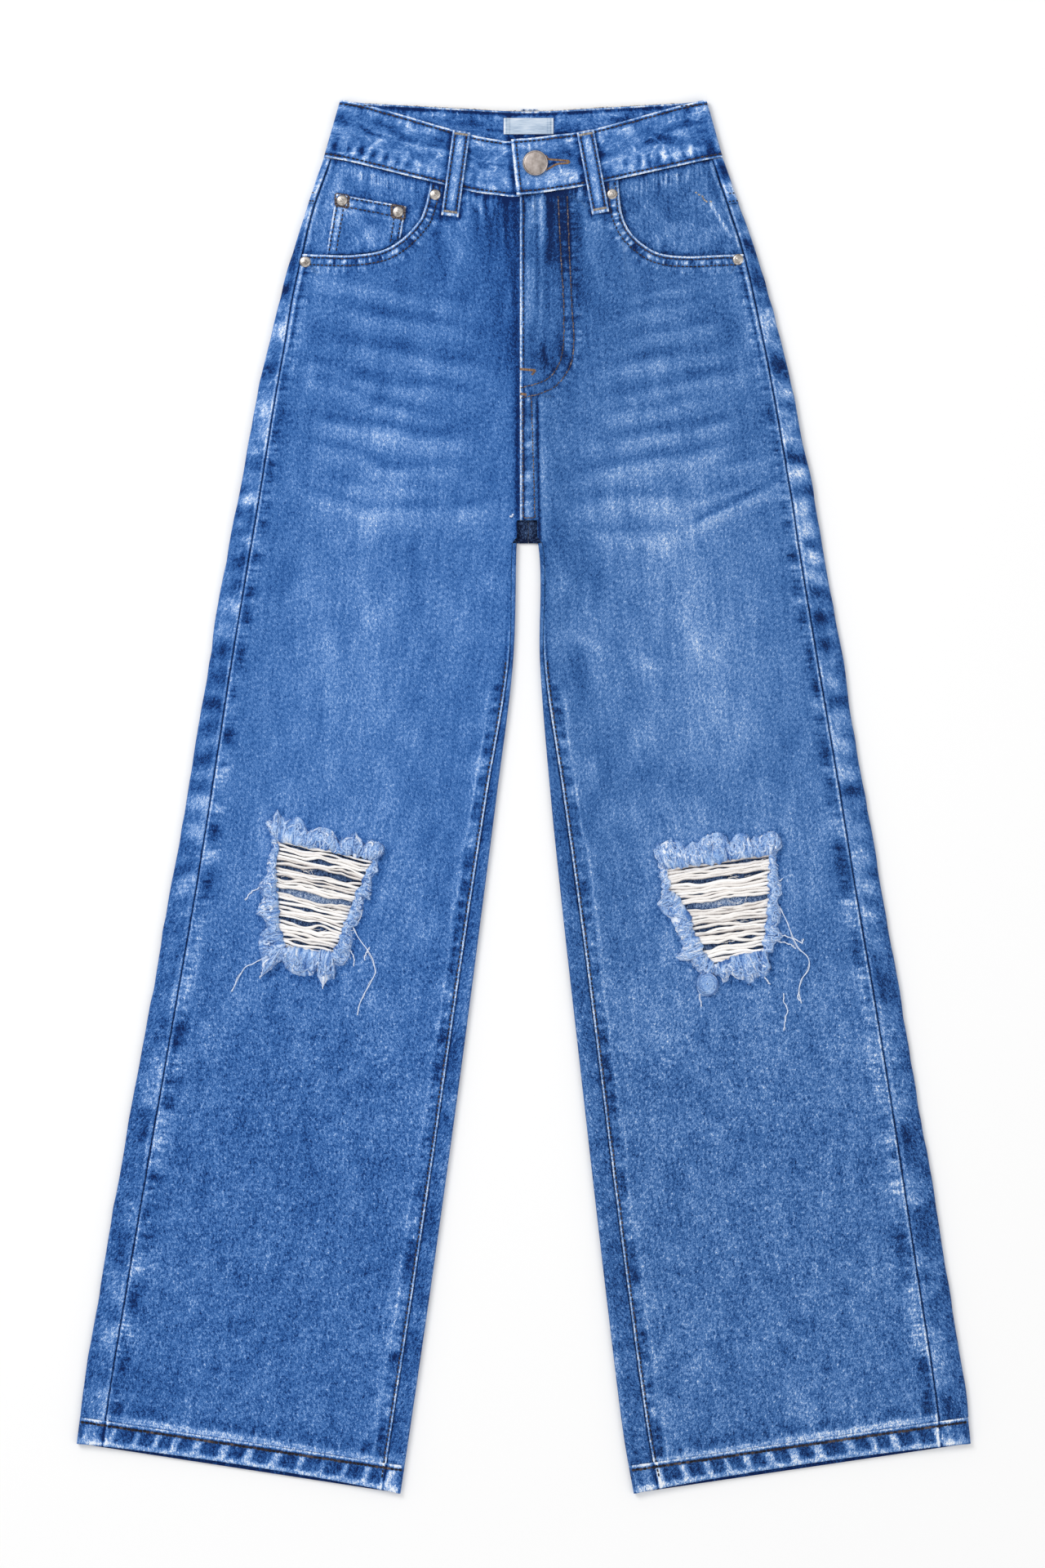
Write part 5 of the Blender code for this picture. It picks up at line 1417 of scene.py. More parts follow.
def back(side):
    place = np.concatenate([
        np.linspace(YOKE_PLACE + YOKE_PLACE_GAP, PLAIN_PLACE, 52)[:-1],
        np.linspace(PLAIN_PLACE, CROTCH_PLACE, 40)[:-1],
        np.linspace(CROTCH_PLACE, HEM_PLACE - END_PLACE_GAP, 226),
    ])
    cloth = Cloth("back_" + side)
    back_blocks(side, place, cloth, seed_of("back", side))
    cloth_object(
        cloth, LEG_DENIM[side], INSIDE, WALL, "back_panel_" + side,
    )


def yoke(side):
    cloth = Cloth("yoke_shell_" + side)
    back_blocks(side, np.linspace(0.0, YOKE_PLACE - YOKE_PLACE_GAP, 18), cloth, seed_of("yoke", side))
    cloth_object(
        cloth, DENIM, INSIDE, WALL, "yoke_" + side,
    )


# Hems


HEM_DOWN = np.array((
    0.0, 0.02, 0.05, 0.09, 0.13, 0.17, 0.21, 0.27, 0.34, 0.42, 0.5, 0.58, 0.66, 0.74, 0.82, 0.89, 0.945,
    0.98, 1.0,
))


# Columns close to a seam, as distances from it
HEM_NEAR_SEAM = np.array((-2.4, -1.2, -0.6, 0.0, 0.5, 1.0, 1.5, 2.1, 3.0))


def hem_looks(side, across, from_top, seams):
    """Slanted pale blocks between the stitched groove, darkened with painted shade, and the worn low edge,
    and a ridge by each seam.
    """
    seed = seed_of("hem", side)
    slant = across + 0.24 * (from_top - 12.0)
    pale = smooth(strokes(slant, 17.4, seed, 2.2) * 1.9 - 0.35)
    body = past(from_top, 3.8, 2.6) * (1 - past(from_top, 15.6, 2.6))
    ragged = mottle(across, from_top, seed + 2, 5.0, 4.0)
    fade_and_shade = bands(from_top, (0.46, 0.5, 1.3), (-0.44, 3.5, 1.2)) + body * (0.70 * pale - 0.30) + 0.08 * ragged
    fade_and_shade += (0.38 + 0.14 * ragged) * band(from_top, 18.2, 2.4)
    height = body * (0.6 * pale - 0.2) + 0.35 * band(from_top, 1.5, 1.4) - 0.3 * band(from_top, 3.4, 0.8)
    for seam, sign in seams:
        way = (across - seam) * sign
        fade_and_shade -= 0.62 * bell(way / 0.9) - 0.62 * band(way, 1.9, 1.1) - 0.50 * band(way, -6.8, 3.4)
        height -= 0.4 * bell(way / 0.8) - 0.35 * band(way, 2.0, 1.6)
    return height, fade_and_shade


def hem(side):
    outer, inner, inward, row = ends_of(side, mix(HEM_PLACE, LAST_PLACE, HEM_DOWN))
    up = ends_of(side, HEM_PLACE)[0][0] - ends_of(side, LAST_PLACE)[0][0]
    up = up / np.linalg.norm(up)
    radius = LEG_DEPTH / 2
    start, end = outer + inward * radius, inner - inward * radius
    width = np.linalg.norm(end - start, axis=1)[:, None]
    seams = row["outseam"][:, None] - radius, width - row["inseam"][:, None] + radius
    near = [seams[0][0, 0] + HEM_NEAR_SEAM, seams[1][0, 0] - HEM_NEAR_SEAM]
    near_all = np.concatenate(near)
    plain = [x for x in np.linspace(0, width[0, 0], 151) if abs(x - near_all).min() > 0.8]
    share = np.sort(np.concatenate([plain, *near])) / width[0, 0]
    across, from_top = width * share[None], HEM_WIDTH * HEM_DOWN[:, None]
    height, fade_and_shade = hem_looks(side, across, from_top, zip(seams, (1.0, -1.0)))
    # The upper face, the fold at the inseam side, the lower face and the fold at the outseam side
    raise_front = 3.2 * HEM_DOWN[:, None] * np.sin(math.pi * share)[None] ** 0.7
    flat_plan = start[:, None] + (end - start)[:, None] * share[None, :, None]
    top_plan = flat_plan + up * raise_front[..., None]
    top = np.dstack([top_plan, LEG_DEPTH + np.maximum(height, -0.45) - 0.5 * past(from_top, 19.4, 1.2)])
    low = np.dstack([flat_plan[:, ::-1], np.zeros(across.shape)])
    angle = np.linspace(0, math.pi, 9)[1:-1]

    def turn(centre, way, angles):
        plan = centre[:, None] + way[:, None] * (radius * np.sin(angles))[None, :, None]
        return np.dstack([plan, np.broadcast_to(radius * (1 + np.cos(angles)), plan.shape[:2])])

    points = np.concatenate([top, turn(end, inward, angle), low, turn(start, -inward, angle[::-1])], axis=1)
    side_fade = mix(fade_and_shade[:, :1], -0.1, 0.6) + np.zeros((len(outer), len(angle)))
    # The back's face darkens towards the opening with painted shade inside the leg
    low_fade = fade_and_shade[:, ::-1] * 0.8 - 0.05 - 0.40 * past(from_top, 13.0, 4.0)
    fade_and_shade = np.hstack([fade_and_shade, side_fade, low_fade, side_fade])
    weave = np.dstack([np.broadcast_to(reach_of(points[0]), fade_and_shade.shape), points[..., 1]])
    cloth = Cloth("hem_band_" + side)
    cloth.add(points, weave, fade_and_shade, marble=0.12, flip=side == "right", wrap=True)
    cloth_object(
        cloth, LEG_DENIM[side], HEM_INSIDE_PAINTED_SHADE, HEM_WALL - 0.4, "hem_" + side,
    )


# Waistband


def band_edge(column):
    """One edge of the band in plan and height, outer face: right end, round the back, to the left end."""
    pick = slice(column, column + 2)
    front_z, back_z = BAND_FRONT_HEIGHT + BAND_WALL / 2, BAND_BACK_HEIGHT - BAND_WALL / 2
    radius = (front_z - back_z) / 2

    def at_height(line, z):
        return np.column_stack([line, np.broadcast_to(z, len(line))])

    def sweep(side):
        """Round the side, from the front to the back."""
        angle = np.linspace(0, math.pi, 9)
        x, y = BAND_SIDE[side][pick]
        x = x - SIGN[side] * radius + SIGN[side] * radius * np.sin(angle)
        return np.column_stack([x, np.full(len(angle), y), back_z + radius * (1 + np.cos(angle))])

    def bridge(start, end):
        return mix(start, end, np.linspace(0, 1, 6)[1:-1, None])

    right = at_height(curve([UNDERLAP[pick]] + [s[pick] for s in BAND_FRONT["right"]], 120), front_z)
    rear = at_height(curve([s[pick] for s in BAND_BACK], 110), back_z)
    left = curve([s[pick] for s in BAND_FRONT["left"]][::-1], 110)
    climb = before(left[:, 0], LAP_RAMP_STARTS, LAP_RAMP_STARTS - LAP_RAMP_ENDS)
    left = at_height(left, mix(front_z, front_z + BAND_LAP_HEIGHT - BAND_FRONT_HEIGHT, climb))
    right_side, left_side = sweep("right"), sweep("left")[::-1]
    return np.vstack([
        right, bridge(right[-1], right_side[0]), right_side, bridge(right_side[-1], rear[0]), rear,
        bridge(rear[-1], left_side[0]), left_side, bridge(left[0], left_side[-1])[::-1], left,
    ])


BAND_SHARES = np.concatenate([
    FINE[:8] / BAND_WIDTH, np.linspace(FINE[8] / BAND_WIDTH, 1 - FINE[8] / BAND_WIDTH, 17),
    1 - FINE[:8][::-1] / BAND_WIDTH,
])


def waistband():
    low, top = band_edge(0), band_edge(2)
    points = low[None] + (top - low)[None] * BAND_SHARES[:, None, None]
    reach, up = reach_of((low + top) / 2)[None], BAND_WIDTH * BAND_SHARES[:, None]
    x, y = points[..., 0], points[..., 1]
    from_edge, from_end = np.minimum(up, BAND_WIDTH - up), np.minimum(reach, reach[:, -1:] - reach)
    slow = rough_noise((reach + 0.5 * up) / 15.0, up / 11.0, 301)
    drape = rough_noise((reach - 1.3 * up) / 26.0, up / 7.0, 303)
    veins = cracks(reach, up, 305, 16.0, 0.08)
    blobs = strokes(reach + 0.06 * up, 9.5, 321, 1.2) * (0.4 + 0.6 * past(np.abs(x), 76.0, 14.0))
    # Painted shade in soft drape troughs across the middle of the band
    fade_and_shade = 0.05 + 0.20 * slow - 0.40 * past(drape, 0.02, 0.30) * band(up, 24.0, 9.0)
    fade_and_shade += 0.34 * veins * smooth(from_edge / 8.0)
    frayed = 0.85 + 0.35 * noise(reach / 3.0, 0.0, 327)
    fade_and_shade = fade_and_shade + 0.60 * frayed * band(from_edge, 0.5, 0.8) - 0.46 * band(from_edge, 2.5, 1.0)
    fade_and_shade += band(up, 9.0, 4.6) * (0.24 - 0.86 * blobs) + 0.12 * band(BAND_WIDTH - up, 6.5, 3.0) * (1 + slow)
    fade_and_shade = np.where(from_edge > 3.0, np.minimum(fade_and_shade, 0.30), fade_and_shade)
    # The upper side swells and dips, the underside only dips, and both have grooves and soft rims
    puff = 0.5 * slow * smooth(from_edge / 6.0) - 0.35 * blobs * band(up, 8.8, 3.6)
    groove = 0.35 * band(from_edge, 2.5, 0.7)
    rim = 0.6 * (1 - smooth(from_edge / 1.5))
    facing_up = np.sign(points[..., 2] - (BAND_BACK_HEIGHT + BAND_FRONT_HEIGHT) / 2)
    rise = np.where(facing_up > 0, puff, np.minimum(puff, 0.0))
    points[..., 2] += rise * facing_up - (groove + rim) * facing_up
    # Painted shade beside the belt loops
    fade_and_shade -= 0.42 * beside_loops(x, y) * (facing_up > 0)
    wide = mix(1.5, 0.95, up / BAND_WIDTH)
    fade_and_shade += 0.72 * band(from_end, 0.8 * wide, wide) - 0.40 * band(from_end, 3.3, 1.1)
    # Painted shade on the underlap beside the lap's end, and painted shade in the slit of the buttonhole
    beside = np.interp(y, *LAP_END_LINE) - x
    fade_and_shade -= 0.46 * band(beside, 1.4, 2.2) * (reach < reach[:, -1:] / 2)
    fade_and_shade -= 0.55 * bell(near_line(BUTTONHOLE_SLIT, x, y)[0] / 1.4) * (facing_up > 0)
    up, reach = np.broadcast_to(up, fade_and_shade.shape), np.broadcast_to(reach, fade_and_shade.shape)
    cloth = Cloth("waistband_strip")
    cloth.add(points, np.dstack([up, reach]), fade_and_shade, seam=np.dstack([reach, up]),
        pucker=0.16 * band(from_edge, 6.0, 4.0),
              marble=0.36, flip=True)
    cloth_object(
        cloth, BAND_DENIM, BAND_INSIDE, BAND_WALL - 0.3, "waistband",
    )


# Pockets


def coons(top, right, bottom, left, across, down):
    """A patch between four edges: top and bottom run outwards to inwards, left and right run downwards."""
    top, bottom = evenly(top, across), evenly(bottom, across)
    left, right = evenly(left, down), evenly(right, down)
    s, t = np.linspace(0, 1, across + 1)[None, :, None], np.linspace(0, 1, down + 1)[:, None, None]
    ruled = mix(top[None], bottom[None], t) + mix(left[:, None], right[:, None], s)
    corners = mix(mix(top[0], top[-1], s), mix(bottom[0], bottom[-1], s), t)
    return ruled - corners


def flat_piece(name, plan, height, fade_and_shade, wall, node, under=False, seam=None, pucker=0.0,
               marble=0.0, outside=DENIM):
    """A patch of cloth from its plan points and the height of its outer face."""
    cloth = Cloth(name)
    points = np.dstack([plan, np.broadcast_to(height, plan.shape[:2])])
    cloth.add(points, plan - plan.mean(axis=(0, 1)), fade_and_shade, seam=seam, pucker=pucker, marble=marble)
    cloth.face(up=not under)
    cloth_object(cloth, outside, INSIDE, wall, node)


def spread(line, centre, factor):
    """A line scaled about a centre."""
    return np.asarray(centre) + (np.asarray(line) - np.asarray(centre)) * factor


def facing_plan(side):
    """The pocket facing from the waist to below the mouth, and its edge along the outseam."""
    low = spread(curve(POCKET_MOUTH[side][1:-1], 40), POCKET_CENTRE[side], 1.24)
    outer = outseam(side, np.linspace(0.06, 2.4, 14), SEAM_GAP / 2)
    outer[0, 1] = waist_low(outer[0, 0]) - SEAM_GAP
    x = np.linspace(outer[0, 0], POCKET_MOUTH[side][-1][0] - SIGN[side] * 12.0, 30)
    top = np.column_stack([x, waist_low(x) - SEAM_GAP])
    half = len(low) // 2
    right = np.vstack([top[-1:], low[::-1][:half + 1]])
    bottom = np.vstack([outer[-1:], low[:half + 1]])
    return coons(top, right, bottom, outer, 64, 52), outer


def facing(side):
    plan, outer = facing_plan(side)
    x, y = plan[..., 0], plan[..., 1]
    seed = seed_of("facing", side)
    drop = waist_low(x) - y
    drips = noise(x / 2.4, y / 60.0, seed + 1)
    hang = smooth(1.0 - drop / (9.0 + 5.0 * noise(x / 6.0, 0.0, seed + 2)))
    to_side, _ = near_line(outer, x, y)
    far, _ = near_line(mouth_line(side, 30), x, y)
    fade_and_shade = 0.13 * mottle(x, y, seed, 12.0, 14.0) + (0.04 if side == "right" else -0.02)
    fade_and_shade += spot(np.abs(x), drop, (106.0, 8.0), (21.0, 3.6)) * (0.12 + 0.08 * drips) + 0.04 * hang
    # Painted shade just below the waistband, and a dark line along the side seam
    fade_and_shade -= bands(drop, (0.08, 22.0, 8.0), (0.40, 0.6, 2.2)) + 0.45 * bell(to_side / 0.8)
    fade_and_shade += bands(to_side, (0.36, 1.9, 0.9), (-0.10, 4.5, 2.0))
    fade_and_shade += 0.16 * spot(to_side, drop, (11.0, 22.0), (3.5, 24.0)) - 0.26 * band(far, 0.5, 2.6)
    if side == "right":
        # Painted shadow of the coin pocket, cast down and to the right
        around, _ = near_line(np.array((COIN_TOP[0], COIN_TOP[1], COIN_RIGHT[1])) + (1.0, -0.4), x, y)
        fade_and_shade -= 0.34 * bell(around / 1.8)
    else:
        scratch, _ = near_line(FACING_SCRATCH, x, y)
        fade_and_shade += 0.55 * bell(scratch)
    puff = 0.25 * (1 + noise(x / 22.0, y / 22.0, seed + 2)) * smooth(to_side / 8.0) * smooth(drop / 6.0) * 0.6
    pucker = 0.05 + 0.26 * spot(np.abs(x), drop, (106.0, 8.0), (26.0, 5.0))
    flat_piece(
        "facing_" + side, plan, FACING_HEIGHT + WALL + puff * smooth(far / 5.0), fade_and_shade, WALL,
        "pocket_facing_" + side,
        seam=np.dstack([2.0 * x, 0.5 * drop]), pucker=pucker,
        marble=0.16, outside=LEG_DENIM[side],
    )


COIN_TOP = ((-140.0, 450.5), (-87.8, 441.0))
COIN_RIGHT = ((-87.8, 441.0), (-91.9, 418.2))
COIN_LOW = ((-147.6, 405.8), (-128.2, 405.6), (-106.2, 408.9), (-91.9, 418.2))


def coin_pocket():
    low_line, side_line = curve(COIN_LOW, 30), (COIN_TOP[0], COIN_LOW[0])
    plan = coons(COIN_TOP, COIN_RIGHT, low_line, side_line, 60, 48)
    x, y = plan[..., 0], plan[..., 1]
    from_top, walked = near_line(COIN_TOP, x, y)
    sides = np.minimum(near_line(COIN_RIGHT, x, y)[0], near_line(side_line, x, y)[0])
    low, _ = near_line(low_line, x, y)
    fade_and_shade = 0.09 * mottle(x, y, 260, 9.0, 10.0) + 0.03 - 0.30 * bell(low / 2.0)
    fade_and_shade += bands(sides, (0.62, 0.4, 0.9), (-0.34, 2.1, 0.8), (-0.16, 6.8, 1.2))
    fade_and_shade += bands(from_top, (0.62, 0.4, 0.9), (-0.30, 2.2, 0.8), (0.12, 5.4, 2.2), (-0.26, 8.4, 0.9))
    fade_and_shade += 0.24 * band(from_top, 11.0, 1.3) * (0.7 + 0.4 * noise(walked / 5.0, 0, 261))
    fade_and_shade += 0.34 * band(sides, 4.4, 2.2) * (x < -125.0)
    puff = 0.3 * (1 - past(from_top, 9.0, 2.0)) - 0.4 * (1 - smooth(np.minimum(from_top, sides) / 1.0))
    seam = np.dstack([np.where(sides < from_top, y, walked + 200.0), np.minimum(sides, from_top)])
    pucker = 0.26 * band(from_top, 5.4, 2.4) + 0.12 * band(sides, 4.6, 3.0)
    flat_piece(
        "coin_patch", plan, ON_FACING + WALL + puff, fade_and_shade, WALL, "coin_pocket",
        seam=seam, pucker=pucker, marble=0.20,
    )


BACK_POCKET = ((-64.0, 71.0), (64.0, 71.0), (57.0, -60.0), (0.0, -76.0), (-57.0, -60.0))
BACK_POCKET_AT = {"right": (-92.0, 316.0), "left": (97.0, 316.0)}


def turned(pairs, degrees, at):
    """Plan points turned about the origin and moved."""
    angle = math.radians(degrees)
    matrix = np.array(((math.cos(angle), math.sin(angle)), (-math.sin(angle), math.cos(angle))))
    return np.asarray(pairs, float) @ matrix + np.asarray(at)


def back_pocket_outline(side):
    return turned(BACK_POCKET, SIGN[side] * 3.0, BACK_POCKET_AT[side])


def back_pocket(side):
    a, b, c, d, e = back_pocket_outline(side)
    plan = coons((a, b), (b, c), (e, d, c), (a, e), 44, 50)
    x, y = plan[..., 0], plan[..., 1]
    ring, walked = near_line((a, e, d, c, b), x, y)
    top, _ = near_line((a, b), x, y)
    seed = seed_of("back pocket", side)
    fade_and_shade = 0.07 * rough_noise(x / 26.0, y / 34.0, seed) + 0.26 * bell(ring / 0.9) + 0.24 * bell(top / 0.9)
    fade_and_shade += band(ring, 4.0, 2.6) * (0.22 * noise(walked / 4.0, 0, seed + 1) - 0.06)
    fade_and_shade += 0.08 * spot(x, y, (BACK_POCKET_AT[side][0], 320.0), (40.0, 50.0))
    flat_piece(
        "rear_pocket_" + side, plan, 0.0, fade_and_shade, 1.2, "back_pocket_" + side,
        under=True,
    )


# Belt loops and label

Loop = namedtuple("Loop", "top_x top_y low_x low_y")
FRONT_LOOPS = {"right": Loop(-46.4, 496.9, -55.2, 433.7), "left": Loop(46.0, 496.9, 57.5, 435.9)}
BACK_LOOPS = {
    "right": Loop(-92.0, 517.2, -96.0, 455.0), "left": Loop(98.0, 517.2, 102.0, 455.0),
    "centre": Loop(4.3, 514.6, 3.5, 452.0),
}
LOOP_ARCH = 0.9
ON_BAND = BAND_FRONT_HEIGHT + BAND_WALL / 2 + SEAM_GAP


def loop_frame(loop):
    """A belt loop's top middle, its directions down and across, and its length."""
    top, low = np.array(loop[:2]), np.array(loop[2:])
    down = low - top
    length = np.linalg.norm(down)
    down = down / length
    return top, down, np.array((-down[1], down[0])), length


def belt_loop(name, loop, node, front_side, seed):
    top, down, across, length = loop_frame(loop)
    half = LOOP_WIDTH / 2 - np.array((0.0, 0.5, 1.0, 1.6, 2.2, 2.8, 3.6, 4.6))
    s, t = np.concatenate([-half, (-0.6, 0.6), half[::-1]])[None], np.linspace(0, length, 50)[:, None]
    plan = top + down * t[..., None] + across * s[..., None]
    shape = plan.shape[:2]
    from_edge, from_end = LOOP_WIDTH / 2 - np.abs(s), np.minimum(t, length - t)
    crown = 0.25 * bell(s / 3.0) - 0.25 * band(from_edge, 2.2, 0.7) - 0.55 * (1 - smooth(from_edge / 1.2))
    crown = crown - 0.3 * (1 - smooth(from_end))
    if front_side:
        # It arches over the waistband and comes down to the front below it
        on_front = SEAT_FRONT + SEAM_GAP
        heights = (ON_BAND, ON_BAND + LOOP_ARCH / 2, ON_BAND + LOOP_ARCH, ON_BAND + LOOP_ARCH,
                   ON_BAND + LOOP_ARCH / 2, mix(ON_BAND, on_front, 0.3), on_front, on_front)
        z = np.interp(t / length, np.arange(8) / 7, heights) + LOOP_WALL + 0.25 + crown
    else:
        z = 0.0 - np.minimum(crown, 0.0)
    fade_and_shade = 0.36 * bell(s / 2.6) * (0.8 + 0.5 * noise(t / 7.0, 0, seed)) + 0.04
    fade_and_shade = fade_and_shade + bands(from_edge, (0.44, 0.5, 0.8), (-0.40, 2.4, 1.0))
    fade_and_shade = fade_and_shade + 0.12 * rough_noise(s / 3.0, t / 6.0, seed + 1)
    fade_and_shade += 0.48 * band(length - t, 1.2, 1.8) + 0.4 * band(t, 0.4, 0.9) - 0.24 * band(from_end, 4.4, 1.2)
    s, t, z = (np.broadcast_to(values, shape) for values in (s, t, z))
    cloth = Cloth(name)
    cloth.add(np.dstack([plan, z]), np.dstack([s, t]), fade_and_shade)
    cloth.face(up=front_side)
    cloth_object(cloth, DENIM, INSIDE, LOOP_WALL - 0.2, node)


# The label's left and right edges, low and top edges, rise over the band, rib pitch and wall
LABEL = (-15.0, 22.3, 495.2, 507.4)
LABEL_RISE, LABEL_RIB, LABEL_WALL = 0.55, 1.6, 0.5


def waist_label():
    x0, x1, y0, y1 = LABEL
    s, t = np.meshgrid(np.linspace(x0, x1, 64), np.linspace(y0, y1, 24))
    from_side = np.minimum(s - x0, x1 - s)
    edge = np.minimum(from_side, np.minimum(t - y0, y1 - t))
    base = BAND_BACK_HEIGHT + BAND_WALL / 2 + SEAM_GAP + LABEL_RISE
    z = base + 0.12 * np.sin(t * TURN / LABEL_RIB) * smooth(edge / 2.0) + 0.10 * noise(s / 9.0, t / 7.0, 330)
    z = z + 0.25 * band(s - x0, 3.0, 1.0) + 0.25 * band(x1 - s, 3.0, 1.0) - 0.25 * (1 - smooth(edge / 0.8))
    shade = Shade("label_cloth", 0.7, sheen=0.3)
    rows = shade.noise(shade.object_place(), (0.12 / MM, 1.6 / MM, 1.0))
    factor = shade.sum(0.5, (rows, 0.9, 0.5), (shade.attribute("fade_and_shade"), 1.0, 0.0))
    shade.ramp(factor, ramp_of((0.0, 104, 130, 160), (0.5, 178, 194, 212), (1.0, 226, 232, 240)))
    shade.bump(rows, 0.2 * MM, 0.6)
    faces = quads_of(np.arange(s.size).reshape(s.shape)).reshape(-1, 4)
    made = mesh_object("label_patch", np.dstack([s, t, z]).reshape(-1, 3), faces, shade.material)
    lines = bands(from_side, (0.30, 0.6, 0.7), (-0.26, 2.2, 0.6), (-0.20, 4.4, 0.6))
    lines += 0.16 * bell(edge / 0.8) + 0.14 * noise(s / 8.0, t / 5.0, 331)
    attribute(made, "fade_and_shade", lines.reshape(-1))
    thicken(made, LABEL_WALL)
    stand_for(made, "label", "waist_label")
    return made


# Stitches


def surface_tree():
    """All the cloth laid so far, for finding its height."""
    points, faces, start = [], [], 0
    for block, quads in SURFACES:
        points.append(block)
        faces.append(quads + start)
        start += len(block)
    return BVHTree.FromPolygons(np.vstack(points).tolist(), np.vstack(faces).tolist())


def seat_on(tree, points, above=True):
    """Heights of the cloth at plan points, seen from above or from below."""
    way = Vector((0, 0, -1)) if above else Vector((0, 0, 1))
    heights = []
    for x, y in points:
        hit = tree.ray_cast(Vector((x, y, RAY_START if above else -RAY_START)), way)[0]
        heights.append(hit.z if hit else np.nan)
    return np.array(heights)


RAY_START = 60.0
# A stitch's rings: place along its length, share of its width, height
STITCH_RINGS = ((-0.5, 0.3, -0.25), (-0.25, 1.0, 0.05), (0.25, 1.0, 0.05), (0.5, 0.3, -0.25))
SIDES_OF_STITCH = 4


class Stitching:
    """Many small lens-shaped stitches in one mesh."""

    def __init__(self, name, tree):
        self.name, self.tree, self.points, self.faces, self.tone, self.count = name, tree, [], [], [], 0

    def row(self, line, pitch=3.3, length=2.5, width=1.0, above=True, wander=0.12, skip=()):
        steps = max(2, round(line_length(line) / pitch))
        line = evenly(line, steps * 2)
        ends, middle = line[::2], line[1::2]
        along = unit(ends[1:] - ends[:-1])
        middle = middle + rng.normal(0, wander, middle.shape)
        good = np.ones(len(middle), bool)
        for outline in skip:
            good &= ~inside(outline, middle[:, 0], middle[:, 1])
        self.place(middle, along, length, width, above, good)

    def place(self, middle, along, length, width, above=True, wanted=True):
        """Stitches at plan points, where there is cloth under them."""
        z = seat_on(self.tree, middle, above)
        good = ~np.isnan(z) & wanted
        middle, z, along = middle[good], z[good], along[good]
        count = len(middle)
        turn = rng.normal(0, 0.06, count)
        along = np.column_stack([
            along[:, 0] * np.cos(turn) - along[:, 1] * np.sin(turn),
            along[:, 0] * np.sin(turn) + along[:, 1] * np.cos(turn),
        ])
        side = np.column_stack([-along[:, 1], along[:, 0]])
        up = 1.0 if above else -1.0
        angle = round_angles(SIDES_OF_STITCH)
        rings = []
        for share, fat, sink in STITCH_RINGS:
            centre = middle + along * (share * length)
            across = side[:, None] * (np.cos(angle) * fat * width / 2)[None, :, None]
            high = z[:, None] + up * (sink + 0.12 + np.sin(angle)[None] * fat * width * 0.4)
            rings.append(np.dstack([centre[:, None] + across, high]))
        index = np.arange(len(STITCH_RINGS) * SIDES_OF_STITCH).reshape(-1, SIDES_OF_STITCH)
        starts = self.count + np.arange(count) * index.size
        quads = quads_of(index, wrap=True).reshape(-1, 4)[None] + starts[:, None, None]
        self.faces += quads.reshape(-1, 4).tolist()
        for cap in (index[0, ::-1], index[-1]):
            self.faces += (cap[None] + starts[:, None]).tolist()
        self.points.append(np.stack(rings, axis=1).reshape(-1, 3))
        self.tone.append(np.repeat(rng.uniform(0.2, 0.8, count), index.size))
        self.count += count * index.size

    def finish(self, material):
        made = mesh_object(self.name, np.vstack(self.points), self.faces, material)
        attribute(made, "tone", np.concatenate(self.tone))
        stand_for(made, "thread")


def left_of(ways):
    """Plan directions turned a quarter turn to the left."""
    return np.column_stack([-ways[:, 1], ways[:, 0]])


def offset(line, distance):
    """A plan line moved to its left by a distance."""
    line = np.asarray(line, float)
    return line + left_of(unit(np.gradient(line, axis=0))) * distance


# Each mesh of stitches by its name, with its thread
THREADS = {
    "brown": THREAD, "gold": GOLD, "beige": BEIGE, "fly": TAN, "underside": THREAD, "hems": HEM_THREAD,
}


FLY_STITCH = {"pitch": 2.6, "length": 2.4, "width": 0.9}


def inseam_line(side, low, high, clear):
    return inseam(side, np.linspace(low, high, 200), clear)


def sew(tree):
    """All the topstitching, one mesh for each thread."""
    stitches = {name: Stitching("stitching_" + name, tree) for name in THREADS}
    dark, gold, beige, fly, under, hems = stitches.values()
    for side in SIDES:
        mouth = mouth_line(side)
        for distance in (2.3, 7.7):
            dark.row(offset(mouth[1:-1], SIGN[side] * distance), pitch=3.0, length=2.5, width=1.0)
        dark.row(inseam_line(side, CROTCH_PLACE + 1.0, LAST_PLACE - 0.22, 2.1), pitch=3.4, length=2.9,
            width=1.25)
        hems.row(hem_stitch_line(side), pitch=2.9, length=3.1, width=2.0)
        under.row(hem_stitch_line(side), above=False, width=0.8)
        waist_rows(dark, under, side)
        loop_rows(dark, beige, FRONT_LOOPS[side], True)
        for name in ("centre", side) if side == "left" else (side,):
            loop_rows(under, under, BACK_LOOPS[name], False)
        back_pocket_rows(under, side)
        yoke_rows(dark, under, side)
    back_rim(beige)
    sew_middle(dark, fly, under)
    sew_coin_pocket(dark)
    for start, end, spacing in (
        ((-2.6, 319.5), (8.4, 318.6), 0.4), ((8.6, 318.4), (6.2, 315.4), 0.5),
        ((-2.4, 301.0), (1.8, 300.4), 0.4),
    ):
        bar_tack(gold, start, end, spacing)
    for x, y in (RIVETS["rivet_coin_outer"], RIVETS["rivet_coin_inner"]):
        for way in (-1.0, 1.0):
            bar_tack(fly, (x + way * 4.6, y - 4.0 - 0.8 * way), (x + way * 4.8, y + 4.0 - 0.8 * way), 0.5)
            bar_tack(fly, (x - 4.4, y + way * 4.4 + 0.8), (x + 4.4, y + way * 4.4 - 0.8), 0.5)
    buttonhole(gold)
    beige.row(curve(LOOSE_END, 12), pitch=2.0, length=1.9, width=1.2, wander=0.7)
    for name, material in THREADS.items():
        stitches[name].finish(material)


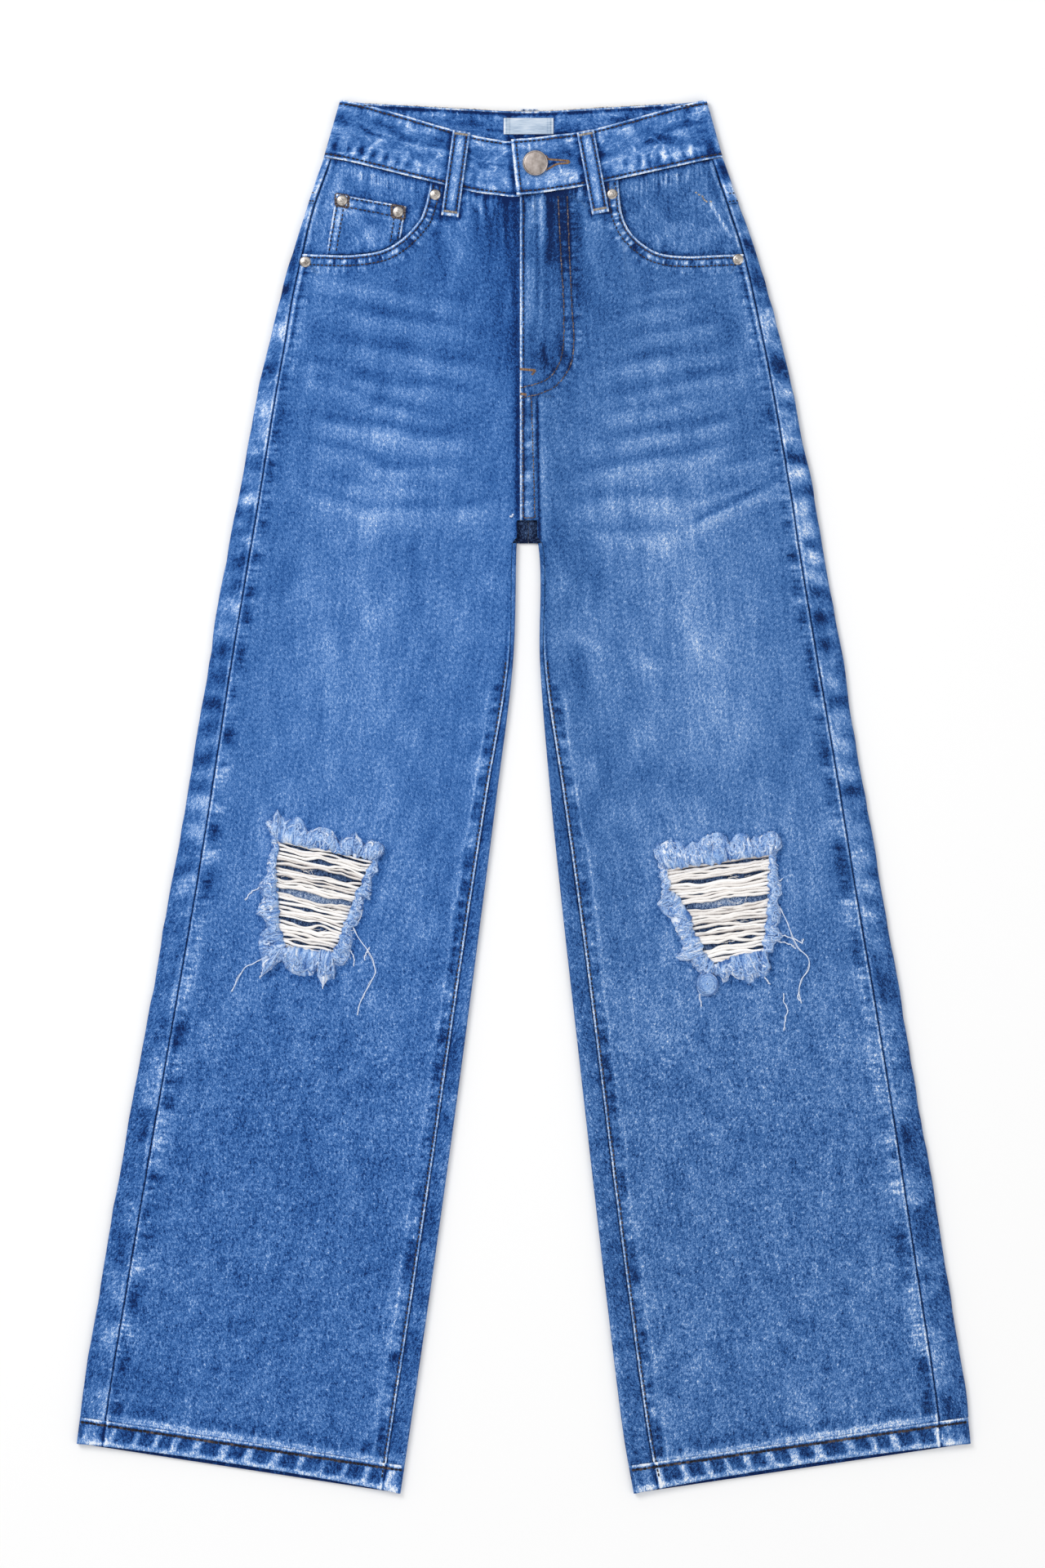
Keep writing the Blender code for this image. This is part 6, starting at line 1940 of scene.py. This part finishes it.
def back_pocket_rows(under, side):
    """Two rows round a back pocket's sides and bottom, and two along its top."""
    outline = back_pocket_outline(side)
    centre = outline.mean(axis=0)
    for shrink in (0.972, 0.872):
        ring = [centre + (outline[k] - centre) * shrink for k in (0, 4, 3, 2, 1)]
        ring[0][1], ring[-1][1] = outline[0][1], outline[1][1]
        for a, b in zip(ring, ring[1:]):
            under.row(np.array((a, b)), above=False)
    for drop in (2.0, 12.0):
        under.row(outline[:2] - (0, drop), above=False)


def yoke_rows(dark, under, side):
    """The yoke seam, seen from behind and where it comes round to the front."""
    seam_end, edge = outseam(side, YOKE_PLACE, -SEAM_GAP)[0], ends_of(side, YOKE_PLACE)[0][0]
    for rise in (2.0, 8.0):
        under.row(np.array((edge - (SIGN[side] * 3.0, 0), (CENTRE_BACK, YOKE_CENTRE_LOW))) + (0, rise),
            above=False)
        dark.row(np.array((seam_end, edge - (SIGN[side] * 0.6, 0))) + (0, rise), pitch=2.4, length=1.9)


def sew_middle(dark, fly, under):
    """Fly, centre front and centre back."""
    for name in ("outer", "inner"):
        fly.row(curve(J_STITCH[name], 80), pitch=2.5, length=2.5, width=0.9)
    fly.row(((5.7, 299.0), (8.4, 209.0)), **FLY_STITCH)
    fly.row(((-0.9, 296.0), (-0.6, 209.0)), **FLY_STITCH)
    fly.row(curve(((-0.6, 210.6), (0.4, 208.9), (4.0, 208.5), (8.8, 209.2)), 12), pitch=2.2, length=2.2,
        width=0.9)
    dark.row(((-0.3, 446.0), (-0.3, 322.0)), width=0.8)
    for step in (2.0, 8.0):
        x = CENTRE_BACK + step
        under.row(((x, YOKE_CENTRE_TOP), (x, CROTCH_HEIGHT + 3)), above=False)


def sew_coin_pocket(dark):
    for drop in (1.6, 8.6):
        dark.row(np.array(COIN_TOP) + np.array((-0.18, -0.98)) * drop + ((1.5, 0), (-1.5, 0)))
    for inset, low in ((1.7, 416.0), (7.0, 414.0)):
        dark.row(((-140.0 + inset, 449.0), (-147.0 + inset, 407.5)))
        dark.row(((-88.6 - inset, 439.5), (-92.5 - inset, low)))


def hem_stitch_line(side):
    outer, inner, inward, _ = ends_of(side, mix(HEM_PLACE, LAST_PLACE, 0.17))
    return np.array((outer[0] + inward[0] * 1.5, inner[0] - inward[0] * 1.5))


def back_rim(rim):
    """Overlocked top edge of the band at the back."""
    low, top = (curve([s[k:k + 2] for s in BAND_BACK], 160) for k in (0, 2))
    rim.row(mix(low, top, 0.988), pitch=1.6, length=2.2, width=1.7, wander=0.2)


def loop_outline(loop):
    top, down, across, length = loop_frame(loop)
    corners = ((-7.2, -2), (7.2, -2), (7.2, length), (-7.2, length))
    return [tuple(top + across * s + down * t) for s, t in corners]


def waist_rows(dark, under, side):
    """Rows along both edges of the band, in front and behind, and across the lap's end."""
    stations = np.array(BAND_FRONT[side] + (BAND_SIDE[side],))
    low, top = curve(stations[:, :2], 60), curve(stations[:, 2:], 60)
    start = 1 if side == "left" else 3
    for share in BAND_ROWS:
        line = mix(low, top, share)[start:]
        dark.row(line, width=1.3, length=2.7, skip=[loop_outline(FRONT_LOOPS[side])])
    back_stations = np.array((BAND_SIDE[side],) + (BAND_BACK[::-1] if side == "left" else BAND_BACK)[:3])
    low, top = curve(back_stations[:, :2], 60), curve(back_stations[:, 2:], 60)
    for share in BAND_ROWS:
        under.row(mix(low, top, share), above=False)
    dark.row(mix(low, top, BAND_ROWS[1])[2:])
    if side == "left":
        low, top = np.array(BAND_FRONT["left"][0]).reshape(2, 2)
        dark.row(mix(low, top, np.array([[0.08], [0.92]])) + (3.6, 0.0), width=1.0)


def loop_rows(stitches, bars, loop, above):
    """A row down each side of a belt loop, and a bar across each end."""
    top, down, across, length = loop_frame(loop)
    for share in (-1.0, 1.0):
        start = top + across * share * (LOOP_WIDTH / 2 - 2.2)
        line = np.array((start + down * 3.0, start + down * (length - 4.0)))
        stitches.row(line, pitch=2.9, length=2.4, width=1.2, above=above)
    for place in (2.2, length - 3.2):
        middle = top + down * place
        half = across * (LOOP_WIDTH / 2 - 1.6)
        bar_tack(bars, middle - half, middle + half, 0.55, above)


def bar_tack(stitches, start, end, spacing, above=True):
    """A dense bar: short stitches across its line."""
    start, end = np.asarray(start, float), np.asarray(end, float)
    length = np.linalg.norm(end - start)
    count = int(length / spacing)
    middle = mix(start, end, np.linspace(0, 1, count)[:, None])
    along = (end - start) / length
    across = np.broadcast_to((-along[1], along[0]), (count, 2))
    stitches.place(middle, across, 2.2, 0.6, above)


BUTTONHOLE_LIPS = (
    ((16.6, 478.4), (18.4, 476.0), (24.0, 475.4), (33.6, 475.0)),
    ((16.8, 468.0), (20.0, 469.6), (25.0, 472.3), (33.4, 473.3)),
)


def buttonhole(stitches):
    """Close stitches along both lips of the slit that shows beside the button, joined in a bar at its end."""
    for line in BUTTONHOLE_LIPS:
        line = curve(line, 44)
        stitches.place(line, left_of(unit(np.gradient(line, axis=0))), 1.8, 0.55)
    bar_tack(stitches, (32.6, 474.1), (34.4, 474.0), 0.4)


# Knees


def tubes(paths, radius, sides, flat=1.0):
    """Tubes along paths of shape (many, steps, 3); radius broadcasts over (many, steps)."""
    paths = np.asarray(paths, float)
    many, steps, _ = paths.shape
    along = np.gradient(paths, axis=1)
    along = along / (np.linalg.norm(along, axis=2)[..., None] + TINY)
    guide = np.broadcast_to(np.array((0.31, 0.22, 0.93)), along.shape)
    side = np.cross(along, guide)
    side = side / (np.linalg.norm(side, axis=2)[..., None] + TINY)
    over = np.cross(side, along)
    angle = round_angles(sides)
    radius = np.broadcast_to(radius, (many, steps))[..., None, None]
    ring = side[:, :, None] * np.cos(angle)[:, None] + over[:, :, None] * (flat * np.sin(angle))[:, None]
    points = (paths[:, :, None] + ring * radius).reshape(-1, 3)
    index = np.arange(many * steps * sides).reshape(many, steps, sides)
    caps = np.concatenate([index[:, 0, ::-1], index[:, -1]])
    return points, quads_of(index, wrap=True).reshape(-1, 4).tolist() + caps.tolist()


class Bundle:
    """Tubes and solids joined into one mesh, with a tone for each point."""

    def __init__(self):
        self.points, self.faces, self.tone, self.count = [], [], [], 0

    def add(self, paths, radius, sides, tone, flat=1.0, shaded=0.0):
        points, faces = tubes(paths, radius, sides, flat)
        many, around = len(paths), np.cos(round_angles(sides))
        tones = np.repeat(np.broadcast_to(tone, many), len(points) // many)
        # shaded paints shade on one side of each tube, away from the light, and a little painted light on the
        # other
        self.solid(points, faces, tones - shaded * np.tile(np.maximum(around, -0.3), len(points) // sides))

    def solid(self, points, faces, tone):
        self.faces += [[corner + self.count for corner in face] for face in faces]
        self.points.append(points)
        self.tone.append(tone)
        self.count += len(points)

    def object(self, name, material, slot, node=None):
        made = mesh_object(name, np.vstack(self.points), self.faces, material)
        attribute(made, "tone", np.concatenate(self.tone))
        stand_for(made, slot, node)


YARN_PITCH, YARN_STEPS = 2.62, 48
YARN_RADIUS, YARN_SLOPE = {"right": 1.08, "left": 1.08 + 0.12}, {"right": -0.205, "left": 0.135}


def knee_yarns(side):
    """The bared weft yarns across the hole: each bends round the gaps, and fine strays cross them."""
    hole = np.array(KNEE_HOLE[side])
    seed = seed_of("yarns", side)
    slope = YARN_SLOPE[side]
    top, low = hole[:, 1].max(), hole[:, 1].min()
    middle_x = hole[:, 0].mean()

    def strand(x, number, level):
        y = level + slope * (x - middle_x) + 1.1 * noise(x / 15.0, number * 0.35, seed)
        y = y + 0.75 * noise(x / 11.0, number * 1.3, seed + 10) + 0.36 * noise(x / 4.4, number, seed + 1)
        for gap in YARN_GAPS[side]:
            away = level + slope * (gap.x - middle_x) - gap.y
            push = band(x, gap.x, gap.length / 2) * (gap.width / 2 + 0.2)
            y = y + math.copysign(1.0, away) * push * math.exp(-abs(away) / 4.0)
        return y

    bundle = Bundle()
    wide = np.linspace(hole[:, 0].min() - 2, hole[:, 0].max() + 2, 160)
    for number, level in enumerate(np.arange(top + 9.0, low - 9.0, -YARN_PITCH)):
        within = inside(KNEE_HOLE[side], wide, strand(wide, number, level))
        if within.sum() < 12:
            continue
        x = np.linspace(wide[within][0] - 2.2, wide[within][-1] + 2.2, YARN_STEPS)
        y = strand(x, number, level)
        sunk = 1 - smooth(np.minimum(x - x[0], x[-1] - x) / 5.0)
        z = YARN_FLOOR + 1.15 + 0.42 * noise(x / 9.0, number * 3.1, seed + 2)
        z = z + 0.30 * (number % 2) - 1.3 * sunk
        fat = YARN_RADIUS[side] + 0.30 * noise(x / 8.0, number * 2.3, seed + 3)
        fat += 0.20 * noise(x / 3.4, number * 1.9, seed + 5)
        tone = 0.56 + 0.55 * noise(number * 1.7, 0.0, seed + 4)
        # Each yarn gets painted shade on its side away from the light
        bundle.add(np.column_stack([x, y, z])[None], fat[None], 8, tone, 0.85, 0.55)
        # A thinner ply that wanders over its neighbours
        if number % 3 == 0:
            drift = y + 1.1 * noise(x / 11.0, number * 4.7, seed + 8)
            ply = np.column_stack([x, drift, z + 0.62 + 0.25 * noise(x / 5.0, number, seed + 9)])
            bundle.add(ply[None, 3:-3:2], 0.46, 5, tone + 0.15, 1.0, 0.3)
    # Fine stray fibres across the gaps
    paths, reach = [], np.linspace(-0.5, 0.5, 10)
    for gap in YARN_GAPS[side][3:12:2]:
        for _ in range(4):
            x = gap.x + reach * rng.uniform(3, 9) + rng.normal(0, gap.length / 5)
            y = gap.y + slope * (x - gap.x) + reach * rng.normal(0, 0.5 * gap.width)
            y = y + 0.5 * noise(x / 3.0, gap.x, seed + 6)
            z = YARN_FLOOR + 1.2 + 0.3 * noise(x / 6.0, gap.y, seed + 7)
            paths.append(np.column_stack([x, y, z]))
    bundle.add(np.array(paths), 0.14, 4, rng.uniform(0.3, 0.7, len(paths)))
    bundle.object("bared_yarns_" + side, ECRU, "weft_yarn", "knee_yarns_" + side)


# Loose yarns lying on the cloth beside the knees: points in plan
LOOSE_YARNS = {
    "right": (
        ((-130.0, -90.0), (-126.0, -101.0), (-119.0, -112.0), (-112.5, -122.0), (-111.4, -131.0),
        (-115.5, -141.0),
         (-121.0, -150.0), (-124.3, -162.9)),
        ((-189.0, -61.0), (-195.5, -63.7), (-199.0, -69.0), (-204.0, -71.0), (-208.3, -76.4)),
        ((-188.0, -112.0), (-196.7, -121.2), (-203.0, -125.0), (-208.3, -128.0), (-214.0, -136.0),
        (-218.7, -145.8)),
        ((-134.0, -104.0), (-131.0, -113.0), (-127.0, -119.0), (-127.5, -126.0)),
        ((-150.5, -135.0), (-150.0, -139.0), (-150.2, -143.0)),
        ((-119.0, -121.5), (-118.0, -117.0), (-115.5, -112.5)),
        ((-195.0, -128.0), (-195.5, -132.0), (-197.5, -135.5)),
        ((-125.0, -78.0), (-121.5, -84.0), (-122.0, -90.0), (-126.0, -96.5)),
        ((-10.0, 209.8), (-8.8, 210.4), (-7.6, 211.2)),
    ),
    "left": (
        ((186.0, -74.0), (191.0, -82.0), (196.0, -92.0), (199.5, -101.6), (205.0, -112.0), (212.5, -121.0),
         (213.0, -129.0), (207.0, -137.0), (205.8, -145.0), (207.7, -154.0)),
        ((193.7, -147.0), (194.6, -153.0), (197.2, -159.8), (195.0, -167.0), (194.3, -173.9)),
        ((132.4, -128.0), (133.4, -138.0), (131.6, -147.0), (132.4, -157.0)),
        ((188.0, -102.0), (194.0, -103.5), (201.0, -105.5), (208.0, -109.0)),
        ((186.0, -107.5), (193.0, -108.5), (199.0, -110.0), (203.5, -113.0)),
        ((180.0, -134.0), (182.0, -137.0), (184.0, -140.0)), ((208.0, -109.0), (208.8, -106.5)),
        ((205.8, -145.0), (205.0, -149.0), (207.2, -153.0)),
        ((185.0, -60.0), (190.0, -63.0), (193.5, -61.0)),
    ),
}
FRAY_FLOOR = WALL + LEG_GAP + WALL
RING_STEPS, FIBRES, FIBRE_STEPS, STRAYS = 520, 760, 9, 60
UNDER_COLUMNS = (-1, 6, 0)
RUFFLE_SHARES = np.array((0.0, 0.05, 0.12, 0.21, 0.32, 0.44, 0.56, 0.68, 0.79, 0.88, 0.95, 1.0))
# The knot's middle, its half widths across and up, and its height
KNOT, KNOT_HEIGHT = (137.2, -139.6, 8.2, 8.9), 4.6
LOOSE_STEPS = 48


def turning(line):
    """1 for a loop that runs anticlockwise, and -1 for one that runs clockwise."""
    x, y = line.T
    return np.sign((x * np.roll(y, -1) - y * np.roll(x, -1)).sum())


def ruffle_feet(edge, outer):
    """The point of the torn edge below each point of the outline, evened out along the edge."""
    steps = len(edge) - 1
    nearest = np.linalg.norm(outer[:, None] - edge[None, :-1], axis=2).argmin(axis=1)
    place = np.maximum.accumulate(np.unwrap(nearest * math.pi / 300) * 300 / math.pi)
    even = np.arange(RING_STEPS) * float(steps) / RING_STEPS
    rest = place - even
    for _ in range(30):
        rest = (np.roll(rest, 1) + 2 * rest + np.roll(rest, -1)) / 4
    place = np.mod(rest + even, float(steps))
    return np.column_stack([np.interp(place, np.arange(steps + 1), edge[:, k]) for k in (0, 1)])


def ruffle(side):
    """The ruffle of fibres: points from over the hole out to its outline, its widths and its tones."""
    edge = evenly(closed(np.array(KNEE_HOLE[side])), 600)
    outer = evenly(closed(np.array(RUFFLE[side], float)), RING_STEPS)[:-1]
    if turning(edge) != turning(outer):
        outer = outer[::-1]
    inner = ruffle_feet(edge, outer)
    reach = np.linalg.norm(outer - inner, axis=1)
    way = (outer - inner) / reach[:, None]
    reach = np.maximum(reach, 1.8)
    seed = seed_of("fray", side)
    walked = np.arange(RING_STEPS) * line_length(closed(outer)) / RING_STEPS
    share, w = RUFFLE_SHARES[None], walked[:, None]
    pleat = noise(w / 1.7 + 1.6 * noise(w / 6.0, share * 2.0, seed), share * 1.2, seed + 1)
    big = noise(w / 4.6 + 1.4 * share, share * 1.7, seed + 3)
    curl = band(share, 0.80, 0.12) - 0.8 * band(share, 0.60, 0.08)
    arch = np.sin(math.pi * share ** 0.7) ** 0.75
    tall = np.clip(0.36 * reach + 0.5, 1.0, 4.4)[:, None]
    over_hole = 2.3 + 1.3 * noise(walked / 2.8, 0.0, seed + 5) + 1.2 * noise(walked / 9.0, 0.0, seed + 6)
    over_hole = np.maximum(0.8, over_hole)
    start = inner - way * over_hole[:, None]
    span = (reach + over_hole)[:, None] * share + 0.35 * pleat * share
    plan = start[:, None] + way[:, None] * span[..., None]
    plan = plan + left_of(way)[:, None] * (0.8 * big * np.sin(math.pi * share))[..., None]
    z = FRAY_FLOOR + mix(1.3, 0.25, share) + tall * arch * (1 + 0.30 * big + 0.26 * pleat + 0.12 * curl)
    # Lighter on raised pleats and curls and darker in their hollows, partly the fibres' own tone and partly
    # painted light and shade, and darker at the foot over the hole with painted shade
    tone = 0.48 + 0.42 * pleat + 0.30 * big + 0.14 * curl * (reach > 6.0)[:, None] - 0.10 * bell(share / 0.08)
    white = spot(outer[:, 0], outer[:, 1], (103.0, -60.0), (6.0, 9.0))
    return np.dstack([plan, z]), reach, np.clip(tone + 0.4 * white[:, None], 0, 1)


def on_ruffle(grid, around, share):
    """Points of the grid at places counted in its steps round the hole and in shares of its width."""
    column = np.interp(share, RUFFLE_SHARES, np.arange(len(RUFFLE_SHARES)))
    first, low = np.floor(around).astype(int), np.minimum(column.astype(int), len(RUFFLE_SHARES) - 2)
    across, up = (around - first)[..., None], (column - low)[..., None]
    a, b = first % len(grid), (first + 1) % len(grid)
    found = mix(mix(grid[a, low], grid[b, low], across), mix(grid[a, low + 1], grid[b, low + 1], across), up)
    beyond = np.maximum(share - 1.0, 0.0)[..., None] * (grid[a, -1] - grid[a, 0]) * (1.0, 1.0, 0.0)
    return found + beyond


def ruffle_core(grid, tone):
    """The ruffle as a closed ring: its pleated top and a plain underside just over the cloth, at half tone as
    painted shade.
    """
    low = grid[:, UNDER_COLUMNS].copy()
    low[..., 2] = FRAY_FLOOR + 0.06
    points = np.hstack([grid, low])
    steps, columns = points.shape[:2]
    quads = quads_of(closed(np.arange(steps * columns).reshape(steps, columns)), wrap=True)
    top = quads[:, :len(RUFFLE_SHARES) - 1].reshape(-1, 4)
    points, quads = points.reshape(-1, 3), quads.reshape(-1, 4)
    if not normals_up(points, top):
        quads = quads[:, ::-1]
    return points, quads.tolist(), np.hstack([tone, tone[:, UNDER_COLUMNS] * 0.5]).reshape(-1)


def fray(side):
    """The frayed edge: the ruffle, fibres that run out over it, loops that curl on it, and stray ends."""
    grid, reach, tone = ruffle(side)
    bundle = Bundle()
    bundle.solid(*ruffle_core(grid, tone))
    step = line_length(closed(grid[:, -1, :2])) / RING_STEPS
    begin = rng.uniform(0, RING_STEPS, FIBRES)
    begin = begin[rng.uniform(0, 1, FIBRES) < 0.35 + reach[begin.astype(int)] / 12.0]
    many, t = len(begin), np.linspace(0, 1, FIBRE_STEPS)[None]

    def draw(low, high):
        return rng.uniform(low, high, (many, 1))

    wide = reach[begin.astype(int)][:, None] + 1.7
    start, end = draw(-0.15, 0.5), draw(0.62, 1.0) + 0.12 * draw(0, 1) ** 4
    lean, bow = rng.normal(0, 2.2, (many, 1)), rng.normal(0, 2.2, (many, 1))
    loops = draw(0, 1) < 0.6
    size = np.minimum(draw(1.2, 3.4), wide * 0.32)
    angle = draw(0, TURN) + draw(1.6, 3.8) * t
    slide = np.where(loops, size * np.cos(angle), lean * (t - 0.5) * 2 + bow * np.sin(math.pi * t))
    share = np.where(loops, draw(0.4, 0.8) + size * np.sin(angle) / wide, mix(start, end, t))
    paths = on_ruffle(grid, begin[:, None] + slide / step, np.clip(share, 0.0, 1.15))
    paths[..., 2] += 0.22 + 0.5 * draw(0, 1) ** 2 * np.sin(math.pi * t)
    radius = np.where(loops, 0.95, 0.62) * (1 - 0.5 * np.abs(2 * t - 1) ** 3) * draw(0.7, 1.25)
    bundle.add(paths, radius, 4, np.clip(rng.normal(0.55, 0.15, many), 0.0, 1), 0.7, 0.28)
    # Stray ends over the cloth
    begin = rng.uniform(0, RING_STEPS, STRAYS)
    many, t = len(begin), np.linspace(0, 1, 8)[None]
    share = 0.8 + draw(0.25, 0.6) * t * np.minimum(1, 6.0 / reach[begin.astype(int)][:, None])
    bend = rng.normal(0, 1.6, (many, 1)) * t ** 2
    paths = on_ruffle(grid, begin[:, None] + bend / step, share)
    paths[..., 2] = FRAY_FLOOR + 0.3 + (paths[..., 2] - FRAY_FLOOR) * (1 - t) ** 2
    bundle.add(paths, 0.20, 4, rng.uniform(0.6, 0.9, many))
    if side == "left":
        knot(bundle)
    bundle.object("frayed_edge_" + side, FRAY, "fray", "fray_" + side)


def knot(bundle):
    """A ball of wound fibres at the end of the torn edge."""
    x, y, wide, tall = KNOT
    share, angle = np.linspace(0.02, 1, 16)[:, None], round_angles(44)[None]
    winding = share * 2.7 + angle / TURN + 0.34 * noise(share * 2.4, np.cos(angle) * 1.6, 560)
    groove = np.cos(TURN * winding)
    wobble = 1 + 0.12 * noise(1.3 * np.cos(angle) + 3.0, 1.3 * np.sin(angle), 561)
    dome = np.sqrt(np.maximum(0.0, 1 - share ** 2))
    z = FRAY_FLOOR + 0.2 + KNOT_HEIGHT * dome + 0.45 * groove * (share > 0.1)
    plan = (x + wide * share * wobble * np.cos(angle), y + tall * share * wobble * np.sin(angle))
    points = np.dstack([*plan, z]).reshape(-1, 3)
    # Lighter on the wound ridges and darker in the grooves: painted light and shade
    bundle.solid(points, turned_shell(points, z.shape), np.clip(0.40 + 0.17 * groove, 0, 1).reshape(-1))
    # Fibres wound round it
    many, t = 60, np.linspace(0, 1, 12)[None]
    begin, turn = rng.uniform(0, TURN, (many, 1)), rng.uniform(1.2, 3.4, (many, 1))
    reach = np.clip(rng.uniform(0.1, 0.95, (many, 1)) - 0.30 * turn * t / TURN, 0.03, 1.0)
    spin = begin + turn * t
    high = FRAY_FLOOR + 0.45 + KNOT_HEIGHT * np.sqrt(1 - reach ** 2) + 0.3
    paths = np.dstack([x + wide * reach * np.cos(spin), y + tall * reach * np.sin(spin), high])
    bundle.add(paths, 0.72, 4, rng.uniform(0.28, 0.64, many), 0.8, 0.2)


def loose_yarns(side, tree):
    """Each loose yarn is a strand with a thinner one that wanders beside it."""
    loose = Bundle()
    steps = np.arange(LOOSE_STEPS + 1)

    def wander(number, over, seed):
        return np.column_stack([noise(steps / over, number, seed), noise(steps / over, number, seed + 1)])

    for number, route in enumerate(LOOSE_YARNS[side]):
        line = curve(route, LOOSE_STEPS) + 0.5 * wander(number, 4.0, 601)
        z = seat_on(tree, line)
        z = np.where(np.isnan(z), FRAY_FLOOR, z) + 0.40 + 0.15 * noise(steps / 6.0, number, 603)
        loose.add(np.dstack([line[None], z[None]]), 0.36, 5, 0.6)
        thin = line + 0.8 * wander(number, 3.0, 604)
        loose.add(np.dstack([thin[None], z[None] + 0.1]), 0.16, 4, 0.8)
    loose.object("loose_threads_" + side, LOOSE, "weft_yarn")


# Hardware


def lathe(name, profile, at, height, material, slot, node, steps=64):
    """A turned piece: radius and height pairs from the axis outwards and down."""
    radius, level = np.array(profile).T[..., None]
    angle = round_angles(steps)
    level = np.broadcast_to(level, (len(profile), steps))
    ring = np.stack([radius * np.cos(angle), radius * np.sin(angle), level], axis=-1)
    points = ring.reshape(-1, 3) + np.array((*at, height))
    made = mesh_object(name, points, turned_shell(points, level.shape), material)
    made.data.set_sharp_from_angle(angle=math.radians(60))
    stand_for(made, slot, node)


BUTTON_AT, BUTTON_RADIUS, SHANK_RADIUS, RIVET_RADIUS, AXIS_HOLE = (8.7, 472.8), 9.5, 2.4, 4.25, 0.05
# Shares of the radius, and heights, from the middle outwards and down
BUTTON_PROFILE = (
    (0.3, 2.72), (0.6, 2.60), (0.80, 2.42), (0.86, 2.34), (0.885, 2.10), (0.91, 2.36), (0.95, 2.34),
    (0.985, 2.0), (1.0, 1.5), (0.98, 0.9), (0.9, 0.35), (0.7, 0.1),
)
RIVET_PROFILE = (
    (0.10, 1.98), (0.18, 1.8), (0.24, 1.45), (0.30, 1.25), (0.5, 1.3), (0.7, 1.15), (0.85, 0.85),
    (0.95, 0.5), (1.0, 0.15), (0.97, -0.2),
)
RIVETS = {
    "rivet_pocket_right_inner": (-66.2, 449.8), "rivet_pocket_right_outer": (-163.2, 399.7),
    "rivet_pocket_left_inner": (66.2, 450.2), "rivet_pocket_left_outer": (160.1, 401.4),
    "rivet_coin_outer": (-135.7, 445.5), "rivet_coin_inner": (-93.9, 437.0),
}


def hardware():
    nickel = metal(
        "worn_nickel", ramp_of((0.1, 112, 102, 98), (0.5, 172, 162, 157), (0.9, 206, 199, 196)), 0.46,
        (2.2, 0.16, 0.4))
    brassy = metal(
        "worn_rivet", ramp_of((0.15, 90, 80, 72), (0.5, 184, 177, 170), (0.85, 232, 228, 224)), 0.34,
        (1.4, 1.4, 1.4))
    on_lap = BAND_LAP_HEIGHT + BAND_WALL / 2 + SEAM_GAP
    below = on_lap - ON_BAND
    profile = [(BUTTON_RADIUS * share, height) for share, height in BUTTON_PROFILE]
    profile += [(SHANK_RADIUS, 0.0), (SHANK_RADIUS, -below), (AXIS_HOLE, -below)]
    lathe("shank_button", [(AXIS_HOLE, 2.75)] + profile, BUTTON_AT, on_lap, nickel, "button_metal", "button")
    rings = [(RIVET_RADIUS * share, height) for share, height in RIVET_PROFILE]
    dome = [(AXIS_HOLE, 2.0)] + rings + [(AXIS_HOLE, -0.2)]
    for name, at in RIVETS.items():
        lathe(name.replace("rivet", "cap"), dome, at, SEAT_FRONT + SEAM_GAP + 0.15, brassy, "rivet_metal",
            name, 40)


# Studio

# Each lamp: place and size in metres, and power
LAMPS = (
    ("key", (-1.5, 1.5, 2.2), 1.4, 46.0), ("fill", (1.8, -0.6, 2.4), 2.0, 16.0),
    ("low", (-0.4, -2.0, 2.0), 1.6, 8.0),
)
# Seen from straight above: height and middle of what the camera takes in, in metres
FRAME_HEIGHT, FRAME_CENTRE = 1.1712, (-0.0009, 0.0098)
CAMERA_DISTANCE, CLOTH_MIDDLE = 3.0, 0.005


def studio():
    bpy.ops.mesh.primitive_plane_add(size=8.0, location=(0, 0, -0.0004))
    floor = bpy.context.object
    floor.name = "floor"
    shade = Shade("floor_paper", 0.9)
    shade.shader.inputs["Base Color"].default_value = (0.9, 0.9, 0.9, 1.0)
    floor.data.materials.append(shade.material)
    scene = bpy.context.scene
    scene.view_settings.view_transform = "Standard"
    world = bpy.data.worlds.new("studio")
    world.use_nodes = True
    world.node_tree.nodes["Background"].inputs["Color"].default_value = (1.0, 1.0, 1.0, 1.0)
    world.node_tree.nodes["Background"].inputs["Strength"].default_value = 0.62
    scene.world = world
    for name, place, size, power in LAMPS:
        lamp = bpy.data.lights.new(name, "AREA")
        lamp.size, lamp.energy = size, power
        made = bpy.data.objects.new(name, lamp)
        made.location = place
        made.rotation_euler = (-Vector(place)).to_track_quat("-Z", "Y").to_euler()
        scene.collection.objects.link(made)
    lens = bpy.data.cameras.new("camera")
    camera = bpy.data.objects.new("camera", lens)
    scene.collection.objects.link(camera)
    lens.sensor_width = 36.0
    lens.lens = lens.sensor_width * CAMERA_DISTANCE / FRAME_HEIGHT
    lens.clip_end = 50.0
    camera.location = (*FRAME_CENTRE, CAMERA_DISTANCE + CLOTH_MIDDLE)
    scene.camera = camera


def main():
    studio()
    for side in SIDES:
        front(side)
        back(side)
        yoke(side)
        hem(side)
        facing(side)
        back_pocket(side)
        belt_loop("loop_front_" + side, FRONT_LOOPS[side], "belt_loop_front_" + side, True, 350)
    coin_pocket()
    waistband()
    for name, loop in BACK_LOOPS.items():
        belt_loop("loop_back_" + name, loop, "belt_loop_back_" + name, False, 360)
    waist_label()
    tree = surface_tree()
    sew(tree)
    for side in SIDES:
        knee_yarns(side)
        fray(side)
        loose_yarns(side, tree)
    hardware()


main()
